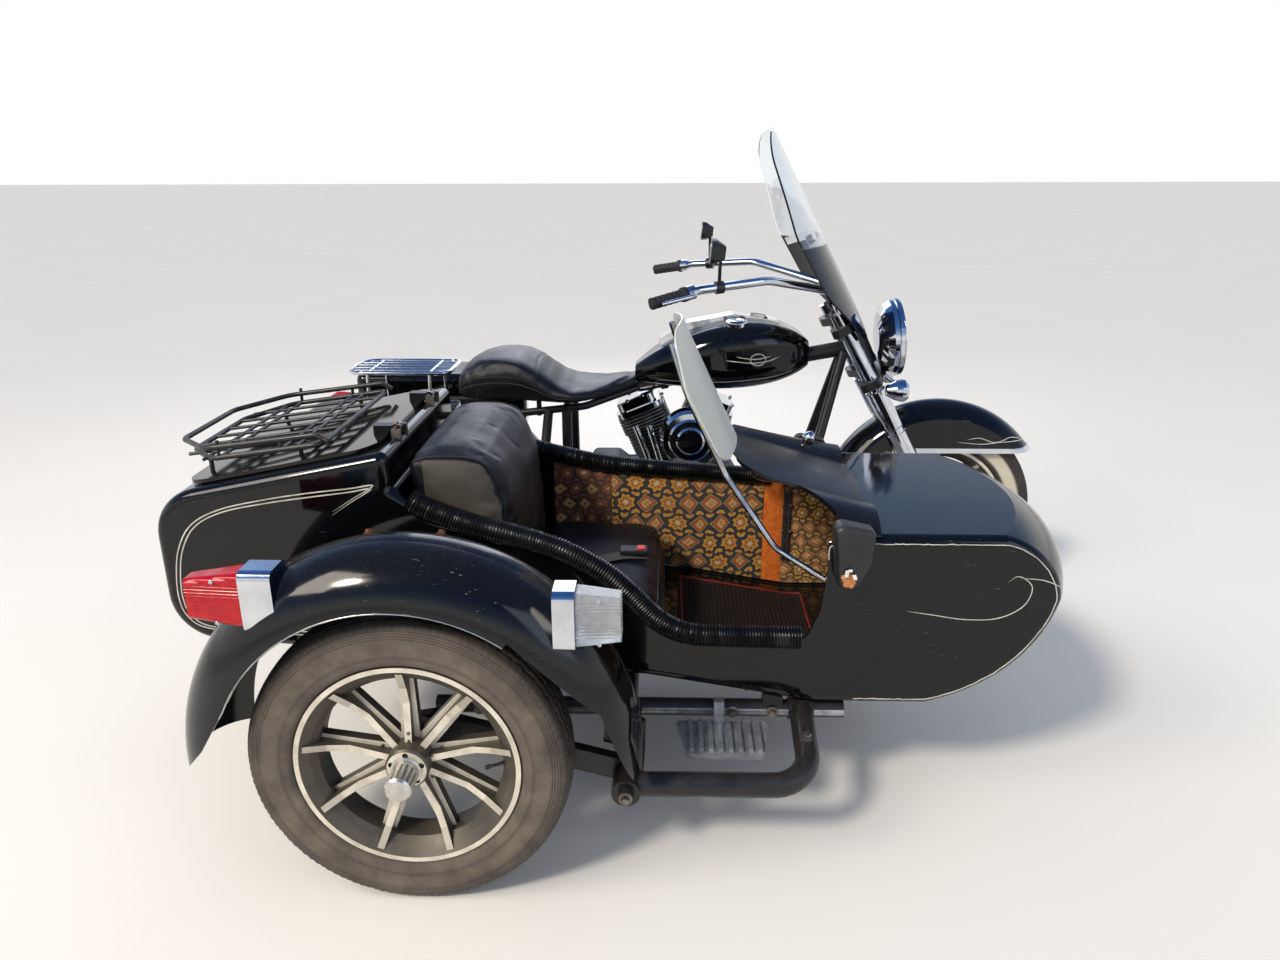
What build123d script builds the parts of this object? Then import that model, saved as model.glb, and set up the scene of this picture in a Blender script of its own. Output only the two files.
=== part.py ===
"""Large touring motorcycle with a sidecar on its right.

Millimetres. +X points forward, +Y to the rider's left, +Z up, ground at Z = 0.
Everything is modelled about the point on the ground under the rear axle, on the
motorcycle's centre plane, and moved at the end so that the origin is at the
bottom centre of the whole vehicle's bounding box.
"""

import os
from math import acos, atan2, cos, radians, sin, sqrt, tan

from build123d import *

# Running gear
WHEELBASE = 1613
TRACK = 1430  # motorcycle centre plane to sidecar wheel centre plane
SIDECAR_LEAD = 220  # sidecar axle ahead of the rear axle
TYRE_RADIUS = 320
TYRE_WIDTH = 130
TYRE_SHOULDER_DROP = 16
RIM_LIP_RADIUS = 222
RIM_WIDTH = 112
RIM_BARREL_RADIUS = 192
RIM_WALL = 9
RIM_FLANGE = 7
BEAD_GAP = 0.4
SPOKE_COUNT = 9
SPOKE_WEB_WIDTH = 30
SPOKE_WEB_DEPTH = 20
SPOKE_RIB_WIDTH = 14
SPOKE_RIB_HEIGHT = 12
HUB_RADIUS = 43
HUB_WIDTH = 118
AXLE_RADIUS = 10
BORE_GAP = 0.3  # running gap of a turning piece round its shaft
DISC_RADIUS = 146
DISC_THICKNESS = 5
DISC_OFFSET = 70  # wheel centre plane to the disc's middle

# Steering
RAKE = 26  # degrees, steering axis from upright
FORK_RAKE = 29.25  # degrees, fork legs from upright
FORK_SPACING = 115  # centre plane to a fork leg
FORK_LOWER_RADIUS = 31
FORK_UPPER_RADIUS = 24
FORK_TOP = TYRE_RADIUS + 665
HEAD_TUBE_RADIUS = 25
STEM_RADIUS = 13
HEAD_LOW = TYRE_RADIUS + 492  # heights of the head tube's two ends on the steering axis
HEAD_HIGH = TYRE_RADIUS + 605
CLAMP_THICKNESS = 26
CLAMP_WALL = 8  # round each fork tube
STEM_EYE = 24  # clamp's reach ahead of and behind the steering axis
CLAMP_GAP = 5

# Sidecar body
BODY_OUTER_Y = -1190
BODY_INNER_Y = -580
BODY_TAIL_X = -372
BODY_NOSE_X = 1635
BODY_WALL = 8
BODY_EDGE_RADIUS = 22
NOSE_BULGE_RADIUS = 621  # plan radius of the rounded nose
NOSE_START_X = 1200
DECK_FRONT_X = 140  # where the boot deck ends behind the backrest
DECK_FRONT_Z = 867
DECK_REAR_Z = 765
HOOD_Z = 690
FLOOR_REAR_Z = 425
FLOOR_FRONT_Z = 288
FLOOR_FRONT_X = 1050
RIM_LOW_Z = 612  # far cockpit rim at its front end
SILL_Z = 450  # doorway sill on the outer side
PILLAR_X = 1060  # front edge of the doorway
HOSE_RADIUS = 26

# Whole vehicle, which places the origin
TAIL_X = -410  # rear face of the tail lamp
BAR_HALF_WIDTH = 430
LEVER_OVERHANG = 20  # levers beyond the bar's half width
CAP_END_Y = -1556  # end of the sidecar wheel's dust cap
ORIGIN_X = (TAIL_X + WHEELBASE + TYRE_RADIUS) / 2
ORIGIN_Y = (CAP_END_Y + BAR_HALF_WIDTH + LEVER_OVERHANG) / 2

SEAT_GAP = 0.3  # between pieces that rest on each other

# Derived places
STEER_DIR = (-sin(radians(RAKE)), 0, cos(radians(RAKE)))
FORK_DIR = (-sin(radians(FORK_RAKE)), 0, cos(radians(FORK_RAKE)))
FRONT_AXLE = (WHEELBASE, 0, TYRE_RADIUS)
REAR_AXLE = (0, 0, TYRE_RADIUS)
SIDECAR_AXLE = (SIDECAR_LEAD, -TRACK, TYRE_RADIUS)
BODY_MID_Y = (BODY_OUTER_Y + BODY_INNER_Y) / 2


def side_plate(face, y_low, y_high):
    """A face drawn in X and Z, made solid from y_low to y_high."""
    plane = Plane(origin=(0, y_high, 0), x_dir=(1, 0, 0), z_dir=(0, -1, 0))
    return extrude(plane * face, amount=y_high - y_low)


def plan_plate(face, z_low, z_high):
    """A face drawn in X and Y, made solid from z_low to z_high."""
    return extrude(Plane(origin=(0, 0, z_low)) * face, amount=z_high - z_low)


def cross_plate(face, x_low, x_high):
    """A face drawn in Y and Z, made solid from x_low to x_high."""
    plane = Plane(origin=(x_low, 0, 0), x_dir=(0, 1, 0), z_dir=(1, 0, 0))
    return extrude(plane * face, amount=x_high - x_low)


def outline(points, bends=None):
    """A closed face through the points, its corners rounded by the bends where given."""
    if bends is None:
        return make_face(Polyline(*points, close=True))
    return make_face(FilletPolyline(*points, radius=bends, close=True))


def block(x_span, y_span, z_span):
    """A box between low and high values along each axis."""
    spans = (x_span, y_span, z_span)
    middle = [(low + high) / 2 for low, high in spans]
    size = [high - low for low, high in spans]
    return Pos(*middle) * Box(*size)


def rod(start, end, radius):
    """A straight round bar between two points."""
    along = Vector(*end) - Vector(*start)
    return extrude(Plane(origin=start, z_dir=along) * Circle(radius), amount=along.length)


def tube(points, radius, bend):
    """A round bar along straight runs joined by tangent arcs."""
    path = FilletPolyline(*points, radius=bend)
    return sweep(Plane(origin=path @ 0, z_dir=path % 0) * Circle(radius), path=path)


def spin_face(face, centre, start=0, arc=360):
    """A face of radius against Y, turned about the line along Y through the centre."""
    plane = Plane(origin=centre, x_dir=(1, 0, 0), z_dir=(0, 0, 1))
    axis = Axis(centre, (0, -1, 0))
    return revolve(plane * face, axis, arc).rotate(axis, start)


def spin(points, centre, start=0, arc=360):
    """Points of radius against Y, turned about the line along Y through the centre."""
    return spin_face(outline(points), centre, start, arc)


def both_sides(shape):
    """The shape with its mirror image across the motorcycle's centre plane."""
    return shape + mirror(shape, about=Plane.XZ)


def fork_point(distance, y=0):
    """A point on a fork leg's line, at a distance above the axle."""
    return tuple(a + distance * d for a, d in zip((WHEELBASE, y, TYRE_RADIUS), FORK_DIR))


def steer_point(height):
    """The point of the steering axis at a height above the ground."""
    reach = (height - TYRE_RADIUS) * tan(radians(RAKE))
    return (WHEELBASE - reach, 0, height)


# Wheels


def tyre(centre):
    """A solid ring: beads inside the rim flanges, bulged walls and a crowned tread."""
    half = TYRE_WIDTH / 2
    seat = RIM_LIP_RADIUS - 16 + BEAD_GAP
    bead = RIM_WIDTH / 2 - RIM_FLANGE - 2 * BEAD_GAP
    lip = RIM_LIP_RADIUS + 2
    shoulder = TYRE_RADIUS - TYRE_SHOULDER_DROP
    wall_mid = (lip + shoulder) / 2
    lines = Polyline(
        (lip, -half + 8), (lip, -bead), (seat, -bead + 2), (seat, bead - 2), (lip, bead), (lip, half - 8)
    )
    wall = ThreePointArc((lip, half - 8), (wall_mid, half), (shoulder, half - 8))
    tread = ThreePointArc((shoulder, half - 8), (TYRE_RADIUS, 0), (shoulder, -half + 8))
    far_wall = ThreePointArc((shoulder, -half + 8), (wall_mid, -half), (lip, -half + 8))
    return spin_face(make_face([*lines.edges(), wall, tread, far_wall]), centre)


def rim(centre):
    """The rim's barrel, seats and flanges."""
    edge = RIM_WIDTH / 2
    flange = edge - RIM_FLANGE
    seat = RIM_LIP_RADIUS - 16
    drop = RIM_BARREL_RADIUS
    inner = drop - RIM_WALL
    # radius, offset along Y
    half_profile = [
        (drop, 22),
        (seat - 3, 30),
        (seat, flange - 2),
        (RIM_LIP_RADIUS, flange),
        (RIM_LIP_RADIUS, edge),
        (RIM_LIP_RADIUS - 10, edge),
        (inner + 12, flange - 8),
        (inner, 26),
    ]
    other_half = [(r, -y) for r, y in reversed(half_profile)]
    return spin(half_profile + other_half, centre)


def spoke(centre, turn):
    """A deep web with a narrow raised rib that sweeps out to the rim's lip."""
    x, y, z = centre
    root = HUB_RADIUS - 6
    end = RIM_BARREL_RADIUS - RIM_WALL + 3
    web = outline(
        [
            (x + root, z - SPOKE_WEB_WIDTH / 2 - 4),
            (x + end, z - SPOKE_WEB_WIDTH / 2),
            (x + end, z + SPOKE_WEB_WIDTH / 2),
            (x + root, z + SPOKE_WEB_WIDTH / 2 + 4),
        ]
    )
    web_face = -SPOKE_WEB_DEPTH / 2
    web_solid = side_plate(web, y - SPOKE_WEB_DEPTH / 2, y + SPOKE_WEB_DEPTH / 2)
    rib_top = web_face - SPOKE_RIB_HEIGHT
    edge = RIM_WIDTH / 2
    rib = Polyline(
        (root, web_face + 4),
        (root, rib_top - 10),
        (end - 62, rib_top),
        (end - 22, rib_top - 12),
        (end + 20, -edge + 3),
        (end + 22, -edge + 7),
        (end, -26),
        (end, web_face + 4),
        close=True,
    )
    rib_plane = Plane(origin=(x, y, z - SPOKE_RIB_WIDTH / 2))
    rib_solid = extrude(rib_plane * make_face(rib), amount=SPOKE_RIB_WIDTH)
    return (web_solid + rib_solid).rotate(Axis(centre, (0, -1, 0)), turn)


def wheel_casting(centre, bore_from, bore_to):
    """Rim, nine ribbed spokes and a hub with a bore between two offsets along Y."""
    x, y, z = centre
    half = HUB_WIDTH / 2
    hub = spin(
        [(0, -half), (HUB_RADIUS - 4, -half), (HUB_RADIUS, -half + 4), (HUB_RADIUS, half), (0, half)],
        centre,
    )
    casting = rim(centre) + hub
    for k in range(SPOKE_COUNT):
        casting = casting + spoke(centre, 90 + k * 360 / SPOKE_COUNT)
    for k in range(5):
        angle = radians(90 + k * 72)
        px = x + 31 * cos(angle)
        pz = z + 31 * sin(angle)
        casting = casting - rod((px, y - half - 1, pz), (px, y - half + 9, pz), 6)
    bore = rod((x, y + bore_from, z), (x, y + bore_to, z), AXLE_RADIUS + BORE_GAP)
    return casting - bore


def brake_disc(centre, side):
    """A disc on a boss that stands off the hub's face; side is +1 or -1 along Y."""
    face = side * HUB_WIDTH / 2
    low = side * (DISC_OFFSET - DISC_THICKNESS / 2)
    high = side * (DISC_OFFSET + DISC_THICKNESS / 2)
    bore = AXLE_RADIUS + BORE_GAP
    profile = [(bore, face), (52, face), (60, low), (DISC_RADIUS, low), (DISC_RADIUS, high), (bore, high)]
    disc = spin(profile, centre)
    x, y, z = centre
    for k in range(10):
        angle = radians(k * 36)
        px = x + 82 * cos(angle)
        pz = z + 82 * sin(angle)
        disc = disc - rod((px, y + low - side, pz), (px, y + high + side, pz), 12)
    return disc


def dust_cap():
    """The polished round cap on the sidecar hub."""
    length = -TRACK - HUB_WIDTH / 2 - CAP_END_Y
    profile = [(0, 0), (30, 0), (30, -6), (26.5, -8), (26.5, -length + 4), (23, -length), (0, -length)]
    x, y, z = SIDECAR_AXLE
    return spin(profile, (x, y - HUB_WIDTH / 2, z))


# Fork and everything that steers


def fork_leg(side):
    """A slider round the wheel's axle end and the tube above it."""
    y = side * FORK_SPACING
    lower = rod(fork_point(-34, y), fork_point(330, y), FORK_LOWER_RADIUS)
    collar = rod(fork_point(330, y), fork_point(348, y), FORK_LOWER_RADIUS - 3)
    length = (FORK_TOP - TYRE_RADIUS) / cos(radians(FORK_RAKE))
    upper = rod(fork_point(340, y), fork_point(length, y), FORK_UPPER_RADIUS)
    return lower + collar + upper - rod(
        (WHEELBASE, y - 60, TYRE_RADIUS), (WHEELBASE, y + 60, TYRE_RADIUS), AXLE_RADIUS
    )


def front_axle():
    """The axle through both sliders and the hub."""
    reach = FORK_SPACING + FORK_LOWER_RADIUS + 6
    return rod((WHEELBASE, -reach, TYRE_RADIUS), (WHEELBASE, reach, TYRE_RADIUS), AXLE_RADIUS - 0.1)


def clamp_plate(height):
    """A flat clamp square to the steering axis, round the stem and both fork tubes."""
    leg_x = WHEELBASE - (height - TYRE_RADIUS) * tan(radians(FORK_RAKE))
    back = (leg_x - steer_point(height)[0]) / cos(radians(RAKE))
    plane = Plane(
        origin=steer_point(height), x_dir=(cos(radians(RAKE)), 0, sin(radians(RAKE))), z_dir=STEER_DIR
    )
    eye = FORK_UPPER_RADIUS + CLAMP_WALL
    half = [(-STEM_EYE, 0), (back - eye, -FORK_SPACING + 12), (back - eye, -FORK_SPACING - eye)]
    half += [(back + eye, -FORK_SPACING - eye), (STEM_EYE, -34)]
    other = [(x, -y) for x, y in reversed(half[1:])]
    return extrude(
        plane * outline(half + other, [40, 24, 20, 20, 14, 14, 20, 20, 24]),
        amount=CLAMP_THICKNESS / 2,
        both=True,
    )


def clamp_height(end_height, up):
    """The middle height of a clamp beyond the head tube's end; up is +1 above and -1 below."""
    return end_height + up * (CLAMP_GAP + CLAMP_THICKNESS / 2 / cos(radians(RAKE)) + 12)


def triple_clamps():
    """Both clamps and the steering stem between them."""
    low = clamp_height(HEAD_LOW, -1)
    high = clamp_height(HEAD_HIGH, 1)
    clamps = clamp_plate(low) + clamp_plate(high) + rod(steer_point(low), steer_point(high), STEM_RADIUS)
    for y in (-FORK_SPACING, FORK_SPACING):
        clamps = clamps - rod(fork_point(300, y), fork_point(900, y), FORK_UPPER_RADIUS + 0.2)
    return clamps


LAMP_CENTRE = (WHEELBASE - 177, 0, TYRE_RADIUS + 573)
LAMP_RADIUS = 124
LAMP_DEPTH = 46
LAMP_TILT = 4
INDICATOR_AHEAD = 43
INDICATOR_BAR = 178
INDICATOR_RADIUS = 34


def lamp_spin(points):
    """Points of radius against distance forward, turned about the headlamp's axis."""
    up = radians(LAMP_TILT)
    plane = Plane(origin=LAMP_CENTRE, x_dir=(-sin(up), 0, cos(up)), z_dir=(0, 1, 0))
    face = plane * outline(points)
    return revolve(face, Axis(LAMP_CENTRE, (cos(up), 0, sin(up))), 360)


def headlamp_shell():
    """Chrome bell with a rolled front ring."""
    r = LAMP_RADIUS
    profile = [
        (0, -LAMP_DEPTH), (46, -LAMP_DEPTH), (80, -40), (104, -28), (r - 6, -10), (r - 4, 4), (r, 6),
        (r, 18),
    ]
    return lamp_spin(profile + [(r - 10, 22), (r - 12, 10), (0, 10)])


def headlamp_lens():
    """A shallow dome inside the ring."""
    r = LAMP_RADIUS - 12
    return lamp_spin(
        [(0, 10 + SEAT_GAP), (r - SEAT_GAP, 10 + SEAT_GAP), (r - 4, 20), (r - 40, 28), (0, 34)]
    )


def lamp_bracket():
    """The plate that carries the headlamp from the lower clamp and holds the two indicators."""
    low = clamp_height(HEAD_LOW, -1)
    base = steer_point(low)
    plate = block((base[0] + 27.6, base[0] + 52), (-60, 60), (low - 24, low + 14))
    x, z = base[0] + INDICATOR_AHEAD, low - 12
    return plate + rod((x, -INDICATOR_BAR, z), (x, INDICATOR_BAR, z), 8)


def indicator(centre, direction, radius=INDICATOR_RADIUS):
    """A bullet lamp: a round cup with a domed lens side."""
    d = direction
    profile = [
        (0, -48 * d), (16, -46 * d), (radius - 4, -20 * d), (radius, -2 * d), (radius, 8 * d),
        (radius - 8, 18 * d), (0, 24 * d),
    ]
    plane = Plane(origin=centre, x_dir=(0, 0, 1), z_dir=(0, 1, 0))
    return revolve(plane * outline(profile), Axis(centre, (1, 0, 0)), 360)


def front_indicators():
    """Two bullet lamps on the bar under the headlamp."""
    low = clamp_height(HEAD_LOW, -1)
    x = steer_point(low)[0] + INDICATOR_AHEAD
    lamp = indicator((x, -INDICATOR_BAR - INDICATOR_RADIUS, low - 12), 1)
    return both_sides(lamp)


def fork_shrouds():
    """Chrome sleeves round the upper fork tubes, between slider and clamp."""
    y = -FORK_SPACING
    sleeve = rod(fork_point(352, y), fork_point(486, y), FORK_LOWER_RADIUS)
    sleeve = sleeve - rod(fork_point(340, y), fork_point(520, y), FORK_UPPER_RADIUS + 0.2)
    return both_sides(sleeve)


FENDER_CROWN = TYRE_RADIUS + 50
FENDER_HALF = 80
FENDER_MOUNT = 285  # height up the fork of the brackets that hold the fender
FENDER_SKIN = 3
FENDER_SHOULDER = TYRE_RADIUS + 2
FENDER_EDGE_Z = TYRE_RADIUS + 215


def front_fender_section(grow, inner=180):
    """Half-round-topped section, grown outward by an amount."""
    half = FENDER_HALF + grow
    sides = Polyline((FENDER_SHOULDER, -half), (inner, -half), (inner, half), (FENDER_SHOULDER, half))
    crown = ThreePointArc((FENDER_SHOULDER, half), (FENDER_CROWN + grow, 0), (FENDER_SHOULDER, -half))
    return make_face([*sides.edges(), crown])


def fender_keep():
    """The region of the front fender above its skirt line, back to behind the wheel."""
    x = WHEELBASE
    return side_plate(
        outline(
            [
                (x - 390, 300), (x - 330, 300), (x - 235, 500), (x - 190, FENDER_EDGE_Z),
                (x + 400, FENDER_EDGE_Z),
            ] + [(x + 400, 800), (x - 390, 800)]
        ),
        -120,
        120,
    )


def front_fender():
    """Deep valanced fender, a thin skin over the tyre."""
    outer = spin_face(front_fender_section(0), FRONT_AXLE, 25, 160)
    inner = spin_face(front_fender_section(-FENDER_SKIN, 170), FRONT_AXLE, 20, 170)
    return (outer - inner) & fender_keep()


def front_fender_trim():
    """Bright strip along the skirt's lower edge, round the tip."""
    outer = spin_face(front_fender_section(2.5 + SEAT_GAP), FRONT_AXLE, 20, 120)
    inner = spin_face(front_fender_section(SEAT_GAP, 170), FRONT_AXLE, 15, 130)
    x = WHEELBASE
    strip = block((x - 160, x + 420), (-120, 120), (FENDER_EDGE_Z - 6, FENDER_EDGE_Z + 10))
    return (outer - inner) & strip


def fender_mounts():
    """Brackets between the fender's skirts and the fork sliders."""
    low = fork_point(FENDER_MOUNT, -FORK_SPACING)
    gap = FORK_SPACING - FORK_LOWER_RADIUS
    bracket = block(
        (low[0] - 22, low[0] + 22), (-gap - 6, -FENDER_HALF - SEAT_GAP), (low[2] - 18, low[2] + 18)
    )
    y = -FORK_SPACING
    bracket = bracket - rod(fork_point(100, y), fork_point(329, y), FORK_LOWER_RADIUS + 0.2)
    return both_sides(bracket)


def brake_calipers():
    """Two-pot calipers behind the sliders, slotted over the discs."""
    body = outline(
        [(-60, 0), (-14, -32), (44, -32), (56, 0), (44, 34), (-14, 34)], [10, 14, 14, 14, 14, 14]
    )
    x = WHEELBASE - 132
    z = TYRE_RADIUS + 96
    plane = Plane(origin=(x, -DISC_OFFSET + 17, z), x_dir=(cos(0.9), 0, sin(0.9)), z_dir=(0, -1, 0))
    caliper = extrude(plane * body, amount=36)
    slot = spin(
        [
            (0, -DISC_OFFSET - 8),
            (DISC_RADIUS + 7, -DISC_OFFSET - 8),
            (DISC_RADIUS + 7, -DISC_OFFSET + 8),
            (0, -DISC_OFFSET + 8),
        ],
        FRONT_AXLE,
    )
    y = -FORK_SPACING
    leg = rod(fork_point(-20, y), fork_point(329, y), FORK_LOWER_RADIUS + 0.2)
    return both_sides(caliper - slot - leg)


SCREEN_LEAN = 28
SCREEN_BASE = (WHEELBASE - 417, 0, TYRE_RADIUS + 895)  # middle of the pane
SCREEN_RADIUS = 420
SCREEN_THICKNESS = 4.5


def screen_plane(shift=0):
    """The windscreen's own plane: x across to the left, y up along the pane."""
    lean = radians(SCREEN_LEAN)
    normal = Vector(cos(lean), 0, sin(lean))
    return Plane(origin=Vector(*SCREEN_BASE) + normal * shift, x_dir=(0, 1, 0), z_dir=normal)


def screen_shell(outer, inner, outline_face):
    """A curved sheet between two radii, cut to the outline."""
    plane = screen_plane(-SCREEN_RADIUS)
    up = Plane(origin=plane.origin, x_dir=(0, 1, 0), z_dir=plane.y_dir)
    shell = extrude(
        up * Circle(outer), amount=420, both=True
    ) - extrude(up * Circle(inner), amount=430, both=True)
    prism = extrude(screen_plane(-170) * outline_face, amount=200)
    return shell & prism


def windscreen_pane():
    """Tall clear sheet, curved across, with a notch over the headlamp."""
    face = outline(
        [
            (-150, -330), (-250, -150), (-262, 60), (-190, 350), (190, 350), (262, 60), (250, -150),
            (150, -330), (112, -330), (0, -190), (-112, -330),
        ],
        [24, 120, 150, 120, 120, 150, 120, 24, 14, 90, 14],
    )
    return screen_shell(SCREEN_RADIUS, SCREEN_RADIUS - SCREEN_THICKNESS, face)


def windscreen_brace():
    """Two bright strips across the pane and the stays down to the fork sleeves."""
    outer = SCREEN_RADIUS - SCREEN_THICKNESS - SEAT_GAP
    band = screen_shell(outer, outer - 4, Rectangle(488, 26))
    lower = screen_shell(outer, outer - 4, Pos(0, -170) * Rectangle(470, 22))
    stays = Part()
    for side in (-1, 1):
        plane = screen_plane()
        y = side * 118
        sag = SCREEN_RADIUS - sqrt(SCREEN_RADIUS**2 - y**2)
        top = plane.from_local_coords((y, 0, -sag - SCREEN_THICKNESS - 9))
        foot = plane.from_local_coords((y, -264.5, -sag - SCREEN_THICKNESS - 9))
        stays = stays + rod(tuple(foot), tuple(top), 6)
    return band + lower + stays


BAR_RADIUS = 12.5
BAR_FIT = 0.2  # bore of what slides onto the bar
RISER_HEIGHT = 92
GRIP_END = (676, -BAR_HALF_WIDTH + 8, 1060)
GRIP_ROOT = (806, -346, 1087)


def riser_point(distance, y):
    """A point on a riser's line, at a distance above the upper clamp's top face."""
    middle = Vector(*steer_point(clamp_height(HEAD_HIGH, 1)))
    back = Vector(cos(radians(RAKE)), 0, sin(radians(RAKE))) * -14
    up = Vector(*STEER_DIR) * (CLAMP_THICKNESS / 2 + distance)
    return tuple(middle + back + up + Vector(0, y, 0))


def bar_form(radius):
    """One bent bar, swept back to the grips."""
    x, _, rise = riser_point(RISER_HEIGHT, 0)
    half = [GRIP_END, GRIP_ROOT, (1010, -262, 1104), (x, -96, rise + 2)]
    other = [(px, -py, pz) for px, py, pz in reversed(half)]
    return tube(half + [(x + 4, 0, rise)] + other, radius, [90, 120, 60, 60, 60, 120, 90])


def handlebar():
    """The bar itself."""
    return bar_form(BAR_RADIUS)


def bar_risers():
    """Two posts between the upper clamp and the bar."""
    post = rod(riser_point(SEAT_GAP, -48), riser_point(RISER_HEIGHT + 18, -48), 19)
    return both_sides(post) - bar_form(BAR_RADIUS + BAR_FIT)


def grip_line(distance):
    """A point on the right grip's line, at a distance in from the bar's end."""
    start = Vector(*GRIP_END)
    along = (Vector(*GRIP_ROOT) - start).normalized()
    return tuple(start + along * distance)


def handlebar_grips():
    """Ribbed sleeves on both bar ends."""
    grip = rod(grip_line(-4), grip_line(112), 17) + rod(grip_line(96), grip_line(112), 21)
    for k in range(5):
        ring = rod(
            grip_line(8 + 18 * k), grip_line(13 + 18 * k), 22
        ) - rod(grip_line(0), grip_line(100), 15.4)
        grip = grip - ring
    return both_sides(grip - rod(grip_line(0), grip_line(130), BAR_RADIUS + BAR_FIT))


def bar_controls():
    """Lever housings with their fluid pot and the two levers ahead of the grips."""
    bore = rod(grip_line(100), grip_line(150), BAR_RADIUS + BAR_FIT)
    housing = rod(grip_line(112 + SEAT_GAP), grip_line(136), 20)
    pivot = Vector(*grip_line(125))
    along = (Vector(*GRIP_ROOT) - Vector(*GRIP_END)).normalized()
    ahead = along.cross(Vector(0, 0, 1))
    route = [pivot + ahead * 14, pivot + ahead * 46 - along * 14, pivot + ahead * 34 - along * 112]
    lever = tube([tuple(point) for point in route], 5, 18)
    return both_sides(housing + lever - bore)


MIRROR = (848, -383, 1196)


def mirrors():
    """Rounded mirror heads on bent stems clamped to the bar."""
    face = outline([(-44, -30), (44, -34), (50, 22), (-36, 34)], [20, 18, 22, 18])
    x, y, z = MIRROR
    front = Plane(origin=MIRROR, x_dir=(0, 1, 0), z_dir=(-1, 0, 0.1))
    back = Plane(origin=(x + 28, y, z - 3), x_dir=(0, 1, 0), z_dir=(-1, 0, 0.1))
    head = extrude(front * face, amount=12) + loft([front * face, back * scale(face, 0.55)])
    along = (Vector(1010, -262, 1104) - Vector(*GRIP_ROOT)).normalized()
    foot = Vector(*GRIP_ROOT) + along * 64
    clamp = rod(tuple(foot - along * 11), tuple(foot + along * 11), 18)
    clamp = clamp - rod(tuple(foot - along * 20), tuple(foot + along * 20), BAR_RADIUS + BAR_FIT)
    fx, fy, fz = foot
    stem = tube([(fx, fy, fz + 15), (fx, fy - 12, fz + 56), (x + 18, y, z - 8)], 5, 20)
    return both_sides(head + stem + clamp)


# Motorcycle frame, engine and bodywork

CRANK = (745, 385)  # x, z of the crankshaft
VEE_HALF_ANGLE = 22.5
FIN_PITCH = 11
FIN_THICKNESS = 4
FIN_FIRST = 118
HEAD_TOP = 296
ROCKER_HEIGHT = 46
RAIL_Y = 138
CASE_HALF = 92
FENDER_HALF_REAR = 86
RAIL_Z = 246
RAIL_RADIUS = 16
UPRIGHT_X = 398
BACKBONE_RADIUS = 24
BACKBONE_REAR = (622, 0, 735)
SEAT_RAIL_Z = 690
SEAT_RAIL_RADIUS = 12
PIVOT_Z = 330
ARM_INNER_Y = 95
ARM_OUTER_Y = 115
PULLEY_RADIUS = 104
PULLEY_LOW_Y = 72
PULLEY_HIGH_Y = 90
FRONT_SPROCKET = (505, 362, 42)  # x, z, radius
BELT_THICKNESS = 6
BELT_GAP = 0.4
TANK_TUNNEL = 30
PIPE_Z = 330
HANGER_X = 520  # rear edge of the silencers' hangers
HANGER_STEP_Y = 164  # the hangers rise outside the engine's covers
PIPE_Y = 212


def frame_tubes(grow):
    """The cradle's bent tubes and seat rails, grown by an amount."""
    low = steer_point(HEAD_LOW)
    cradle = [(low[0] - 88, -14, HEAD_LOW + 36), (1130, -RAIL_Y, RAIL_Z), (UPRIGHT_X, -RAIL_Y, RAIL_Z)]
    cradle.append((UPRIGHT_X, -112, SEAT_RAIL_Z))
    rail = [(BACKBONE_REAR[0] + 10, -8, BACKBONE_REAR[2] - 4), (UPRIGHT_X + 60, -112, SEAT_RAIL_Z)]
    rail += [(150, -116, SEAT_RAIL_Z - 34), (-150, -112, SEAT_RAIL_Z - 40)]
    half = tube(cradle, RAIL_RADIUS + grow, [90, 70]) + tube(rail, SEAT_RAIL_RADIUS + grow, [60, 90])
    return both_sides(half)


def backbone(radius, reach=0):
    """A rod along the backbone's line, longer at both ends by a reach."""
    rear = Vector(*BACKBONE_REAR)
    front = Vector(*steer_point((HEAD_LOW + HEAD_HIGH) / 2))
    along = (front - rear).normalized()
    return rod(tuple(rear - along * reach), tuple(front + along * reach), radius)


def frame_brackets():
    """Welded tabs on the right: fender, saddlebag, shock absorber, seat, engine and swing arm."""
    fender = -FENDER_HALF_REAR - SEAT_GAP
    bag = -BAG_INNER_Y + SEAT_GAP
    # x span, y span, z span
    rows = (
        ((122, 158), (-151, -108), (600, 655)),  # shock absorber
        ((122, 158), (bag, -150), (600, 634)),  # saddlebag, front
        ((-92, -62), (-124, -106), (604, 652)),  # saddlebag, rear
        ((-92, -62), (bag, -106), (604, 628)),
        ((-58, -30), (-110, fender), (628, 650)),  # rear fender
        ((124, 150), (-112, fender), (604, 652)),
        ((860, 900), (-RAIL_Y, -CASE_HALF - SEAT_GAP), (240, 284)),  # engine
        ((480, 520), (-RAIL_Y, -CASE_HALF - SEAT_GAP), (240, 290)),
    )
    tabs = Part()
    for spans in rows:
        tabs = tabs + block(*spans)
    for x, top in ((120, 714.6), (310, 712.8)):
        tabs = tabs + rod((x, -114, 660), (x, -114, top), 8)
    return tabs + rod((UPRIGHT_X, -148, PIVOT_Z), (UPRIGHT_X, -ARM_OUTER_Y - SEAT_GAP, PIVOT_Z), 22)


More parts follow.
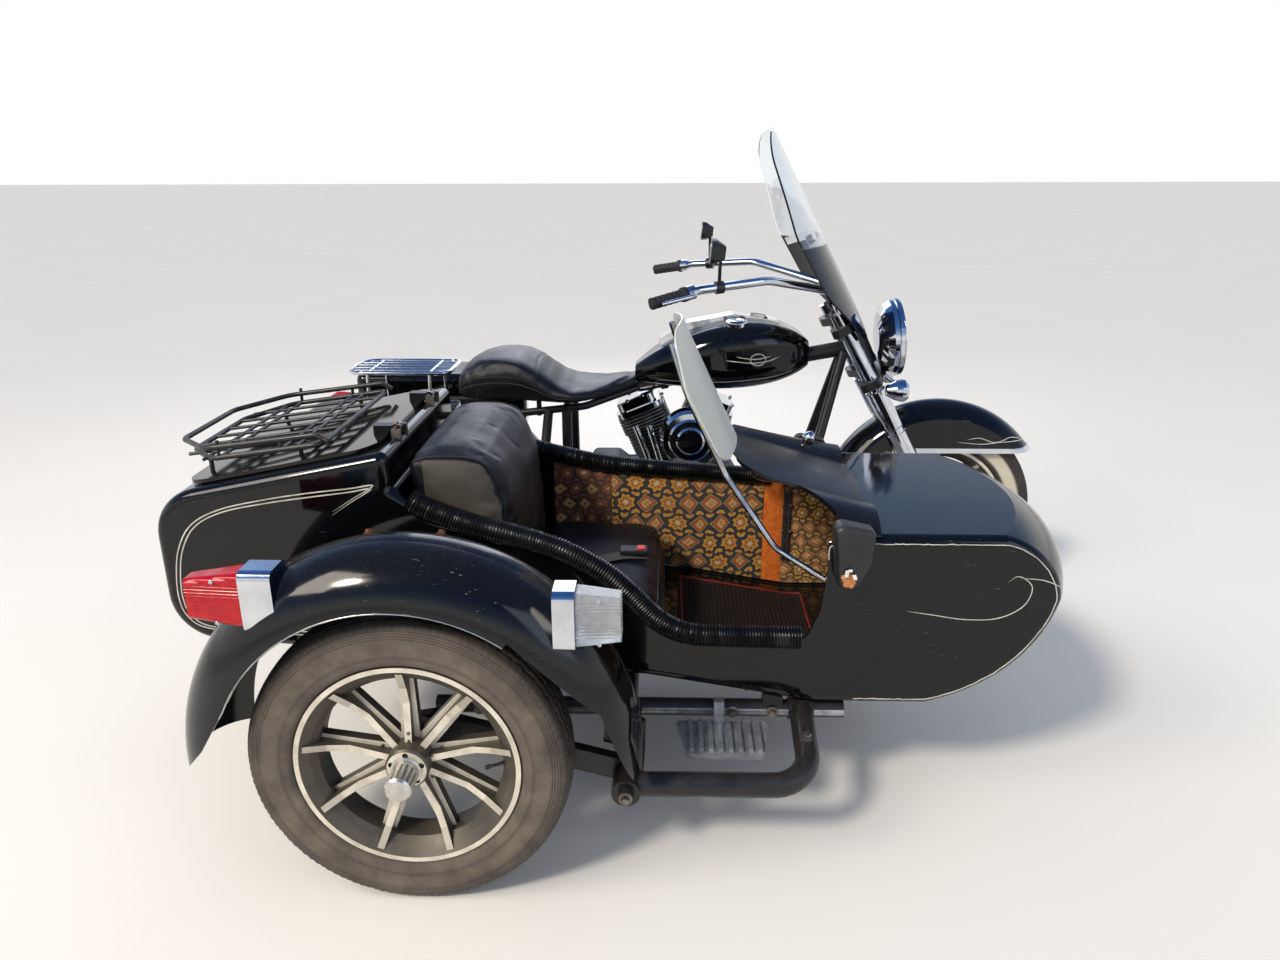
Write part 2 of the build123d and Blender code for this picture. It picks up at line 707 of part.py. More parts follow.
def motorcycle_frame():
    """Welded cradle: steering head, backbone, two downtubes and rails, uprights and seat rails."""
    frame = frame_tubes(0) + both_sides(frame_brackets()) + backbone(BACKBONE_RADIUS)
    frame = frame + rod(steer_point(HEAD_LOW), steer_point(HEAD_HIGH), HEAD_TUBE_RADIUS)
    frame = frame + rod((UPRIGHT_X, -112, SEAT_RAIL_Z - 4), (UPRIGHT_X, 112, SEAT_RAIL_Z - 4), 13)
    for x in (700, 1090):
        frame = frame + (backbone(TANK_TUNNEL - SEAT_GAP) & block((x, x + 24), (-60, 60), (600, 1000)))
    bore = rod(steer_point(HEAD_LOW - 60), steer_point(HEAD_HIGH + 60), STEM_RADIUS + BORE_GAP)
    return frame - bore


def crankcase():
    """One closed mass: crankcase and gearbox in a single outline."""
    case = outline(
        [
            (452, 268), (1000, 264), (1016, 330), (930, 478), (745, 500), (600, 470), (560, 500),
            (470, 500), (444, 380),
        ],
        [20, 20, 30, 40, 60, 20, 24, 24, 30],
    )
    x, z = CRANK
    body = side_plate(case, -CASE_HALF, 56) + block((600, 940), (50, CASE_HALF), (290, 440))
    for turn in (-VEE_HALF_ANGLE, VEE_HALF_ANGLE):
        body = body + cylinder_plane(turn, 60) * extrude(
            RectangleRounded(136, 136, 50), amount=FIN_FIRST - 60 - SEAT_GAP
        )
    for turn in (-VEE_HALF_ANGLE, VEE_HALF_ANGLE):
        space = extrude(RectangleRounded(176, 196, 30), amount=240)
        body = body - cylinder_plane(turn, FIN_FIRST - SEAT_GAP) * space
    return body


def cylinder_plane(turn, distance):
    """A plane square to a cylinder's axis; turn is + for the front one."""
    lean = radians(turn)
    x, z = CRANK
    along = Vector(sin(lean), 0, cos(lean))
    origin = Vector(x, 0, z) + along * distance
    return Plane(origin=origin, x_dir=(cos(lean), 0, -sin(lean)), z_dir=along)


def finned_cylinder(turn):
    """A barrel and head with cooling fins, trimmed where the two meet in the vee."""
    barrel = cylinder_plane(turn, FIN_FIRST) * extrude(Circle(54), amount=HEAD_TOP - FIN_FIRST)
    count = int((HEAD_TOP - FIN_FIRST) / FIN_PITCH)
    for k in range(count):
        width = 148 if k < count * 0.62 else 162
        fin = cylinder_plane(turn, FIN_FIRST + 6 + k * FIN_PITCH)
        barrel = barrel + fin * extrude(RectangleRounded(width, 144, 42), amount=FIN_THICKNESS)
    x, z = CRANK
    side = 1 if turn > 0 else -1
    keep = block(sorted((x + side * 2, x + side * 400)), (-150, 150), (z, z + 400))
    return barrel & keep


def finned_cylinders():
    """Both cylinders of the vee."""
    return finned_cylinder(VEE_HALF_ANGLE) + finned_cylinder(-VEE_HALF_ANGLE)


def rocker_covers():
    """Stepped chrome boxes on the cylinder heads."""
    covers = Part()
    for turn in (-VEE_HALF_ANGLE, VEE_HALF_ANGLE):
        base = cylinder_plane(turn, HEAD_TOP) * extrude(RectangleRounded(150, 160, 26), amount=18)
        upper = cylinder_plane(turn, HEAD_TOP + 18) * extrude(
            RectangleRounded(128, 144, 24), amount=ROCKER_HEIGHT - 18
        )
        covers = covers + base + upper
    return covers - backbone(TANK_TUNNEL, 20)


def pushrod_tubes():
    """Four bright tubes from the cam cover up to the heads, on the right."""
    x, z = CRANK
    tubes = Part()
    # foot offset from the crank along x, head distance along x
    for foot, top in ((-66, -128), (-34, -84), (34, 84), (66, 128)):
        lower = (x + foot, -118, z + 78)
        upper = (x + top, -96, z + 236)
        tubes = tubes + rod(lower, upper, 11)
    for turn in (-VEE_HALF_ANGLE, VEE_HALF_ANGLE):
        tubes = tubes - cylinder_plane(turn, FIN_FIRST - 2) * extrude(
            RectangleRounded(166, 148, 42), amount=260
        )
    return tubes - cam_cover()


def cam_cover():
    """Right-hand engine cover, round over the cams and ribbed behind."""
    x, z = CRANK
    cover = side_plate(
        outline(
            [(x - 150, z - 70), (x + 110, z - 84), (x + 130, z + 20), (x + 60, z + 96), (x - 90, z + 92)],
            [30, 30, 50, 40, 40],
        ),
        -122,
        -92 - SEAT_GAP,
    )
    boss = rod((x + 20, -130, z - 4), (x + 20, -110, z - 4), 66)
    return cover + boss


def primary_cover():
    """Left-hand chain cover: a long oval with a raised centre."""
    x, z = CRANK
    low = outline(
        [(x - 300, z - 90), (x + 90, z - 96), (x + 100, z + 90), (x - 300, z + 74)], [80, 88, 88, 78]
    )
    high = outline(
        [(x - 284, z - 74), (x + 74, z - 80), (x + 84, z + 74), (x - 284, z + 58)], [66, 74, 74, 64]
    )
    return side_plate(low, 92 + SEAT_GAP, 158) + side_plate(high, 150, 172)


AIR_CLEANER = (792, 612)  # x, z of its centre


def air_cleaner():
    """Round stepped chrome cover on a backing plate and an intake neck."""
    x, z = AIR_CLEANER
    steps = [
        (0, -246), (38, -246), (44, -240), (62, -240), (68, -232), (84, -230), (92, -214), (96, -186),
        (92, -166), (0, -166),
    ]
    cover = spin(steps, (x, 0, z))
    plate = spin([(0, -166), (78, -166), (78, -152), (0, -152)], (x, 0, z))
    neck = rod((x - 20, -156, z), (CRANK[0], -10, z - 30), 26)
    neck = neck & block((600, 900), (-158, -30), (400, 800))
    for turn in (-VEE_HALF_ANGLE, VEE_HALF_ANGLE):
        neck = neck - cylinder_plane(turn, FIN_FIRST - 4) * extrude(
            RectangleRounded(148.6, 144.6, 42), amount=114
        )
        neck = neck - cylinder_plane(turn, FIN_FIRST + 108) * extrude(
            RectangleRounded(162.6, 144.6, 42), amount=200
        )
    return cover + plate + neck


def tank_form(grow):
    """The tank's closed teardrop, grown by an amount."""
    # x, half width, low z, high z, corner radius
    sections = (
        (1168, 58, 806, 888, 30),
        (1080, 122, 768, 938, 58),
        (930, 152, 744, 950, 74),
        (756, 126, 746, 900, 66),
        (616, 48, 752, 806, 24),
    )
    faces = []
    for x, half, low, high, bend in sections:
        plane = Plane(origin=(x, 0, (low + high) / 2), x_dir=(0, 1, 0), z_dir=(1, 0, 0))
        faces.append(plane * RectangleRounded(2 * (half + grow), high - low + 2 * grow, bend))
    return loft(faces)


def fuel_tank():
    """Teardrop tank, open underneath where it sits over the backbone."""
    tunnel = outline([(560, 600), (1240, 600), (1240, 850), (560, 723)])
    return tank_form(0) - backbone(TANK_TUNNEL, 60) - side_plate(tunnel, -TANK_TUNNEL, TANK_TUNNEL)


def tank_console():
    """Long bright panel on the tank's spine, with a filler cap on each side."""
    side = [(700, 860), (1060, 900), (1090, 948), (930, 972), (780, 944), (690, 890)]
    console = side_plate(outline(side, [8, 8, 20, 90, 60, 10]), -34, 34)
    for y in (-82, 82):
        console = console + rod((935, y, 925), (935, y * 1.05, 957), 34)
    return console - tank_form(SEAT_GAP)


def rider_seat():
    """Dished saddle with a raised pillion part, narrow at the tank."""
    side = outline(
        [
            (40, 716), (60, 800), (190, 852), (290, 838), (420, 744), (520, 752), (636, 792), (604, 742),
            (420, 712),
        ],
        [20, 30, 70, 60, 110, 80, 10, 10, 60],
    )
    plan = outline(
        [
            (30, -130), (30, 130), (220, 158), (420, 182), (520, 120), (650, 52), (650, -52), (520, -120),
            (420, -182), (220, -158),
        ],
        [60, 60, 90, 70, 90, 20, 20, 90, 70, 90],
    )
    return (side_plate(side, -190, 190) & plan_plate(plan, 700, 870)) - tank_form(SEAT_GAP)


def guard_section(grow):
    """The rear fender's section as radius against Y, filled in, grown by an amount."""
    half = FENDER_HALF_REAR + grow
    shoulder = TYRE_RADIUS + 18 + grow
    low = TYRE_RADIUS - 20
    crown = ThreePointArc((shoulder, -half), (shoulder + 20, 0), (shoulder, half))
    sides = Polyline((shoulder, half), (low, half), (low, -half), (shoulder, -half))
    return make_face([crown, *sides.edges()])


def rear_fender():
    """Curved guard over the rear wheel, with the bracket that carries the tail lamp."""
    hollow = spin_face(Pos(-10, 0) * guard_section(-3), REAR_AXLE, 26, 168)
    hollow = hollow + spin_face(guard_section(-3), REAR_AXLE, 26, 168)
    bracket = side_plate(
        outline([(-352, 634), (-350, 692), (-170, 650), (-262, 560)], [4, 10, 20, 20]), -34, 34
    )
    return spin_face(guard_section(0), REAR_AXLE, 30, 158) + bracket - hollow


def tail_lamp():
    """Rounded red lens on the rear fender's bracket."""
    face = outline(
        [(TAIL_X, 628), (-366, 620), (-352 - SEAT_GAP, 630), (-352 - SEAT_GAP, 694), (TAIL_X + 4, 696)],
        [6, 4, 2, 4, 12],
    )
    return side_plate(face, -52, 52)


def pillion_rack():
    """Bright tubular rack over the rear fender: a loop and four slats on two stays."""
    z = 792
    loop = tube(
        [
            (20, 0, z), (20, -98, z), (-300, -98, z), (-318, 0, z - 3), (-300, 98, z), (20, 98, z),
            (20, 1, z),
        ],
        7,
        [30, 60, 140, 60, 30],
    )
    rack = loop
    for y in (-60, -21, 21, 60):
        rack = rack + rod((16, y, z), (-302, y, z), 5)
    for x in (-40, -240):
        rack = rack + rod((x, -98, z), (x, 98, z), 5)
        for side in (-1, 1):
            rack = rack + rod((x, side * 96, z), (x, side * 114, 656), 6)
    return rack - frame_tubes(SEAT_GAP)


def swingarm():
    """Two arms from a cross tube at the pivot back to the axle, with shock lugs and the caliper."""
    x, z = UPRIGHT_X, PIVOT_Z
    points = [
        (x - 26, z - 24), (x + 20, z - 20), (x + 20, z + 20), (40, 346), (-44, 342), (-44, 298), (40, 300),
    ]
    arm = side_plate(outline(points, [6, 10, 10, 30, 8, 8, 30]), -ARM_OUTER_Y, -ARM_INNER_Y)
    arms = both_sides(arm + block((8, 52), (-152, -ARM_OUTER_Y), (304, 340)))
    arms = arms + rod((x, -ARM_OUTER_Y, z), (x, ARM_OUTER_Y, z), 19)
    caliper = block((84, 150), (-ARM_INNER_Y - 1, 16 - DISC_OFFSET), (328, 402))
    gap = DISC_THICKNESS / 2 + 5
    reach = DISC_RADIUS + 6
    slot = spin(
        [
            (0, -DISC_OFFSET - gap), (reach, -DISC_OFFSET - gap), (reach, gap - DISC_OFFSET),
            (0, gap - DISC_OFFSET),
        ],
        REAR_AXLE,
    )
    arms = arms + (caliper - slot)
    return arms - rod((0, -200, TYRE_RADIUS), (0, 200, TYRE_RADIUS), AXLE_RADIUS)


def rear_axle():
    """The axle through the arms and the hub, with its two nuts."""
    shaft = rod((0, -ARM_OUTER_Y - 16, TYRE_RADIUS), (0, ARM_OUTER_Y + 16, TYRE_RADIUS), AXLE_RADIUS - 0.1)
    nut = rod((0, -ARM_OUTER_Y - 12, TYRE_RADIUS), (0, -ARM_OUTER_Y - SEAT_GAP, TYRE_RADIUS), 15)
    return shaft + both_sides(nut)


def rear_shocks():
    """Two shock absorbers in their covers, from the arms' lugs up to the frame's."""
    y = -134
    foot = Vector(30, y, 340 + SEAT_GAP)
    top = Vector(140, y, 600 - SEAT_GAP)
    along = (top - foot).normalized()
    lower = rod(tuple(foot + along * 10), tuple(foot + along * 150), 17)
    upper = rod(tuple(foot + along * 120), tuple(top - along * 8), 23)
    feet = block((18, 42), (y - 12, y + 12), (340 + SEAT_GAP, 362)) + block(
        (128, 152), (y - 12, y + 12), (572, 600 - SEAT_GAP)
    )
    return both_sides(lower + upper + feet)


def rear_pulley():
    """Toothed wheel for the belt, on a boss against the hub's left face."""
    bore = AXLE_RADIUS + BORE_GAP
    face = HUB_WIDTH / 2
    return spin(
        [
            (bore, face), (44, face), (50, PULLEY_LOW_Y), (PULLEY_RADIUS, PULLEY_LOW_Y),
            (PULLEY_RADIUS, PULLEY_HIGH_Y), (bore, PULLEY_HIGH_Y),
        ],
        REAR_AXLE,
    )


def belt_face(extra):
    """The belt's path as a face, a hull of both pulleys grown by an amount."""
    x, z, radius = FRONT_SPROCKET
    rear = PULLEY_RADIUS + extra
    front = radius + extra
    span = sqrt(x**2 + (z - TYRE_RADIUS) ** 2)
    lean = atan2(z - TYRE_RADIUS, x)
    up = acos((rear - front) / span)
    points = []
    for sign in (1, -1):
        angle = lean + sign * up
        points.append(
            (
                (rear * cos(angle), TYRE_RADIUS + rear * sin(angle)),
                (x + front * cos(angle), z + front * sin(angle)),
            )
        )
    (a, b), (d, c) = points
    front_arc = ThreePointArc(b, (x + front * cos(lean), z + front * sin(lean)), c)
    rear_arc = ThreePointArc(d, (-rear * cos(lean), TYRE_RADIUS - rear * sin(lean)), a)
    return make_face([Line(a, b), front_arc, Line(c, d), rear_arc])


def drive_belt():
    """Closed belt round both pulleys, with the front one inside it."""
    band = belt_face(BELT_GAP + BELT_THICKNESS) - belt_face(BELT_GAP)
    x, z, radius = FRONT_SPROCKET
    sprocket = rod((x, 56 + SEAT_GAP, z), (x, PULLEY_HIGH_Y, z), radius)
    return side_plate(band, PULLEY_LOW_Y + 1, PULLEY_HIGH_Y - 1) + sprocket


def silencer(y):
    """A long silencer with its sleeve and a hanger from the lower rail; y is negative on the right."""
    side = 1 if y > 0 else -1
    rail = side * (RAIL_Y + RAIL_RADIUS + SEAT_GAP)
    x_span = (HANGER_X, HANGER_X + 20)
    hanger = block(x_span, sorted((rail, y)), (RAIL_Z - 4, PIPE_Z - 40))
    hanger = hanger + block(x_span, sorted((side * HANGER_STEP_Y, y)), (RAIL_Z, PIPE_Z - 30))
    return rod((350, y, PIPE_Z), (-330, y, PIPE_Z), 46) + rod((470, y, PIPE_Z), (350, y, PIPE_Z), 30) + hanger


def exhaust_right():
    """Header pipe from the right-hand port into one long silencer."""
    y, z = -PIPE_Y, PIPE_Z
    route = [(908, -62, 556), (992, -120, 536), (985, -190, z), (700, -200, 300), (420, y, z), (340, y, z)]
    return tube(route, 22, [45, 60, 120, 30]) + silencer(y)


def exhaust_left():
    """The balancing silencer on the left side, its pipe closed under the chain cover."""
    y, z = PIPE_Y, PIPE_Z
    return tube([(640, 198, 290), (560, 199, 292), (440, y, z), (340, y, z)], 22, [60, 60]) + silencer(y)


BAG_FRONT_X = 226
BAG_REAR_X = -378
BAG_INNER_Y = 168
BAG_OUTER_Y = 420
BAG_LOW_Z = 400
BAG_SPLIT_Z = 640
BAG_TOP_Z = 728
BAG_WALL = 5
LID_GAP = 5


def bag_plan(inset):
    """A saddlebag's outline from above, on the right, moved in by an inset."""
    x0 = BAG_REAR_X + inset
    x1 = BAG_FRONT_X - inset
    y0 = -BAG_OUTER_Y + inset
    y1 = -BAG_INNER_Y - inset
    return outline(
        [(x0 + 14, y0 + 22), (x1 - 30, y0), (x1, y1), (x0, y1)],
        [60 - inset, 70 - inset, 30 - inset, 30 - inset],
    )


def bag_side(inset, low, high):
    """A saddlebag's outline from the side between two heights."""
    x0 = BAG_REAR_X - 20 + inset
    x1 = BAG_FRONT_X + 20 - inset
    return outline([(x0 + 60, low), (x1 - 90, low), (x1, high), (x0, high)], [60, 70, 4, 4])


BAG_HINGE = (-429, 642.5)  # y, z of the lid's hinge, outboard of the right bag
BAG_HINGE_X = (-150, 110)  # middle of each hinge
BAG_PIN_RADIUS = 4


def bag_inside(low, high):
    """The space inside the right-hand bag between two heights."""
    walls = side_plate(bag_side(BAG_WALL, BAG_LOW_Z + BAG_WALL, BAG_TOP_Z), -500, 0)
    return plan_plate(bag_plan(BAG_WALL), low, high) & walls


def saddlebag_tub():
    """Right-hand bag: an open-topped box with rounded lower edges and two hinge pins."""
    walls = side_plate(bag_side(0, BAG_LOW_Z, BAG_SPLIT_Z), -500, 0)
    tub = plan_plate(bag_plan(0), BAG_LOW_Z, BAG_SPLIT_Z) & walls
    y, z = BAG_HINGE
    for x in BAG_HINGE_X:
        tub = tub + rod((x - 26, y, z), (x + 26, y, z), BAG_PIN_RADIUS)
        for shift in (-26, 18):
            tub = tub + block((x + shift, x + shift + 8), (y - 4, y + 32), (z - 14, z - 2.5))
    return tub - bag_inside(BAG_LOW_Z + BAG_WALL, BAG_SPLIT_Z + 0.01)


def saddlebag_lid():
    """Right-hand lid: a crowned shell over the tub's rim, with two hinge knuckles."""
    low = BAG_SPLIT_Z + LID_GAP
    outer = plan_plate(bag_plan(0), low, BAG_TOP_Z)
    outer = fillet(outer.faces().sort_by(Axis.Z)[-1].edges(), 26)
    inner = plan_plate(bag_plan(BAG_WALL), low - 10, BAG_TOP_Z - BAG_WALL)
    inner = fillet(inner.faces().sort_by(Axis.Z)[-1].edges(), 20)
    y, z = BAG_HINGE
    for x in BAG_HINGE_X:
        outer = outer + rod((x - 12, y, z), (x + 12, y, z), BAG_PIN_RADIUS + 4)
        outer = outer + block((x - 12, x + 12), (y - 6, y + 32), (low, low + 14))
        outer = outer - rod((x - 40, y, z), (x + 40, y, z), BAG_PIN_RADIUS + BORE_GAP)
    return outer - inner


def saddlebag_tubs():
    """Both bags."""
    return both_sides(saddlebag_tub())


def saddlebag_lid_right():
    """The lid on the sidecar's side."""
    return saddlebag_lid()


def saddlebag_lid_left():
    """The lid on the left."""
    return mirror(saddlebag_lid(), about=Plane.XZ)


def footboards():
    """Two half-round rider's boards on arms from the lower rails."""
    board = plan_plate(
        outline(
            [(800, -238), (1096, -238), (1120, -300), (1060, -366), (840, -366), (780, -300)],
            [10, 10, 40, 40, 40, 40],
        ),
        290,
        304,
    )
    for k in range(6):
        x = 830 + k * 44
        board = board + block((x, x + 22), (-352, -250), (304, 310))
    for x in (850, 1030):
        board = board + block((x, x + 24), (-270, -RAIL_Y - RAIL_RADIUS - SEAT_GAP), (236, 292))
    return both_sides(board)


# Sidecar body

FAR_RIM = [(225, 733), (370, 689), (560, 645), (1000, RIM_LOW_Z)]  # x, z along the inner side
NEAR_RIM = [(495, 655), (600, 592), (686, 497), (773, 455), (1024, SILL_Z)]  # the doorway's edge
BULKHEAD_X = 128
HATCH_X = (-296, 96)
HATCH_MARGIN = 52
BOOT_PANEL_HEIGHT = 3
COCKPIT_FRONT_X = 1132


def body_profile(inset):
    """The body's side outline behind the nose, moved in by an inset."""
    rear = BODY_TAIL_X + inset
    low = FLOOR_REAR_Z + inset
    front_low = FLOOR_FRONT_Z + inset
    points = [
        (rear, low + 10),
        (rear, DECK_REAR_Z - inset - 2),
        (DECK_FRONT_X - inset, DECK_FRONT_Z - inset),
        (DECK_FRONT_X + 4 - inset, 790 - inset),
        (225 - inset, 733 - inset),
        (370, 689 - inset),
        (560, 645 - inset),
        (1000, RIM_LOW_Z - inset),
        (1062, HOOD_Z - inset),
        (NOSE_START_X, HOOD_Z - inset),
        (NOSE_START_X, front_low),
        (FLOOR_FRONT_X, front_low),
        (680, 350 + inset),
    ]
    bends = [110 - inset, 110 - inset, 16, 8, 60, 200, 200, 40, 40, 1, 1, 200, 200]
    return outline(points, bends)


def nose_solid(inset):
    """Barrel-shaped nose: a side section turned about an upright axis, cut by the side planes."""
    centre_x = BODY_NOSE_X - NOSE_BULGE_RADIUS
    start = 150
    # distance from the upright axis, z
    low = FLOOR_FRONT_Z + inset
    top = HOOD_Z - inset
    tip = NOSE_BULGE_RADIUS - inset
    lower = ThreePointArc((400 - inset, low), (tip - 57, 412 + inset * 0.8), (tip, 546))
    upper = ThreePointArc((tip, 546), (tip - 32, 634 - inset * 0.7), (506 - inset, top))
    edges = [
        Line((start, low), (400 - inset, low)),
        lower,
        upper,
        Line((506 - inset, top), (start, top)),
        Line((start, top), (start, low)),
    ]
    plane = Plane(origin=(centre_x, BODY_MID_Y, 0), x_dir=(1, 0, 0), z_dir=(0, -1, 0))
    axis = Axis((centre_x, BODY_MID_Y, 0), (0, 0, 1))
    turned = revolve(plane * make_face(edges), axis, 120).rotate(axis, -60)
    span = (BODY_OUTER_Y + inset, BODY_INNER_Y - inset)
    return turned & block((NOSE_START_X - 1, BODY_NOSE_X + 5), span, (low - 5, top + 5))


def body_form(inset):
    """The whole closed body, moved in by an inset."""
    main = side_plate(body_profile(inset), BODY_OUTER_Y + inset, BODY_INNER_Y - inset)
    return main + nose_solid(inset)


def rounded_form(inset):
    """The closed body with its long side edges rounded."""
    form = body_form(inset)
    radius = BODY_EDGE_RADIUS - inset
    sides = (BODY_OUTER_Y + inset, BODY_INNER_Y - inset)
    picked = []
    for edge in form.edges():
        box = edge.bounding_box()
        on_side = any(abs(box.min.Y - y) < 0.01 and abs(box.max.Y - y) < 0.01 for y in sides)
        if on_side and not (abs(box.min.X - NOSE_START_X) < 0.5 and abs(box.max.X - NOSE_START_X) < 0.5):
            picked.append(edge)
    return fillet(picked, radius)


def doorway():
    """What is cut from the outer side for the passenger to step in."""
    points = NEAR_RIM + [(1052, 521), (PILLAR_X + 2, 620), (PILLAR_X - 4, 760), (480, 760)]
    bends = [120, 60, 60, 60, 24, 60, 60, 4, 4]
    return side_plate(outline(points, bends), BODY_OUTER_Y - 40, BODY_OUTER_Y + BODY_WALL + 6)


def hatch(gap):
    """The boot opening's outline from above, grown by a gap."""
    x0, x1 = HATCH_X
    y0 = BODY_OUTER_Y + HATCH_MARGIN
    y1 = BODY_INNER_Y - HATCH_MARGIN
    return outline(
        [(x0 - gap, y0 - gap), (x1 + gap, y0 - gap), (x1 + gap, y1 + gap), (x0 - gap, y1 + gap)], 40 + gap
    )


def boot_panel():
    """The raised middle of the boot's floor, which luggage stands on."""
    layer = side_plate(
        body_profile(BODY_WALL - 1) - body_profile(BODY_WALL + BOOT_PANEL_HEIGHT), -1300, -400
    )
    x_span = (BODY_TAIL_X + 130, BULKHEAD_X - BODY_WALL - 30)
    y_span = (BODY_OUTER_Y + 50, BODY_INNER_Y - 50)
    return layer & block(x_span, y_span, (340, 500))


def sidecar_tub():
    """One moulded shell: boot, bulkhead, open cockpit and hollow nose."""
    shell = rounded_form(0) - rounded_form(BODY_WALL)
    shell = shell - doorway()
    shell = shell - plan_plate(hatch(0), 700, 1000)
    x_span = (DECK_FRONT_X + 14, COCKPIT_FRONT_X)
    y_span = (BODY_OUTER_Y + BODY_WALL, BODY_INNER_Y - BODY_WALL)
    well = outline(
        [(x, y) for x, y in zip((*x_span, *x_span[::-1]), (y_span[0], y_span[0], y_span[1], y_span[1]))], 20
    )
    shell = shell - plan_plate(well, 500, 1000)
    bulkhead = block((BULKHEAD_X - BODY_WALL, BULKHEAD_X), (BODY_OUTER_Y + 2, BODY_INNER_Y - 2), (360, 900))
    return shell + (bulkhead & rounded_form(4)) + boot_panel()


def cowl_arch(x, top, side, inset):
    """One arched cross-section of the scuttle at x, moved in by an inset."""
    y0 = BODY_OUTER_Y + inset + 1
    y1 = BODY_INNER_Y - inset - 1
    shoulder = 150
    arch = [
        ThreePointArc(
            (y1, side - inset), (y1 - 34, (side + top) / 2 + 12 - inset), (y1 - shoulder, top - 12 - inset)
        ),
        ThreePointArc(
            (y1 - shoulder, top - 12 - inset), (BODY_MID_Y, top - inset), (y0 + shoulder, top - 12 - inset)
        ),
        ThreePointArc(
            (y0 + shoulder, top - 12 - inset), (y0 + 34, (side + top) / 2 + 12 - inset), (y0, side - inset)
        ),
    ]
    base = Polyline((y0, side - inset), (y0, 600), (y1, 600), (y1, side - inset))
    plane = Plane(origin=(x, 0, 0), x_dir=(0, 1, 0), z_dir=(1, 0, 0))
    return plane * make_face([*arch, *base.edges()])


COWL_REAR_X = 862
COWL_FRONT_X = 1168
COWL_WALL = 7
COWL_SEAT_Z = HOOD_Z + SEAT_GAP


def cowl_solid(inset):
    """The scuttle's form between its rear and front sections, moved in by an inset."""
    rear = cowl_arch(COWL_REAR_X - inset * 0.2, 806, 700, inset)
    front = cowl_arch(COWL_FRONT_X - inset * 2, 716, 694, inset)
    return loft([rear, front])


def cowl():
    """Scuttle ahead of the cockpit: an arched shell with a rounded rear edge."""
    shell = cowl_solid(0) - cowl_solid(COWL_WALL)
    # the rear edge from above: forward at the doorway, furthest back in the middle
    entry = outline(
        [
            (820, -1260), (1078, -1260), (1078, -1150), (1010, -1060), (880, -1010), (868, -760),
            (912, -600), (912, -520), (820, -520),
        ],
        [4, 4, 40, 40, 60, 80, 20, 4, 4],
    )
    shell = shell - plan_plate(entry, 590, 900)
    return shell & block((800, 1200), (-1250, -500), (COWL_SEAT_Z, 900))


LID_LIFT = 1  # seal gap under the boot lid
LID_THICKNESS = 9
LID_MARGIN = 16  # how far the lid laps past the boot's opening
HINGE_X = HATCH_X[1] + 30
HINGE_RADIUS = 5
HINGE_RISE = 16  # hinge pin above the deck
HINGE_SPREAD = 150  # each hinge from the body's middle


def deck_height(x):
    """The boot deck's height at x."""
    slope = (DECK_FRONT_Z - DECK_REAR_Z) / (DECK_FRONT_X - BODY_TAIL_X)
    return DECK_FRONT_Z + slope * (x - DECK_FRONT_X)


def lid_slab(low_gap, high_gap):
    """The layer between two heights above the sloping deck."""
    low = HATCH_X[0] - 200
    high = HATCH_X[1] + 60
    points = [(low, deck_height(low) + low_gap), (high, deck_height(high) + low_gap)]
    points += [(high, deck_height(high) + high_gap), (low, deck_height(low) + high_gap)]
    return side_plate(outline(points), -1400, -400)


def boot_lid():
    """Flat moulded lid over the boot's opening, with its hinge knuckles."""
    lid = lid_slab(LID_LIFT, LID_LIFT + LID_THICKNESS) & plan_plate(hatch(LID_MARGIN), 600, 1000)
    z = deck_height(HINGE_X) + HINGE_RISE
    for y in (BODY_MID_Y - HINGE_SPREAD, BODY_MID_Y + HINGE_SPREAD):
        knuckle = rod((HINGE_X, y - 14, z), (HINGE_X, y + 14, z), HINGE_RADIUS + 5)
        strap = block((HINGE_X - 50, HINGE_X), (y - 14, y + 14), (z - 60, z + 6))
        lid = lid + knuckle + (strap & lid_slab(HINGE_RISE - 10, 40))
        lid = lid - rod((HINGE_X, y - 30, z), (HINGE_X, y + 30, z), HINGE_RADIUS + BORE_GAP)
    return lid


def boot_hinges():
    """Two hinge pins on feet screwed to the deck, just ahead of the lid."""
    z = deck_height(HINGE_X) + HINGE_RISE
    hinge = Part()
    for y in (BODY_MID_Y - HINGE_SPREAD, BODY_MID_Y + HINGE_SPREAD):
        hinge = hinge + rod((HINGE_X, y - 30, z), (HINGE_X, y + 30, z), HINGE_RADIUS)
        for shift in (-30, 20):
            hinge = hinge + block((HINGE_X - 6, HINGE_X + 14), (y + shift, y + shift + 10), (z - 40, z + 2))
    return hinge - side_plate(body_profile(-SEAT_GAP), -1300, -400)


RACK_Z = 852
RACK_X = (-366, -10)
RACK_Y = (-1128, -652)
RACK_RADIUS = 6


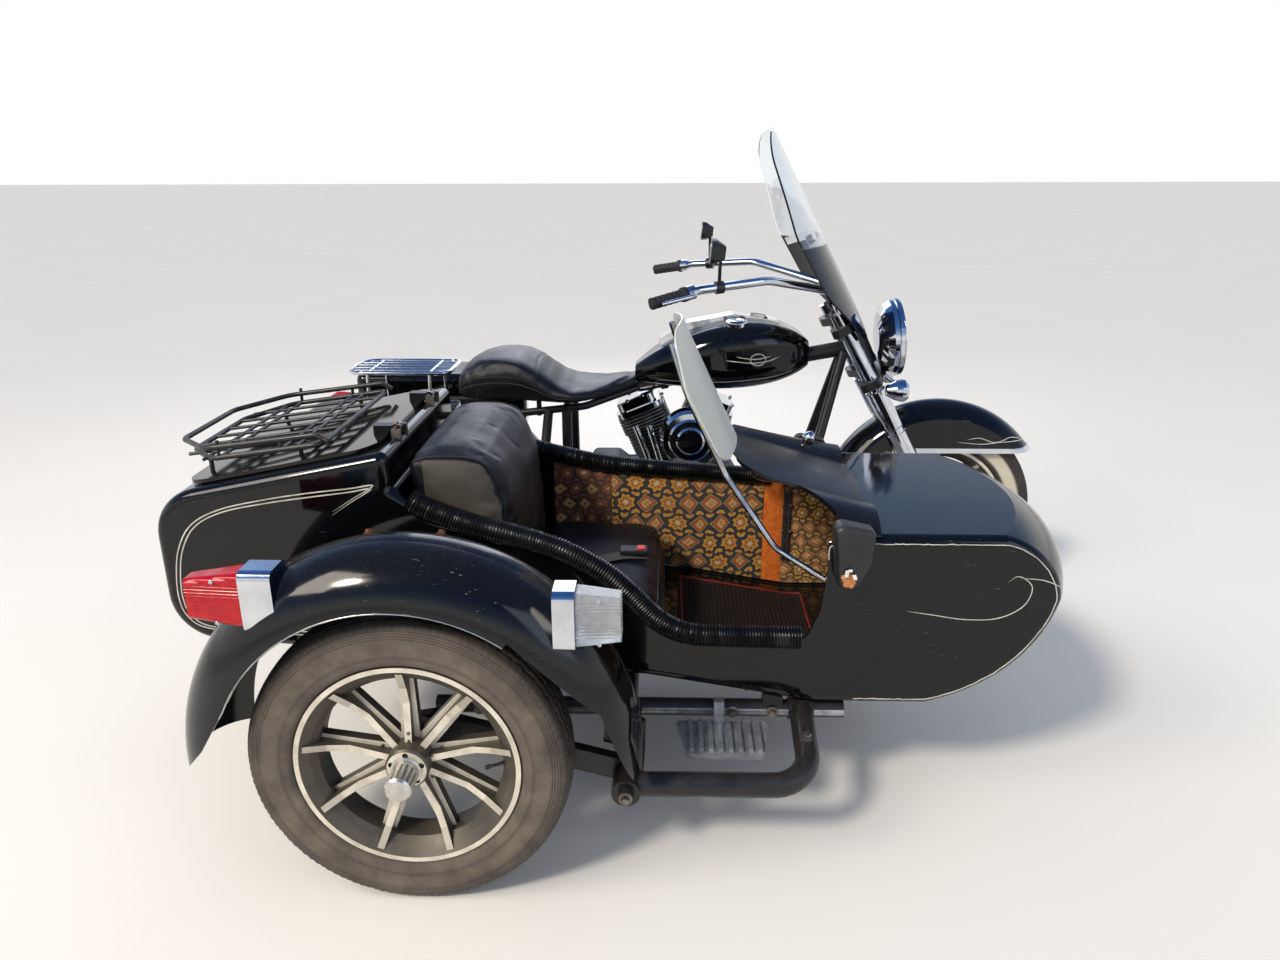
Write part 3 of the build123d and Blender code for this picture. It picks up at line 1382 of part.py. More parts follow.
def luggage_rack():
    """Black tubular rack: a low frame with slats and a raised guard rail on posts."""
    x0, x1 = RACK_X
    y0, y1 = RACK_Y
    low = RACK_Z - 34

    def level(x):
        return low + (x - x0) * 0.14

    frame = tube(
        [
            (x1, BODY_MID_Y, level(x1)),
            (x1, y0, level(x1)),
            (x0 + 110, y0, level(x0 + 110)),
            (x0 + 24, y0 + 110, level(x0 + 24)),
        ]
        + [
            (x0 + 24, y1 - 110, level(x0 + 24)),
            (x0 + 110, y1, level(x0 + 110)),
            (x1, y1, level(x1)),
            (x1, BODY_MID_Y + 1, level(x1)),
        ],
        RACK_RADIUS,
        [20, 40, 40, 40, 40, 20],
    )
    rail = tube(
        [
            (x1 + 14, y0, level(x1) + 6), (x1 - 10, y0, RACK_Z + 36), (x0 + 100, y0, RACK_Z + 4),
            (x0, y0 + 110, RACK_Z - 8),
        ]
        + [
            (x0, y1 - 110, RACK_Z - 8), (x0 + 100, y1, RACK_Z + 4), (x1 - 10, y1, RACK_Z + 36),
            (x1 + 14, y1, level(x1) + 6),
        ],
        RACK_RADIUS,
        [22, 60, 40, 40, 60, 22],
    )
    rack = frame + rail
    count = 6
    for k in range(count):
        y = y0 + (k + 1) * (y1 - y0) / (count + 1)
        rack = rack + rod((x1, y, level(x1)), (x0 + 30, y, level(x0 + 30)), 4)
    for x in (x0 + 130, x1 - 90):
        rack = rack + rod((x, y0, level(x)), (x, y1, level(x)), 4)
        for y in (y0, y1):
            rack = rack + rod((x, y, level(x)), (x, y, RACK_Z + 22), 4)
    for x in (x0 + 96, x1 - 60):
        for y in (y0 + 30, y1 - 30):
            rack = rack + rod((x, y, deck_height(x)), (x, y, level(x)), 5)
        rack = rack + rod((x, y0, level(x)), (x, y1, level(x)), 4)
    return rack - lid_slab(-60, LID_LIFT + LID_THICKNESS + SEAT_GAP)


SEAT_BASE_Z = 418
CABIN_Y = (BODY_OUTER_Y + BODY_WALL + 42, BODY_INNER_Y - BODY_WALL - 44)  # across the cushions


def back_cushion():
    """Thick backrest ahead of the bulkhead, rounded at the top."""
    low = SEAT_BASE_Z + SEAT_GAP
    side = outline(
        [(150, 842), (334, 850), (392, 700), (396, low), (252, low), (190, 660)], [30, 60, 160, 20, 10, 200]
    )
    return side_plate(side, *CABIN_Y)


def seat_cushion():
    """Bench cushion on its raised base."""
    low = SEAT_BASE_Z + SEAT_GAP
    side = outline([(400, low), (400, 512), (560, 520), (716, 500), (722, low)], [10, 10, 200, 36, 14])
    return side_plate(side, *CABIN_Y)


def seat_base():
    """Box under the seat cushion, standing on the floor."""
    side = block((256, 716), CABIN_Y, (300, SEAT_BASE_Z))
    return side & side_plate(body_profile(BODY_WALL + SEAT_GAP), -1300, -400)


def floor_mat():
    """Perforated rubber mat in the footwell."""
    gap = BODY_WALL + SEAT_GAP
    layer = side_plate(body_profile(gap) - body_profile(gap + 7), CABIN_Y[0] + 44, CABIN_Y[1] - 20)
    return layer & block((748, 1100), (-1300, -400), (250, 420))


TOE_BOARD_X = 1296
CARPET_THICKNESS = 6


def carpet_lining():
    """Carpet on the inner side wall and across the footwell's front."""
    gap = BODY_WALL + SEAT_GAP
    y = BODY_INNER_Y - gap
    face = outline(
        [
            (404, 300), (404, 660), (560, 626), (1000, 596), (1066, 660), (TOE_BOARD_X - 1, 660),
            (TOE_BOARD_X - 1, 250),
        ]
    )
    wall = side_plate(face, y - CARPET_THICKNESS, y) & side_plate(body_profile(gap), -1300, -400)
    floor = FLOOR_FRONT_Z + gap
    front = block(
        (TOE_BOARD_X, TOE_BOARD_X + CARPET_THICKNESS),
        (BODY_OUTER_Y + gap + 16, y - 16),
        (floor, HOOD_Z - gap),
    )
    return (wall + front) & rounded_form(gap)


def rim_hose(route, y, bends):
    """A corrugated hose split along its length and pushed over a panel's edge."""
    return tube([(x, y, z) for x, z in route], HOSE_RADIUS, bends)


def far_hose():
    """The hose along the inner rim."""
    y = BODY_INNER_Y - BODY_WALL / 2
    hose = rim_hose([(246, 727), (370, 692), (560, 649), (998, 616)], y, [200, 200])
    inner = y - BODY_WALL / 2 - CARPET_THICKNESS - 2 * SEAT_GAP
    return hose - side_plate(body_profile(-SEAT_GAP), inner, y + BODY_WALL / 2 + SEAT_GAP)


def near_hose():
    """The hose along the outer rim, down to the doorway sill."""
    y = BODY_OUTER_Y + BODY_WALL / 2
    hose = rim_hose(
        [(178, 768), (226, 737), (370, 692), (500, 656), (602, 592), (688, 500), (776, 456), (1016, 452)],
        y,
        [120, 200, 200, 110, 110, 90],
    )
    slab = side_plate(body_profile(-SEAT_GAP), y - BODY_WALL / 2 - SEAT_GAP, y + BODY_WALL / 2 + SEAT_GAP)
    cut = outline(
        [(x, z + SEAT_GAP) for x, z in NEAR_RIM] + [(1052, 521), (1062, 620), (1056, 760), (480, 760)],
        [120, 60, 60, 60, 24, 60, 60, 4, 4],
    )
    return hose - (slab - side_plate(cut, -1300, -1100))


def fender_section(grow):
    """The fender's crowned section as radius against offset from the wheel's plane."""
    r = TYRE_RADIUS
    near = ThreePointArc((r + 32, -95 - grow), (r + 98 + grow, -66 - grow), (r + 132 + grow, 6))
    far = ThreePointArc((r + 132 + grow, 6), (r + 120 + grow, 80 + grow), (r + 52, 122 + grow))
    return near, far


def fender_form(grow):
    """The fender's whole outer form, filled in, grown by an amount."""
    near, far = fender_section(grow)
    low = TYRE_RADIUS - 20
    floor = Polyline(far @ 1, (low, 122 + grow), (low, -95 - grow), near @ 0)
    return spin_face(make_face([near, far, *floor.edges()]), SIDECAR_AXLE, *FENDER_ARC)


def axle_polar(radius, angle):
    """A point in X and Z about the sidecar axle."""
    turn = radians(angle)
    return (SIDECAR_AXLE[0] + radius * cos(turn), SIDECAR_AXLE[2] + radius * sin(turn))


FENDER_ARC = (-8, 189)  # start and sweep, in degrees up from straight ahead
FENDER_THICKNESS = 4


def sidecar_fender():
    """Crowned fender round the sidecar wheel, its outer lip tapering to both tips, with two stays."""
    near, far = fender_section(0)
    inner_near, inner_far = fender_section(-FENDER_THICKNESS)
    ends = [Line(near @ 0, inner_near @ 0), Line(far @ 1, inner_far @ 1)]
    shell = spin_face(make_face([near, far, inner_near, inner_far, *ends]), SIDECAR_AXLE, *FENDER_ARC)
    # radius and angle of the lip where it runs out to each tip
    front_lip = [(300, 56), (366, 54), (404, 20), (450, -7), (456, -12), (300, -14)]
    rear_lip = [(300, 150), (352, 152), (384, 172), (440, 182), (456, 186), (300, 190)]
    for lip in (front_lip, rear_lip):
        wedge = outline([axle_polar(radius, angle) for radius, angle in lip])
        shell = shell - side_plate(wedge, SIDECAR_AXLE[1] - 130, SIDECAR_AXLE[1] + 4)
    for angle in (62, 118):
        x, z = axle_polar(378, angle)
        shell = shell + rod((x, SIDECAR_AXLE[1] + 112, z), (x, BODY_OUTER_Y + 8, z - 24), 9)
    return shell - block((0, 800), (BODY_OUTER_Y - SEAT_GAP, BODY_OUTER_Y + 60), (400, 800))


def fender_lamp_base(x_span, z_span):
    """Bright housing of a fender lamp, seated on the fender's outer slope."""
    y = SIDECAR_AXLE[1]
    housing = block(x_span, (y - 78, y - 2), z_span)
    housing = fillet(housing.edges().filter_by(Axis.X), 16)
    return housing - fender_form(SEAT_GAP)


FRONT_LAMP_X = 556  # bezel face of the clear lamp
REAR_LAMP_X = -46  # bezel face of the red lamp


def fender_lamp_bases():
    """The two housings: clear lamp at the front, red lamp at the rear."""
    front = fender_lamp_base((FRONT_LAMP_X - 40, FRONT_LAMP_X), (588, 706))
    rear = fender_lamp_base((REAR_LAMP_X, REAR_LAMP_X + 60), (620, 742))
    return front + rear


def lamp_lens(x_span, z_low, z_high, taper):
    """A moulded lens block, smaller at its outer face."""
    y = SIDECAR_AXLE[1] - 40
    start, end = x_span
    z = (z_low + z_high) / 2
    wide = RectangleRounded(66, z_high - z_low, 14)
    narrow = RectangleRounded(66 * taper, (z_high - z_low) * taper, 12)
    side = 1 if end > start else -1
    plane = Plane(origin=(start, y, z), x_dir=(0, 1, 0), z_dir=(side, 0, 0))
    return loft([plane * wide, plane.offset(abs(end - start)) * narrow])


def front_marker_lens():
    """Clear lens of the sidecar's front lamp."""
    return lamp_lens((FRONT_LAMP_X + SEAT_GAP, FRONT_LAMP_X + 84), 594, 700, 0.82) - fender_form(SEAT_GAP)


def rear_marker_lens():
    """Red lens of the sidecar's rear lamp."""
    return lamp_lens((REAR_LAMP_X - SEAT_GAP, REAR_LAMP_X - 108), 626, 736, 0.72) - fender_form(SEAT_GAP)


def scuttle_lamp_pods():
    """Moulded lamp pods low on both ends of the scuttle; the outer one is an empty socket."""
    side = outline([(1060, 736), (1150, 716), (1146, 642), (1120, 592), (1076, 592)], [20, 16, 30, 12, 12])
    outer = BODY_OUTER_Y - SEAT_GAP
    pod = side_plate(side, outer - 44, outer)
    pod = fillet(pod.faces().sort_by(Axis.Y)[0].edges(), 14)
    socket = block((1086, 1112), (outer - 34, outer - 8), (560, 636))
    other = mirror(pod, about=Plane(origin=(0, BODY_MID_Y, 0), z_dir=(0, 1, 0)))
    return (pod - socket) + other


def sidecar_screen_plane(shift=0):
    """The small screen's own plane: x across to the left, y up along the pane."""
    lean = radians(25)
    normal = Vector(cos(lean), 0, sin(lean))
    return Plane(origin=Vector(822, BODY_MID_Y, 952) + normal * shift, x_dir=(0, 1, 0), z_dir=normal)


SMALL_SCREEN_RADIUS = 400
SMALL_SCREEN_THICKNESS = 4


def sidecar_screen_pane():
    """Milky curved sheet with rounded corners."""
    plane = sidecar_screen_plane(-SMALL_SCREEN_RADIUS)
    up = Plane(origin=plane.origin, x_dir=(0, 1, 0), z_dir=plane.y_dir)
    outer = extrude(up * Circle(SMALL_SCREEN_RADIUS), amount=260, both=True)
    inner = extrude(up * Circle(SMALL_SCREEN_RADIUS - SMALL_SCREEN_THICKNESS), amount=270, both=True)
    face = outline(
        [(-176, -146), (176, -146), (188, 40), (140, 162), (-140, 162), (-188, 40)],
        [40, 40, 90, 60, 60, 90],
    )
    return (outer - inner) & extrude(sidecar_screen_plane(-90) * face, amount=110)


def small_screen_edge(across, up):
    """A point just behind the pane, at local distances across and up it."""
    radius = SMALL_SCREEN_RADIUS - SMALL_SCREEN_THICKNESS - SEAT_GAP - SCREEN_TUBE_RADIUS
    behind = SMALL_SCREEN_RADIUS - sqrt(radius**2 - across**2)
    return tuple(sidecar_screen_plane().from_local_coords((across, up, -behind)))


SCREEN_TUBE_RADIUS = 7


def sidecar_screen_frame():
    """Two bent tubes behind the screen's side edges, running down to pads on the cockpit's walls."""
    near = [(1080, -1176, 572), (960, -1104, 626)]
    near += [small_screen_edge(-168, -170), small_screen_edge(-172, 30), small_screen_edge(-140, 140)]
    far = [(1046, -601, 606), (960, -664, 640)]
    far += [small_screen_edge(168, -170), small_screen_edge(172, 30), small_screen_edge(140, 140)]
    pads = block(
        (1068, 1092), (-1181.7, -1172), (560, 584)
    ) + block((1034, 1058), (-606, -594.6), (594, 618))
    frame = tube(near, SCREEN_TUBE_RADIUS, [60, 60, 200]) + tube(far, SCREEN_TUBE_RADIUS, [50, 60, 200])
    return frame + pads


# Sidecar chassis

CHASSIS_RAIL_Z = 262
CHASSIS_RAIL_RADIUS = 20
INNER_RAIL_Y = -620
OUTER_RAIL_Y = -1165
HOOP_RADIUS = 26
ARM_PIVOT = (640, 206)  # x, z
HOOP_Y = -1370
SWING_Y = (-1340, -1316)


def inner_rail():
    """Straight tube under the sidecar's inner side."""
    return rod(
        (-90, INNER_RAIL_Y, CHASSIS_RAIL_Z), (1220, INNER_RAIL_Y, CHASSIS_RAIL_Z), CHASSIS_RAIL_RADIUS
    )


def outer_rail():
    """Tube under the outer side, with the upright that carries the damper."""
    rail = rod(
        (200, OUTER_RAIL_Y, CHASSIS_RAIL_Z), (1120, OUTER_RAIL_Y, CHASSIS_RAIL_Z), CHASSIS_RAIL_RADIUS
    )
    tower = tube([(430, OUTER_RAIL_Y - 4, CHASSIS_RAIL_Z), (430, -1250, 300), (430, -1250, 548)], 15, 40)
    return rail + tower


def cross_tubes():
    """Three tubes between the rails."""
    tubes = Part()
    for x in (250, 640, 1090):
        tubes = tubes + rod(
            (x, INNER_RAIL_Y, CHASSIS_RAIL_Z), (x, OUTER_RAIL_Y, CHASSIS_RAIL_Z), CHASSIS_RAIL_RADIUS - 3
        )
    for y in (INNER_RAIL_Y, OUTER_RAIL_Y):
        tubes = tubes - rod(
            (-200, y, CHASSIS_RAIL_Z), (1300, y, CHASSIS_RAIL_Z), CHASSIS_RAIL_RADIUS + SEAT_GAP
        )
    return tubes


def body_mounts():
    """Four blocks that carry the shell on the cross tubes' ends."""
    mounts = Part()
    for x in (280, 960):
        for y in (INNER_RAIL_Y, OUTER_RAIL_Y):
            mounts = mounts + block((x - 22, x + 22), (y - 17, y + 17), (CHASSIS_RAIL_Z, 480))
    for y in (INNER_RAIL_Y, OUTER_RAIL_Y):
        mounts = mounts - rod(
            (-200, y, CHASSIS_RAIL_Z), (1300, y, CHASSIS_RAIL_Z), CHASSIS_RAIL_RADIUS + SEAT_GAP
        )
    return mounts - side_plate(body_profile(-SEAT_GAP), -1300, -400)


def side_hoop():
    """Thick bent tube from the outer rail round to the swing arm's pivot."""
    x, z = ARM_PIVOT
    hoop = tube(
        [(1024, OUTER_RAIL_Y - 10, CHASSIS_RAIL_Z + 2), (1024, HOOP_Y, z + 2), (x, HOOP_Y, z)],
        HOOP_RADIUS,
        80,
    )
    collar = rod((996, OUTER_RAIL_Y, CHASSIS_RAIL_Z), (1052, OUTER_RAIL_Y, CHASSIS_RAIL_Z), 25)
    boss = rod((x, HOOP_Y - 34, z), (x, SWING_Y[0] - 3, z), 30)
    bolt = rod((x, HOOP_Y - 50, z), (x, HOOP_Y - 34, z), 17)
    pin = rod((x, SWING_Y[0] - 10, z), (x, -1296, z), 15)
    plate = side_plate(
        outline([(x - 34, z - 30), (x + 34, z - 30), (x + 40, 318), (x - 10, 318)], [14, 14, 8, 8]),
        SWING_Y[1] + 6,
        -1296,
    )
    link = rod((x + 14, -1300, 290), (x + 14, OUTER_RAIL_Y, CHASSIS_RAIL_Z + 8), 14)
    hoop = hoop + collar + boss + bolt + pin + plate + link
    return hoop - rod(
        (100, OUTER_RAIL_Y, CHASSIS_RAIL_Z),
        (1300, OUTER_RAIL_Y, CHASSIS_RAIL_Z),
        CHASSIS_RAIL_RADIUS + SEAT_GAP,
    )


def swing_arm():
    """Trailing arm from the pivot to the stub axle."""
    x, z = ARM_PIVOT
    face = outline(
        [(x + 26, z - 24), (x + 20, z + 28), (236, 348), (192, 340), (192, 300), (236, 292)],
        [18, 22, 20, 14, 14, 20],
    )
    arm = side_plate(face, *SWING_Y) - rod((x, -1400, z), (x, -1250, z), 15 + SEAT_GAP)
    stub = rod(
        (SIDECAR_LEAD, SWING_Y[0] + 2, TYRE_RADIUS),
        (SIDECAR_LEAD, -TRACK - 38, TYRE_RADIUS),
        AXLE_RADIUS - 0.1,
    )
    lug = block((378, 414), (SWING_Y[1] - 2, -1268), (284, 300))
    return arm + stub + lug


def damper():
    """Spring and damper between the swing arm's lug and the upright."""
    foot = Vector(396, -1290, 301)
    top = Vector(426, -1284, 520)
    along = (top - foot).normalized()
    body = rod(tuple(foot), tuple(foot + along * 216), 9) + rod(
        tuple(foot + along * 30), tuple(foot + along * 180), 18
    )
    eye = rod((428, -1300, 524), (428, -1265.3, 524), 14)
    return body + eye


def step_plate():
    """Cast step with ribs, hung from the outer rail."""
    y_in = OUTER_RAIL_Y - CHASSIS_RAIL_RADIUS - 12
    plate = plan_plate(
        outline([(742, y_in), (950, y_in), (930, -1322), (768, -1322)], [12, 12, 16, 16]), 234, 246
    )
    for k in range(8):
        x = 772 + k * 21
        plate = plate + block((x, x + 9), (-1312, y_in - 6), (246, 254))
    bracket = block((828, 850), (y_in - 10, OUTER_RAIL_Y - CHASSIS_RAIL_RADIUS - SEAT_GAP), (234, 300))
    return plate + bracket


def mount_arms():
    """Four struts that tie the sidecar's inner rail to the motorcycle's frame."""
    # chassis end x, y, z; motorcycle end x, y, z
    rows = (
        ((470, INNER_RAIL_Y, CHASSIS_RAIL_Z), (470, -RAIL_Y, RAIL_Z)),
        ((1140, INNER_RAIL_Y, CHASSIS_RAIL_Z), (1078, -RAIL_Y, RAIL_Z)),
        ((340, INNER_RAIL_Y, CHASSIS_RAIL_Z + 6), (340, -114, 674)),
        ((1186, INNER_RAIL_Y, CHASSIS_RAIL_Z - 8), (1236, -84, 520)),
    )
    arms = Part()
    for start, end in rows:
        arms = arms + rod(start, end, 15)
    rail = rod(
        (-200, INNER_RAIL_Y, CHASSIS_RAIL_Z),
        (1300, INNER_RAIL_Y, CHASSIS_RAIL_Z),
        CHASSIS_RAIL_RADIUS + SEAT_GAP,
    )
    return arms - rail - frame_tubes(SEAT_GAP)


# Nodes


def rear_tyre():
    """Tyre of the driven wheel."""
    return tyre(REAR_AXLE)


def rear_wheel():
    """Driven wheel's casting with its brake disc and belt pulley."""
    return wheel_casting(REAR_AXLE, -70, 70) + brake_disc(REAR_AXLE, -1) + rear_pulley()


def front_tyre():
    """Tyre of the steered wheel."""
    return tyre(FRONT_AXLE)


def front_wheel():
    """Steered wheel's casting with its two brake discs."""
    return wheel_casting(FRONT_AXLE, -70, 70) + brake_disc(FRONT_AXLE, -1) + brake_disc(FRONT_AXLE, 1)


def sidecar_tyre():
    """Tyre of the sidecar's wheel."""
    return tyre(SIDECAR_AXLE)


def sidecar_wheel():
    """Sidecar wheel's casting with its dust cap."""
    return wheel_casting(SIDECAR_AXLE, -40, 70) + dust_cap()


def gather(*pieces):
    """Several separate pieces as one compound, left unjoined."""
    return Compound([solid for piece in pieces for solid in piece.solids()])


def front_fork():
    """Both fork legs with their sleeves, the fender's brackets and the axle."""
    return gather(fork_leg(-1), fork_leg(1), fork_shrouds(), fender_mounts(), front_axle())


def rocker_set():
    """Rocker covers and pushrod tubes."""
    return gather(rocker_covers(), pushrod_tubes())


def engine_side_covers():
    """Cam cover on the right and chain cover on the left."""
    return gather(cam_cover(), primary_cover())


def exhausts():
    """Both silencers with their pipes."""
    return gather(exhaust_right(), exhaust_left())


def rear_arm():
    """Swing arm with the rear axle in it."""
    return gather(swingarm(), rear_axle())


def headlamp():
    """Headlamp bell on its bracket."""
    return headlamp_shell() + lamp_bracket()


def bar_assembly():
    """Handlebar and its two risers."""
    return gather(handlebar(), bar_risers())


def sidecar_chassis():
    """Rails, cross tubes, body mounts, wheel hoop, step and the struts to the motorcycle."""
    return gather(
        inner_rail(), outer_rail(), cross_tubes(), body_mounts(), side_hoop(), step_plate(), mount_arms()
    )


def sidecar_suspension():
    """Trailing arm with the stub axle, and its damper."""
    return gather(swing_arm(), damper())


def seat_cushions():
    """Backrest and bench."""
    return gather(back_cushion(), seat_cushion())


def cockpit_hoses():
    """Edge hoses on both rims."""
    return gather(far_hose(), near_hose())


def lamp_housings():
    """Housings of the fender lamps and the pods at the scuttle's ends."""
    return gather(fender_lamp_bases(), scuttle_lamp_pods())


NODES = {
    "frame": motorcycle_frame,
    "crankcase": crankcase,
    "cylinders": finned_cylinders,
    "rocker_covers": rocker_set,
    "engine_side_covers": engine_side_covers,
    "air_cleaner": air_cleaner,
    "exhausts": exhausts,
    "fuel_tank": fuel_tank,
    "tank_console": tank_console,
    "rider_seat": rider_seat,
    "rear_fender": rear_fender,
    "tail_lamp": tail_lamp,
    "pillion_rack": pillion_rack,
    "swingarm": rear_arm,
    "rear_shocks": rear_shocks,
    "drive_belt": drive_belt,
    "footboards": footboards,
    "saddlebag_tubs": saddlebag_tubs,
    "saddlebag_lid_right": saddlebag_lid_right,
    "saddlebag_lid_left": saddlebag_lid_left,
    "rear_tyre": rear_tyre,
    "rear_wheel": rear_wheel,
    "front_tyre": front_tyre,
    "front_wheel": front_wheel,
    "fork": front_fork,
    "triple_clamps": triple_clamps,
    "front_fender": front_fender,
    "front_fender_trim": front_fender_trim,
    "front_brakes": brake_calipers,
    "headlamp": headlamp,
    "headlamp_lens": headlamp_lens,
    "front_indicators": front_indicators,
    "windscreen": windscreen_pane,
    "windscreen_brace": windscreen_brace,
    "handlebar": bar_assembly,
    "handlebar_grips": handlebar_grips,
    "handlebar_controls": bar_controls,
    "mirrors": mirrors,
    "sidecar_chassis": sidecar_chassis,
    "sidecar_suspension": sidecar_suspension,
    "sidecar_tyre": sidecar_tyre,
    "sidecar_wheel": sidecar_wheel,
    "sidecar_fender": sidecar_fender,
    "lamp_housings": lamp_housings,
    "front_marker_lens": front_marker_lens,
    "rear_marker_lens": rear_marker_lens,
    "sidecar_tub": sidecar_tub,
    "cockpit_cowl": cowl,
    "boot_lid": boot_lid,
    "luggage_rack": luggage_rack,
    "boot_hinges": boot_hinges,
    "seat_cushions": seat_cushions,
    "seat_base": seat_base,
    "floor_mat": floor_mat,
    "carpet_lining": carpet_lining,
    "cockpit_hoses": cockpit_hoses,
    "sidecar_screen": sidecar_screen_pane,
    "sidecar_screen_frame": sidecar_screen_frame,
}


def main():
    """Builds every node and writes its STEP file, with the origin under the vehicle's middle."""
    os.makedirs("parts", exist_ok=True)
    for name, build in NODES.items():
        shape = Compound(build().solids()).moved(Location((-ORIGIN_X, -ORIGIN_Y, 0)))
        export_step(shape, f"parts/{name}.step")


if __name__ == "__main__":
    main()
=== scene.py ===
"""Looks of the sidecar motorcycle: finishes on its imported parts, and the detailed pieces added to them.

Lengths in the tables are millimetres from the point on the ground under the rear axle, on the
motorcycle's centre plane, with X forward and Z up. at() turns them into the frame's metres.
"""

import math

import bmesh
import bpy
from mathutils import Matrix, Vector, noise
from mathutils.bvhtree import BVHTree


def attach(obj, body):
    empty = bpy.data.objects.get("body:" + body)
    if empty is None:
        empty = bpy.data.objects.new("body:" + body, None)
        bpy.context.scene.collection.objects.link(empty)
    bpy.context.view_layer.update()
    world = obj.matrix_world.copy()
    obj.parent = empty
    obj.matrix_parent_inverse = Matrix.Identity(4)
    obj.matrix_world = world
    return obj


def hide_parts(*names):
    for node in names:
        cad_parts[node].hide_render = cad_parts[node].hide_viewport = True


bl_info = {
    "name": "Sidecar motorcycle",
    "version": (1, 0, 0),
    "blender": (4, 5, 0),
    "location": "View3D > Sidebar > Sidecar",
    "description": "Builds the finishes and the fine pieces of a sidecar motorcycle",
    "category": "Object",
}

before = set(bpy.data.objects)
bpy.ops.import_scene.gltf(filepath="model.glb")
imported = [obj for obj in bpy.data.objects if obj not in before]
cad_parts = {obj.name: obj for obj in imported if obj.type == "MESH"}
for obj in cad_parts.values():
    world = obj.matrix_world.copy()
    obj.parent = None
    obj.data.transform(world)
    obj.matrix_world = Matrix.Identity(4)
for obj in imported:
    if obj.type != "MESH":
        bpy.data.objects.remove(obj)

ORIGIN = Vector((761.5, -553, 0))
MM = 0.001
SIDECAR_AXLE = Vector((220, -1430, 320))
FRONT_AXLE = Vector((1613, 0, 320))
REAR_AXLE = Vector((0, 0, 320))
BODY_OUTER_Y = -1190
BODY_INNER_Y = -580
SCREEN_STRIP_Z = 1190  # height of the bright strip across the touring screen


# Colours and lengths that a user would change


class SidecarSizes(bpy.types.PropertyGroup):
    """Lengths of the fine pieces"""

    hose_pitch: bpy.props.FloatProperty(
        name="Hose ring pitch", description="Distance between the rings of the corrugated hoses",
        default=6.5 * MM, min=3 * MM, max=20 * MM, unit="LENGTH")
    tread_depth: bpy.props.FloatProperty(
        name="Tread depth", description="Depth of the grooves in the tyres",
        default=5 * MM, min=1 * MM, max=9 * MM, unit="LENGTH")
    stripe_width: bpy.props.FloatProperty(
        name="Stripe width", description="Width of the painted pinstripes",
        default=2.6 * MM, min=1 * MM, max=8 * MM, unit="LENGTH")
    piping: bpy.props.FloatProperty(
        name="Piping", description="Diameter of the welts along the cushions' seams",
        default=5 * MM, min=2 * MM, max=12 * MM, unit="LENGTH")


def linear(code):
    """An sRGB colour written as hex, as the linear colour that a socket takes."""
    parts = [int(code[i:i + 2], 16) / 255 for i in (1, 3, 5)]
    return (*[c / 12.92 if c <= 0.04045 else ((c + 0.055) / 1.055) ** 2.4 for c in parts], 1.0)


def colour_property(name, description, code):
    """A property that holds a colour, set at first to one written as hex."""
    return bpy.props.FloatVectorProperty(
        name=name, description=description, subtype="COLOR", size=4, min=0, max=1, default=linear(code))


class SidecarColours(bpy.types.PropertyGroup):
    """Colours of the main finishes"""

    enamel: colour_property("Enamel", "Gloss enamel of the bodywork", "#040507")
    stripe: colour_property("Stripe", "Painted pinstripes", "#D9D6CC")
    wheel: colour_property("Wheel", "Aged lacquer on the cast wheels", "#E2DBCB")
    vinyl: colour_property("Vinyl", "Vinyl of the passenger's seat", "#131419")
    leather: colour_property("Leather", "Leather of the rider's seat", "#0F1012")
    red_lens: colour_property("Red lens", "Acrylic of the tail lamps", "#C20016")


# Shapes


def at(point):
    """A point in millimetres, in the frame's metres."""
    return (Vector(point) - ORIGIN) * MM


class Shape:
    """The points and faces of a piece while it is made, in millimetres."""

    def __init__(self):
        self.points = []
        self.faces = []

    def loft(self, rings, loop=False):
        """Faces between rings that have equally many points, and over both ends where they don't meet."""
        base = len(self.points)
        count = len(rings)
        size = len(rings[0])
        for ring in rings:
            self.points.extend(Vector(p) for p in ring)
        for i in range(count if loop else count - 1):
            a = base + i * size
            b = base + (i + 1) % count * size
            for j in range(size):
                k = (j + 1) % size
                self.faces.append((a + j, a + k, b + k, b + j))
        if not loop:
            last = base + (count - 1) * size
            self.faces.append(tuple(base + j for j in reversed(range(size))))
            self.faces.append(tuple(last + j for j in range(size)))

    def tube(self, line, radius, sides, loop=False):
        """A round bar along a line; radius is a number or one number for each point."""
        radii = radius if hasattr(radius, "__len__") else [radius] * len(line)
        rings = []
        for (point, side, up), r in zip(transported(line, loop), radii):
            rings.append([point + (side * math.cos(a) + up * math.sin(a)) * r for a in turns(sides)])
        self.loft(rings, loop)

    def turned(self, profile, centre, axis, steps):
        """A closed or axis-to-axis profile of radius against height along an axis, turned about it."""
        centre = Vector(centre)
        axis = Vector(axis).normalized()
        side = axis.cross(Vector((0, 0, 1)) if abs(axis.z) < 0.9 else Vector((1, 0, 0))).normalized()
        up = axis.cross(side)
        rings = []
        for a in turns(steps):
            out = side * math.cos(a) + up * math.sin(a)
            rings.append([centre + out * r + axis * h for r, h in profile])
        self.loft(rings, loop=True)

    def plate(self, outline, thickness, direction, bevel):
        """A flat plate: an outline in space, thickened along a direction, with its edges eased by a bevel."""
        direction = Vector(direction).normalized()
        points = [Vector(p) for p in outline]
        middle = sum(points, Vector()) / len(points)

        def ring(shift, ease):
            """The outline moved along the direction, and drawn in towards its middle."""
            return [p + direction * shift + (middle - p).normalized() * ease for p in points]

        self.loft([ring(0, bevel), ring(bevel, 0), ring(thickness - bevel, 0), ring(thickness, bevel)])


def turns(count, start=0.0):
    """Equal angles round a circle."""
    return [start + math.tau * k / count for k in range(count)]


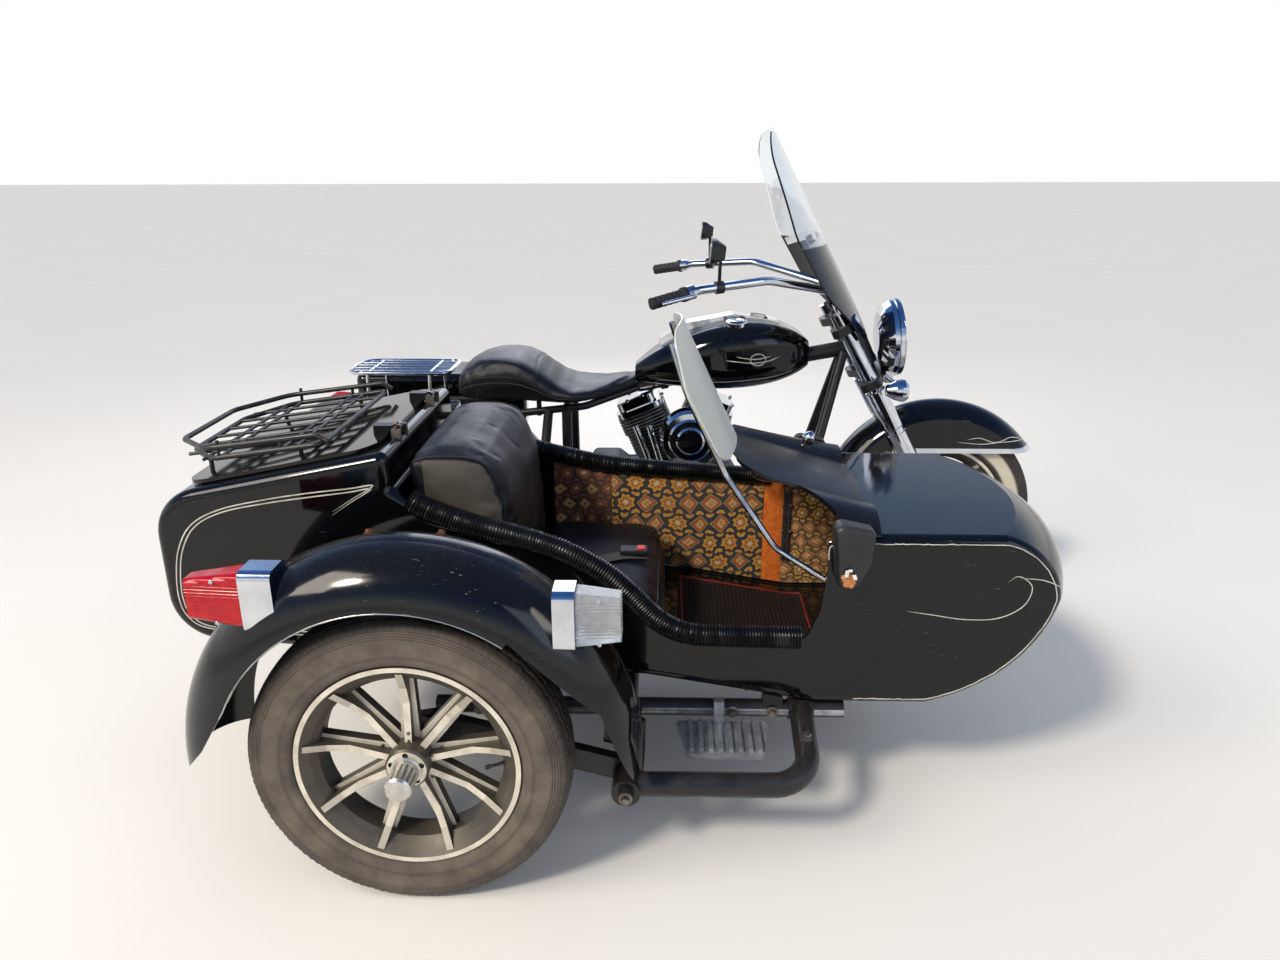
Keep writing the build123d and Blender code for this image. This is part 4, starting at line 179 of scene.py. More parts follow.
def transported(line, loop=False):
    """For each point of a line: the point and two directions square to it, carried along without twist."""
    points = [Vector(p) for p in line]
    count = len(points)
    tangents = []
    for i in range(count):
        before = points[i - 1] if i or loop else points[0]
        after = points[(i + 1) % count] if i + 1 < count or loop else points[-1]
        tangents.append((after - before).normalized())
    seed = Vector((0, 0, 1)) if abs(tangents[0].z) < 0.9 else Vector((1, 0, 0))
    side = tangents[0].cross(seed).normalized()
    out = []
    for point, tangent in zip(points, tangents):
        side = (side - tangent * side.dot(tangent)).normalized()
        out.append((point, side, tangent.cross(side)))
    return out


def curve_through(points, step, loop=False):
    """Points about a step apart on a smooth line through the given ones."""
    points = [Vector(p) for p in points]
    count = len(points)
    out = []
    for i in range(count if loop else count - 1):
        a = points[i - 1] if i or loop else points[0] * 2 - points[1]
        b = points[i]
        c = points[(i + 1) % count]
        far = points[(i + 2) % count] if i + 2 < count or loop else c * 2 - b
        pieces = max(2, round((c - b).length / step))
        for k in range(pieces):
            t = k / pieces
            out.append(0.5 * (2 * b + (c - a) * t + (2 * a - 5 * b + 4 * c - far) * t**2
                              + (3 * b - a - 3 * c + far) * t**3))
    return out if loop else [*out, points[-1]]


def rounded_loop(points, bend):
    """A closed outline in two dimensions with each corner rounded by the same radius."""
    steps = 5
    points = [Vector(p) for p in points]
    out = []
    for i, corner in enumerate(points):
        back = points[i - 1] - corner
        ahead = points[(i + 1) % len(points)] - corner
        reach = min(bend, back.length * 0.49, ahead.length * 0.49)
        start = corner + back.normalized() * reach
        end = corner + ahead.normalized() * reach
        for k in range(steps + 1):
            t = k / steps
            out.append(start * (1 - t) ** 2 + corner * 2 * t * (1 - t) + end * t**2)
    return out


def to_object(shape, name, finish_name, smooth=35):
    """A mesh object from a shape: doubled points joined, faces turned outward, and edges kept sharp where the
    faces beside them turn by more than smooth, in degrees."""
    mesh = bpy.data.meshes.new(name)
    mesh.from_pydata([at(p) for p in shape.points], [], shape.faces)
    work = bmesh.new()
    work.from_mesh(mesh)
    bmesh.ops.remove_doubles(work, verts=work.verts, dist=2e-6)
    bmesh.ops.dissolve_degenerate(work, edges=work.edges, dist=1e-7)
    bmesh.ops.recalc_face_normals(work, faces=work.faces)
    for face in work.faces:
        face.smooth = True
    for edge in work.edges:
        edge.smooth = len(edge.link_faces) == 2 and edge.calc_face_angle(0) < math.radians(smooth)
    work.to_mesh(mesh)
    work.free()
    mesh.materials.append(finish(finish_name))
    made = bpy.data.objects.new(name, mesh)
    bpy.context.scene.collection.objects.link(made)
    return made


def piece(shape, name, finish_name, body, nodes=(), smooth=35):
    """A finished piece that rides on a body, and stands for the nodes that it is given."""
    return settle(to_object(shape, name, finish_name, smooth), body, nodes)


def settle(made, body, nodes=()):
    """Rides an object on a body and hides the nodes that it stands for."""
    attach(made, body)
    if nodes:
        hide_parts(*nodes)
    return made


def surface_of(*names):
    """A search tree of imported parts' surfaces together, in the frame's metres."""
    points = []
    faces = []
    for name in names:
        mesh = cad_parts[name].data
        base = len(points)
        points.extend(v.co.copy() for v in mesh.vertices)
        faces.extend(tuple(base + i for i in p.vertices) for p in mesh.polygons)
    return BVHTree.FromPolygons(points, faces)


def onto(tree, point, direction, lift=0.0):
    """Where a ray from a point meets a surface, in millimetres, lifted back by a little; None if it misses."""
    direction = Vector(direction).normalized()
    hit = tree.ray_cast(at(point), direction)
    if hit[0] is None:
        return None
    return hit[0] / MM + ORIGIN - direction * lift, hit[1]


def met(tree, point, direction, lift=0.0):
    """As onto(), where a ray that misses the surface is a mistake."""
    hit = onto(tree, point, direction, lift)
    if hit is None:
        raise RuntimeError(f"no surface from {tuple(point)} along {tuple(direction)}")
    return hit


# Finishes


def node(tree, kind, *sockets, out=0, put=(), ramp=None, **settings):
    """Adds a shader node: sockets fill its inputs in order, put names others, settings are its own."""
    made = tree.nodes.new("ShaderNode" + kind)
    for key, value in settings.items():
        setattr(made, key, value)
    for key, value in [*enumerate(sockets), *dict(put).items()]:
        if isinstance(value, bpy.types.NodeSocket):
            tree.links.new(value, made.inputs[key])
        elif value is not None:
            made.inputs[key].default_value = value
    if ramp:
        stops = made.color_ramp.elements
        while len(stops) < len(ramp):
            stops.new(0.5)
        for stop, (place, colour) in zip(stops, ramp):
            stop.position = place
            stop.color = linear(colour) if isinstance(colour, str) else (colour, colour, colour, 1)
    return made if out is None else made.outputs[out]


def per_mm(size):
    """A texture's scale, for features of that size in millimetres."""
    return 1000 / size


def new_material(name):
    """An empty material with its shader, and the places in the object to draw patterns by."""
    made = bpy.data.materials.new(name)
    made.use_nodes = True
    tree = made.node_tree
    tree.nodes.clear()
    shader = node(tree, "BsdfPrincipled", out=None)
    node(tree, "OutputMaterial", shader.outputs[0], out=None)
    place = node(tree, "TexCoord", out="Object")
    return made, tree, shader, place


def plug(tree, shader, **values):
    """Sets or links the shader's inputs by name."""
    names = {
        "colour": "Base Color", "metallic": "Metallic", "rough": "Roughness", "ior": "IOR", "normal": "Normal",
        "sheen": "Sheen Weight", "sheen_rough": "Sheen Roughness", "clear": "Transmission Weight",
    }
    for key, value in values.items():
        socket = shader.inputs[names[key]]
        if isinstance(value, bpy.types.NodeSocket):
            tree.links.new(value, socket)
        else:
            socket.default_value = value


def streaks(tree, place, length, pitch, amount, turn=0.0):
    """Thin broken lines, as scratches are, about a length long and a pitch apart, in millimetres."""
    turned = node(tree, "Mapping", place, put={"Rotation": (turn, turn * 0.7, turn), "Scale": (
        per_mm(length), per_mm(pitch), per_mm(pitch))})
    cells = node(tree, "TexVoronoi", turned, put={"Scale": 1.0, "Randomness": 1.0})
    thin = node(tree, "MapRange", cells, 0.03, 0.11, amount, 0.0)
    patches = node(tree, "TexNoise", place, put={"Scale": per_mm(170), "Detail": 3.0})
    mask = node(tree, "MapRange", patches, 0.5, 0.62, 0.0, 1.0)
    return node(tree, "Math", thin, mask, operation="MULTIPLY")


def aged(name, base, shade, rough, metallic=0.0, patch=160, grain=1.5, bump=0.05, dust=0.0, scratch=0.0,
         rust=0.0, dust_hex="#8C8172", scratch_hex="#8E8F92", **fixed):
    """A painted, plated or moulded surface: two tones in patches, a fine grain, and the dust that lies on
    what faces up, scratches and rust where the real one has them."""
    made, tree, shader, place = new_material(name)
    patches = node(tree, "TexNoise", place, put={"Scale": per_mm(patch), "Detail": 5.0, "Roughness": 0.6})
    fine = node(tree, "TexNoise", place, put={"Scale": per_mm(grain), "Detail": 2.0})
    tone = node(tree, "MapRange", patches, 0.35, 0.65, 0.0, 1.0)
    colour = node(tree, "MixRGB", tone, base, shade)
    roughness = node(tree, "MapRange", patches, 0.3, 0.7, rough[0], rough[1])
    metal = metallic
    if dust:
        facing = node(tree, "SeparateXYZ", node(tree, "NewGeometry", out="Normal"), out=2)
        level = node(tree, "MapRange", facing, 0.35, 1.0, 0.0, dust)
        flecks = node(tree, "TexNoise", place, put={"Scale": per_mm(3), "Detail": 3.0})
        broken = node(tree, "MapRange", flecks, 0.42, 0.7, 0.25, 1.0)
        film = node(tree, "Math", level, broken, operation="MULTIPLY")
        colour = node(tree, "MixRGB", film, colour, linear(dust_hex))
        roughness = node(tree, "Math", roughness, node(tree, "Math", film, 0.8, operation="MULTIPLY"),
                         operation="ADD")
    if scratch:
        lines = node(tree, "Math", streaks(tree, place, 46, 5, scratch, 0.15),
                     streaks(tree, place, 90, 9, scratch, -0.35), operation="MAXIMUM")
        colour = node(tree, "MixRGB", lines, colour, linear(scratch_hex))
        roughness = node(tree, "Math", roughness, lines, operation="MAXIMUM")
    if rust:
        spots = node(tree, "TexNoise", place, put={"Scale": per_mm(22), "Detail": 6.0, "Roughness": 0.7})
        bloom = node(tree, "MapRange", spots, 0.72 - rust * 0.3, 0.8 - rust * 0.3, 0.0, 1.0)
        brown = node(tree, "MixRGB", fine, linear("#4A2A18"), linear("#8A5430"))
        colour = node(tree, "MixRGB", bloom, colour, brown)
        roughness = node(tree, "Math", roughness, bloom, operation="MAXIMUM")
        if metallic:
            metal = node(tree, "MapRange", bloom, 0.0, 1.0, metallic, 0.1)
    normal = node(tree, "Bump", bump, 0.0004, put={"Height": fine})
    plug(tree, shader, colour=colour, rough=roughness, metallic=metal, normal=normal, **fixed)
    return made


def cast_wheel(name):
    """Cast alloy under aged clear lacquer: cream-grey where the faces were machined; dark and dusty elsewhere, with
    painted shade in the rim's barrel.
    """
    made, tree, shader, place = new_material(name)
    colours = bpy.context.scene.sidecar_colours
    facing = node(tree, "SeparateXYZ", node(tree, "TexCoord", out="Normal"), out=1)
    front = node(tree, "MapRange", facing, -0.8, -0.96, 0.0, 1.0)
    stain = node(tree, "TexNoise", place, put={"Scale": per_mm(45), "Detail": 6.0, "Roughness": 0.65})
    grit = node(tree, "TexNoise", place, put={"Scale": per_mm(1.6), "Detail": 2.0})
    bright = node(tree, "MixRGB", node(tree, "MapRange", stain, 0.4, 0.75, 0.0, 0.7), colours.wheel,
                  linear("#A79C8A"))
    # the tone of every face not turned outward: partly the casting's duller sides, partly painted shade in the rim's
    # barrel
    dark_sides_and_shade = node(tree, "MixRGB", stain, linear("#2E2B27"), linear("#6B6459"))
    colour = node(tree, "MixRGB", front, dark_sides_and_shade, bright)
    rough = node(tree, "MapRange", stain, 0.3, 0.7, 0.38, 0.6)
    normal = node(tree, "Bump", 0.12, 0.0005, put={"Height": grit})
    plug(tree, shader, colour=colour, rough=rough, metallic=0.45, normal=normal)
    return made


def hide(name, base, shade, grain, wrinkle, gloss, worn):
    """Grained leather or vinyl: rounded pebbles with creases between them, shinier where it is rubbed."""
    made, tree, shader, place = new_material(name)
    pebbles = node(tree, "TexVoronoi", place, put={"Scale": per_mm(grain)}, feature="DISTANCE_TO_EDGE")
    creases = node(tree, "TexNoise", place, put={"Scale": per_mm(wrinkle), "Detail": 7.0, "Roughness": 0.7})
    rubbed = node(tree, "TexNoise", place, put={"Scale": per_mm(120), "Detail": 3.0})
    height = node(tree, "Math", node(tree, "MapRange", pebbles, 0.0, 0.25, 0.0, 1.0),
                  node(tree, "Math", creases, 2.2, operation="MULTIPLY"), operation="ADD")
    wear = node(tree, "MapRange", rubbed, 0.45, 0.7, 0.0, 0.6)
    colour = node(tree, "MixRGB", wear, node(tree, "MixRGB", creases, base, shade), worn)
    rough = node(tree, "MapRange", rubbed, 0.4, 0.65, gloss + 0.14, gloss)
    normal = node(tree, "Bump", 0.35, 0.0006, put={"Height": height})
    plug(tree, shader, colour=colour, rough=rough, normal=normal, ior=1.4)
    return made


def tyre_rubber(name):
    """Vulcanised rubber with dry dust on the walls; the mesh says where dust, the painted shade in the wall's
    grooves, and whitewall lie.
    """
    made, tree, shader, place = new_material(name)
    # the dust attribute is low in the wall rings' grooves, so it also paints shade there
    dust = node(tree, "Attribute", attribute_name="dust", out="Fac")
    white = node(tree, "Attribute", attribute_name="whitewall", out="Fac")
    blotch = node(tree, "TexNoise", place, put={"Scale": per_mm(60), "Detail": 6.0, "Roughness": 0.6})
    grit = node(tree, "TexNoise", place, put={"Scale": per_mm(2.2), "Detail": 3.0})
    film = node(tree, "Math", dust, node(tree, "MapRange", blotch, 0.3, 0.7, 0.45, 1.0), operation="MULTIPLY")
    rubber = node(tree, "MixRGB", blotch, linear("#1B1917"), linear("#2A2622"))
    dusty = node(tree, "MixRGB", blotch, linear("#62584E"), linear("#7D7064"))
    colour = node(tree, "MixRGB", film, rubber, dusty)
    colour = node(tree, "MixRGB", white, colour, node(tree, "MixRGB", blotch, linear("#D8D2C2"), linear("#B9AE98")))
    normal = node(tree, "Bump", 0.3, 0.0006, put={"Height": grit})
    plug(tree, shader, colour=colour, rough=node(tree, "MapRange", film, 0.0, 1.0, 0.62, 0.9), normal=normal)
    return made


def clear_sheet(name, tint, rough, clear, haze, scratched=0.7):
    """Cast acrylic sheet: clear, with fine swirled scratches and a haze in patches."""
    made, tree, shader, place = new_material(name)
    swirl = node(tree, "TexNoise", place, put={"Scale": per_mm(30), "Detail": 6.0, "Distortion": 1.2})
    fog = node(tree, "MapRange", swirl, 0.35, 0.75, rough, rough + haze)
    lines = streaks(tree, place, 60, 3, scratched, 0.5)
    plug(tree, shader, colour=node(tree, "MixRGB", lines, tint, linear("#F2F4F4")), clear=clear, ior=1.49,
         rough=node(tree, "Math", fog, node(tree, "Math", lines, 0.4, operation="MULTIPLY"), operation="ADD"))
    return made


def touring_screen(name):
    """Acrylic sheet, clear above the bright strip and smoked black below it."""
    made, tree, shader, place = new_material(name)
    height = node(tree, "SeparateXYZ", place, out=2)
    low = node(tree, "MapRange", height, SCREEN_STRIP_Z * MM, (SCREEN_STRIP_Z + 3) * MM, 1.0, 0.0)
    swirl = node(tree, "TexNoise", place, put={"Scale": per_mm(34), "Detail": 6.0, "Distortion": 1.2})
    plug(tree, shader, colour=node(tree, "MixRGB", low, linear("#F1F5F7"), linear("#10131C")), ior=1.45,
         clear=node(tree, "MapRange", low, 0.0, 1.0, 1.0, 0.25),
         rough=node(tree, "MapRange", swirl, 0.35, 0.75, 0.01, 0.05))
    return made


def lens_plastic(name, tint, rough, clear, depth=0.55):
    """Moulded acrylic lens: the colour runs through it, and the light breaks in the ribs inside."""
    made, tree, shader, place = new_material(name)
    cloud = node(tree, "TexNoise", place, put={"Scale": per_mm(14), "Detail": 4.0})
    ribs = node(tree, "TexWave", place, put={"Scale": per_mm(22), "Distortion": 0.3, "Detail": 1.0},
                bands_direction="Z")
    deep = (*[c * depth for c in tint[:3]], 1)
    normal = node(tree, "Bump", 0.5, 0.0012, put={"Height": ribs})
    plug(tree, shader, colour=node(tree, "MixRGB", node(tree, "MapRange", cloud, 0.35, 0.7, 0.0, 0.8), tint, deep),
         rough=rough, clear=clear, ior=1.49, normal=normal)
    return made


def knotted_carpet(name, ground, figures, centres, cell=46):
    """Machine-woven wool rug with an all-over pattern of rosettes and diamonds, cut down to line the cockpit."""
    made, tree, shader, place = new_material(name)
    bent = node(tree, "TexNoise", place, out=1, put={"Scale": per_mm(60), "Detail": 2.0})
    bent = node(tree, "VectorMath", place, node(tree, "VectorMath", bent, (0.022,) * 3, operation="MULTIPLY"),
                operation="ADD")
    split = node(tree, "SeparateXYZ", node(tree, "VectorMath", bent, (per_mm(cell),) * 3, operation="MULTIPLY"),
                 out=None)
    across = node(tree, "Math", split.outputs[0], split.outputs[1], operation="ADD")
    upward = split.outputs[2]
    row = node(tree, "Math", upward, operation="FLOOR")
    shifted = node(tree, "Math", row, 0.5, across, operation="MULTIPLY_ADD")
    u = node(tree, "Math", node(tree, "Math", shifted, operation="FRACT"), 0.5, operation="SUBTRACT")
    v = node(tree, "Math", node(tree, "Math", upward, operation="FRACT"), 0.5, operation="SUBTRACT")
    reach = node(tree, "VectorMath", node(tree, "CombineXYZ", u, v), out="Value", operation="LENGTH")
    petals = node(tree, "Math", node(tree, "Math", node(tree, "Math", v, u, operation="ARCTAN2"), 8.0,
                                     operation="MULTIPLY"), operation="COSINE")
    rosette = node(tree, "Math", petals, 0.05, reach, operation="MULTIPLY_ADD")
    wide = node(tree, "Math", u, operation="ABSOLUTE")
    tall = node(tree, "Math", v, operation="ABSOLUTE")
    diamond = node(tree, "Math", wide, tall, operation="ADD")
    corner = node(tree, "VectorMath", node(tree, "CombineXYZ", node(tree, "Math", wide, 0.5, operation="SUBTRACT"),
                                           node(tree, "Math", tall, 0.5, operation="SUBTRACT")),
                  out="Value", operation="LENGTH")
    cell_id = node(tree, "CombineXYZ", node(tree, "Math", shifted, operation="FLOOR"), row)
    chance = node(tree, "TexWhiteNoise", cell_id, noise_dimensions="2D")
    pick = node(tree, "Math", chance, 0.45, operation="GREATER_THAN")
    rings = [(0.0, centres[0]), (0.09, figures[2]), (0.13, centres[1]), (0.22, figures[0]), (0.36, ground[1]),
             (0.41, ground[0])]
    steps = [(0.0, figures[0]), (0.1, ground[1]), (0.14, centres[0]), (0.21, figures[1]), (0.37, ground[1]),
             (0.42, figures[2]), (0.47, ground[0])]
    small = [(0.0, centres[1]), (0.06, figures[0]), (0.16, figures[2]), (0.19, ground[1]), (0.22, ground[0])]
    layers = []
    for value, ramp in ((rosette, rings), (diamond, steps), (corner, small)):
        layer = node(tree, "ValToRGB", value, ramp=ramp)
        layer.node.color_ramp.interpolation = "CONSTANT"
        layers.append(layer)
    colour = node(tree, "MixRGB", pick, layers[0], layers[1])
    colour = node(tree, "MixRGB", node(tree, "Math", corner, 0.22, operation="LESS_THAN"), colour, layers[2])
    knots = node(tree, "TexVoronoi", place, out="Color", put={"Scale": per_mm(3.2), "Randomness": 0.35})
    value = node(tree, "SeparateXYZ", knots)
    colour = node(tree, "MixRGB", node(tree, "MapRange", value, 0.0, 1.0, 0.0, 0.3), colour, linear("#2A1A10"))
    worn = node(tree, "TexNoise", place, put={"Scale": per_mm(110), "Detail": 5.0})
    colour = node(tree, "MixRGB", node(tree, "MapRange", worn, 0.45, 0.8, 0.0, 0.4), colour, linear("#7A5A36"))
    pile = node(tree, "TexNoise", place, put={"Scale": per_mm(1.8), "Detail": 3.0, "Roughness": 0.8})
    colour = node(tree, "MixRGB", node(tree, "MapRange", pile, 0.3, 0.7, 0.3, 0.0), colour, linear("#150E0A"))
    normal = node(tree, "Bump", 0.8, 0.0012, put={"Height": pile})
    plug(tree, shader, colour=colour, rough=0.95, normal=normal, sheen=0.2, sheen_rough=0.6)
    return made


def woven(name):
    """Polyester webbing: a tight rib across the strap."""
    made, tree, shader, place = new_material(name)
    ribs = node(tree, "TexWave", place, put={"Scale": per_mm(12), "Distortion": 0.4}, bands_direction="DIAGONAL")
    soil = node(tree, "TexNoise", place, put={"Scale": per_mm(35), "Detail": 4.0})
    colour = node(tree, "MixRGB", soil, linear("#0E0E10"), linear("#242226"))
    plug(tree, shader, colour=colour, rough=0.8, normal=node(tree, "Bump", 0.5, 0.0005, put={"Height": ribs}),
         sheen=0.2)
    return made


def make_finish(name):
    """The material of that name, made as the real one is."""
    colours = bpy.context.scene.sidecar_colours
    dark = linear("#08090B")
    makers = {
        # two-pack gloss enamel: near black, a sharp reflection, swirl marks and a film of road dust
        "gloss_enamel": lambda: aged(name, colours.enamel, dark, (0.03, 0.1), patch=240, bump=0.006, dust=0.03,
                                     scratch=0.3, ior=1.42),
        # the same enamel left outdoors: dustier, scuffed through to pale primer along the crown
        "scuffed_enamel": lambda: aged(name, colours.enamel, dark, (0.05, 0.2), patch=180, bump=0.012,
                                       dust=0.06, scratch=0.9, ior=1.45),
        # wrinkled black paint on the scuttle: its highlight breaks up in small folds
        "crinkle_paint": lambda: aged(name, dark, linear("#0F1013"), (0.22, 0.36), patch=120, grain=2.2,
                                      bump=0.45, dust=0.05, scratch=0.4, ior=1.45),
        # chromium plate on steel: neutral mirror with pin-prick pitting
        "chromium_plate": lambda: aged(name, linear("#DADCE0"), linear("#C4C7CC"), (0.04, 0.12), metallic=1.0,
                                       patch=80, grain=0.8, bump=0.015),
        # plate that has stood outdoors: greyer, its reflections blurred, with brown blooms where it has let go
        "pitted_chromium": lambda: aged(name, linear("#BFC0C2"), linear("#8F8D8A"), (0.12, 0.34), metallic=1.0,
                                        patch=40, bump=0.05, rust=0.25),
        # stove enamel over a casting: black with a slight texture and oily dust
        "engine_enamel": lambda: aged(name, linear("#17181A"), linear("#26262A"), (0.42, 0.6), patch=50, grain=2,
                                      bump=0.15, dust=0.2),
        # cast aluminium fins, skimmed bright on their edges and dusty between
        "finned_alloy": lambda: aged(name, linear("#7C7E82"), linear("#4D4F53"), (0.28, 0.45), metallic=0.85,
                                     patch=30, grain=2, bump=0.1, dust=0.1),
        # satin chassis paint gone grey with dust, bubbling with rust at the joints
        "chassis_enamel": lambda: aged(name, linear("#0B0C0E"), linear("#191818"), (0.26, 0.45), patch=60, grain=2.5,
                                       bump=0.08, dust=0.12, rust=0.22),
        # satin black paint: a soft even highlight under a film of dust
        "satin_paint": lambda: aged(name, linear("#0E0F11"), linear("#1B1B1E"), (0.3, 0.45), patch=90, bump=0.05,
                                    dust=0.12),
        # dipped enamel on the rack's bars: dusty, and brown where it has rusted through
        "rack_enamel": lambda: aged(name, linear("#121315"), linear("#232326"), (0.3, 0.5), patch=40, bump=0.08,
                                    dust=0.2, rust=0.3),
        # cast alloy, bead-blasted: pale grey with a broad soft highlight
        "cast_alloy": lambda: aged(name, linear("#A8A9AA"), linear("#808182"), (0.3, 0.45), metallic=0.9, patch=30,
                                   bump=0.08),
        # turned aluminium of the hub's cap: brighter than the casting round it
        "turned_aluminium": lambda: aged(name, linear("#D3D2CE"), linear("#B5B3AD"), (0.22, 0.36), metallic=0.9,
                                         patch=25, bump=0.03, scratch=0.3),
        # plated steel gone dull, with freckles of rust
        "dull_steel": lambda: aged(name, linear("#8D8A86"), linear("#5F5A54"), (0.3, 0.5), metallic=0.9, patch=18,
                                   bump=0.1, rust=0.5),
        # screw heads rusted brown all over, with no shine left
        "rusted_steel": lambda: aged(name, linear("#7A5A44"), linear("#4B3022"), (0.7, 0.9), metallic=0.3, patch=12,
                                     grain=1.2, bump=0.4, rust=1.0),
        # ground steel of the brake discs, scored by the pads
        "disc_steel": lambda: aged(name, linear("#9EA0A2"), linear("#7C7D80"), (0.22, 0.36), metallic=1.0,
                                   patch=40, grain=1, bump=0.04, scratch=0.5),
        # black polythene: a soft line of light along the crest of every ring
        "polythene_hose": lambda: aged(name, linear("#07080A"), linear("#0E0F12"), (0.24, 0.36), patch=60, bump=0.04,
                                       dust=0.02, dust_hex="#6F6A63", ior=1.36),
        # moulded rubber: matt, with hardly a highlight
        "nitrile_rubber": lambda: aged(name, linear("#121214"), linear("#1D1D20"), (0.5, 0.65), patch=30, bump=0.1),
        # rubber-faced belt: flat black under pale dust
        "neoprene_belt": lambda: aged(name, linear("#131313"), linear("#1F1E1D"), (0.6, 0.75), patch=30, bump=0.1,
                                      dust=0.2),
        # old floor rubber: brown-black, dulled by dry soil
        "studded_rubber": lambda: aged(name, linear("#171211"), linear("#231A18"), (0.6, 0.8), patch=70, bump=0.1,
                                       dust=0.1, dust_hex="#5E463B", ior=1.42),
        # red vinyl edging, dirty in patches
        "piping_vinyl": lambda: aged(name, linear("#8E2A22"), linear("#6A1D18"), (0.35, 0.5), patch=40, bump=0.05),
        # moulded ABS: satin black, dusty on top
        "lamp_abs": lambda: aged(name, linear("#141518"), linear("#1E1F22"), (0.3, 0.45), patch=60, bump=0.06,
                                 dust=0.2),
        # painted board under the cushion: brown-black and nearly without shine
        "seat_board": lambda: aged(name, linear("#141315"), linear("#1F1D1D"), (0.4, 0.6), patch=60, bump=0.1,
                                   dust=0.2),
        # polyester filler left in the empty lamp socket: rough, and orange like raw earth
        "body_filler": lambda: aged(name, linear("#C78A58"), linear("#A9683A"), (0.8, 0.95), patch=12, grain=2,
                                    bump=0.7),
        # moulded nylon: white with a soft shine
        "white_nylon": lambda: aged(name, linear("#E2E4E2"), linear("#C9CAC6"), (0.4, 0.5), patch=20, bump=0.05),
        # polyester thread: pale grey points beside the seams
        "grey_thread": lambda: aged(name, linear("#7D7C7A"), linear("#565554"), (0.6, 0.75), patch=8, bump=0.1),
        # moulded red plastic of the buckle's button, the one bright spot on the seat
        "red_button": lambda: aged(name, linear("#D8201C"), linear("#B4130F"), (0.28, 0.36), patch=10, bump=0.02),
        # signwriter's enamel: off-white, rubbed through to the black in places
        "stripe_paint": lambda: aged(name, colours.stripe, linear("#A9A69C"), (0.2, 0.4), patch=30, bump=0.02,
                                     scratch=0.4, scratch_hex="#1A1A1C"),
        # silvered glass: a sharp, clean reflection
        "mirror_glass": lambda: aged(name, linear("#E4E8EA"), linear("#D5DADC"), (0.01, 0.03), metallic=1.0,
                                     patch=60, bump=0.0),
        # printed dial: warm white and flat
        "dial_face": lambda: aged(name, linear("#E6E1D2"), linear("#D8D2C0"), (0.5, 0.6), patch=20, bump=0.02),
        # cast aluminium tread plate: dull on its ribs and dark between them
        "tread_plate": lambda: aged(name, linear("#B4B7BB"), linear("#85888D"), (0.36, 0.55), metallic=0.6, patch=30,
                                    scratch=0.3),
        # cast wheels, tyres, hides, webbing and clear sheets: their functions say what they give the eye
        "wheel_casting": lambda: cast_wheel(name),
        "tyre_rubber": lambda: tyre_rubber(name),
        "seat_leather": lambda: hide(name, colours.leather, linear("#09090A"), 1.6, 26, 0.24, linear("#1B1C20")),
        "seat_vinyl": lambda: hide(name, colours.vinyl, linear("#0C0C0F"), 1.8, 34, 0.32, linear("#2A2D38")),
        "side_vinyl": lambda: hide(name, linear("#4A463E"), linear("#38352F"), 1.8, 30, 0.45, linear("#5C584E")),
        "strap_webbing": lambda: woven(name),
        "clear_acrylic": lambda: touring_screen(name),
        # acrylic gone milky with age: what stands behind it is blurred
        "milky_acrylic": lambda: clear_sheet(name, linear("#EEF0EA"), 0.28, 0.55, 0.2, 0.15),
        # moulded lenses: deep red, amber, and clear broken into grey lines by the ribs
        "red_acrylic": lambda: lens_plastic(name, colours.red_lens, 0.14, 0.2, 0.7),
        "amber_acrylic": lambda: lens_plastic(name, linear("#E06A10"), 0.08, 0.4),
        "ribbed_acrylic": lambda: lens_plastic(name, linear("#E6EAED"), 0.2, 0.7, 0.78),
        # wool rugs: rust-red, gold, and the brighter one whose edge shows at the front
        "wool_carpet_red": lambda: knotted_carpet(
            name, ("#33201A", "#15131C"), ("#8A4A26", "#B08038", "#5C2A1C"), ("#C9B78E", "#7E3A22"), 44),
        "wool_carpet_gold": lambda: knotted_carpet(
            name, ("#2A2430", "#15151E"), ("#DDA02E", "#C9641F", "#C9B070"), ("#E6D3A0", "#A23A1C"), 58),
        "wool_carpet_side": lambda: knotted_carpet(
            name, ("#6B4226", "#1A1A26"), ("#E8B23A", "#D8722A", "#D9C48A"), ("#EFE0B4", "#8A2A1C"), 42),
        # the plain orange border woven along the front rug
        "orange_border": lambda: aged(name, linear("#DE7A24"), linear("#C2591A"), (0.85, 0.95), patch=14, grain=2,
                                      bump=0.8),
    }
    return makers[name]()


def finish(name):
    """The material of that name, made once."""
    return bpy.data.materials.get(name) or make_finish(name)


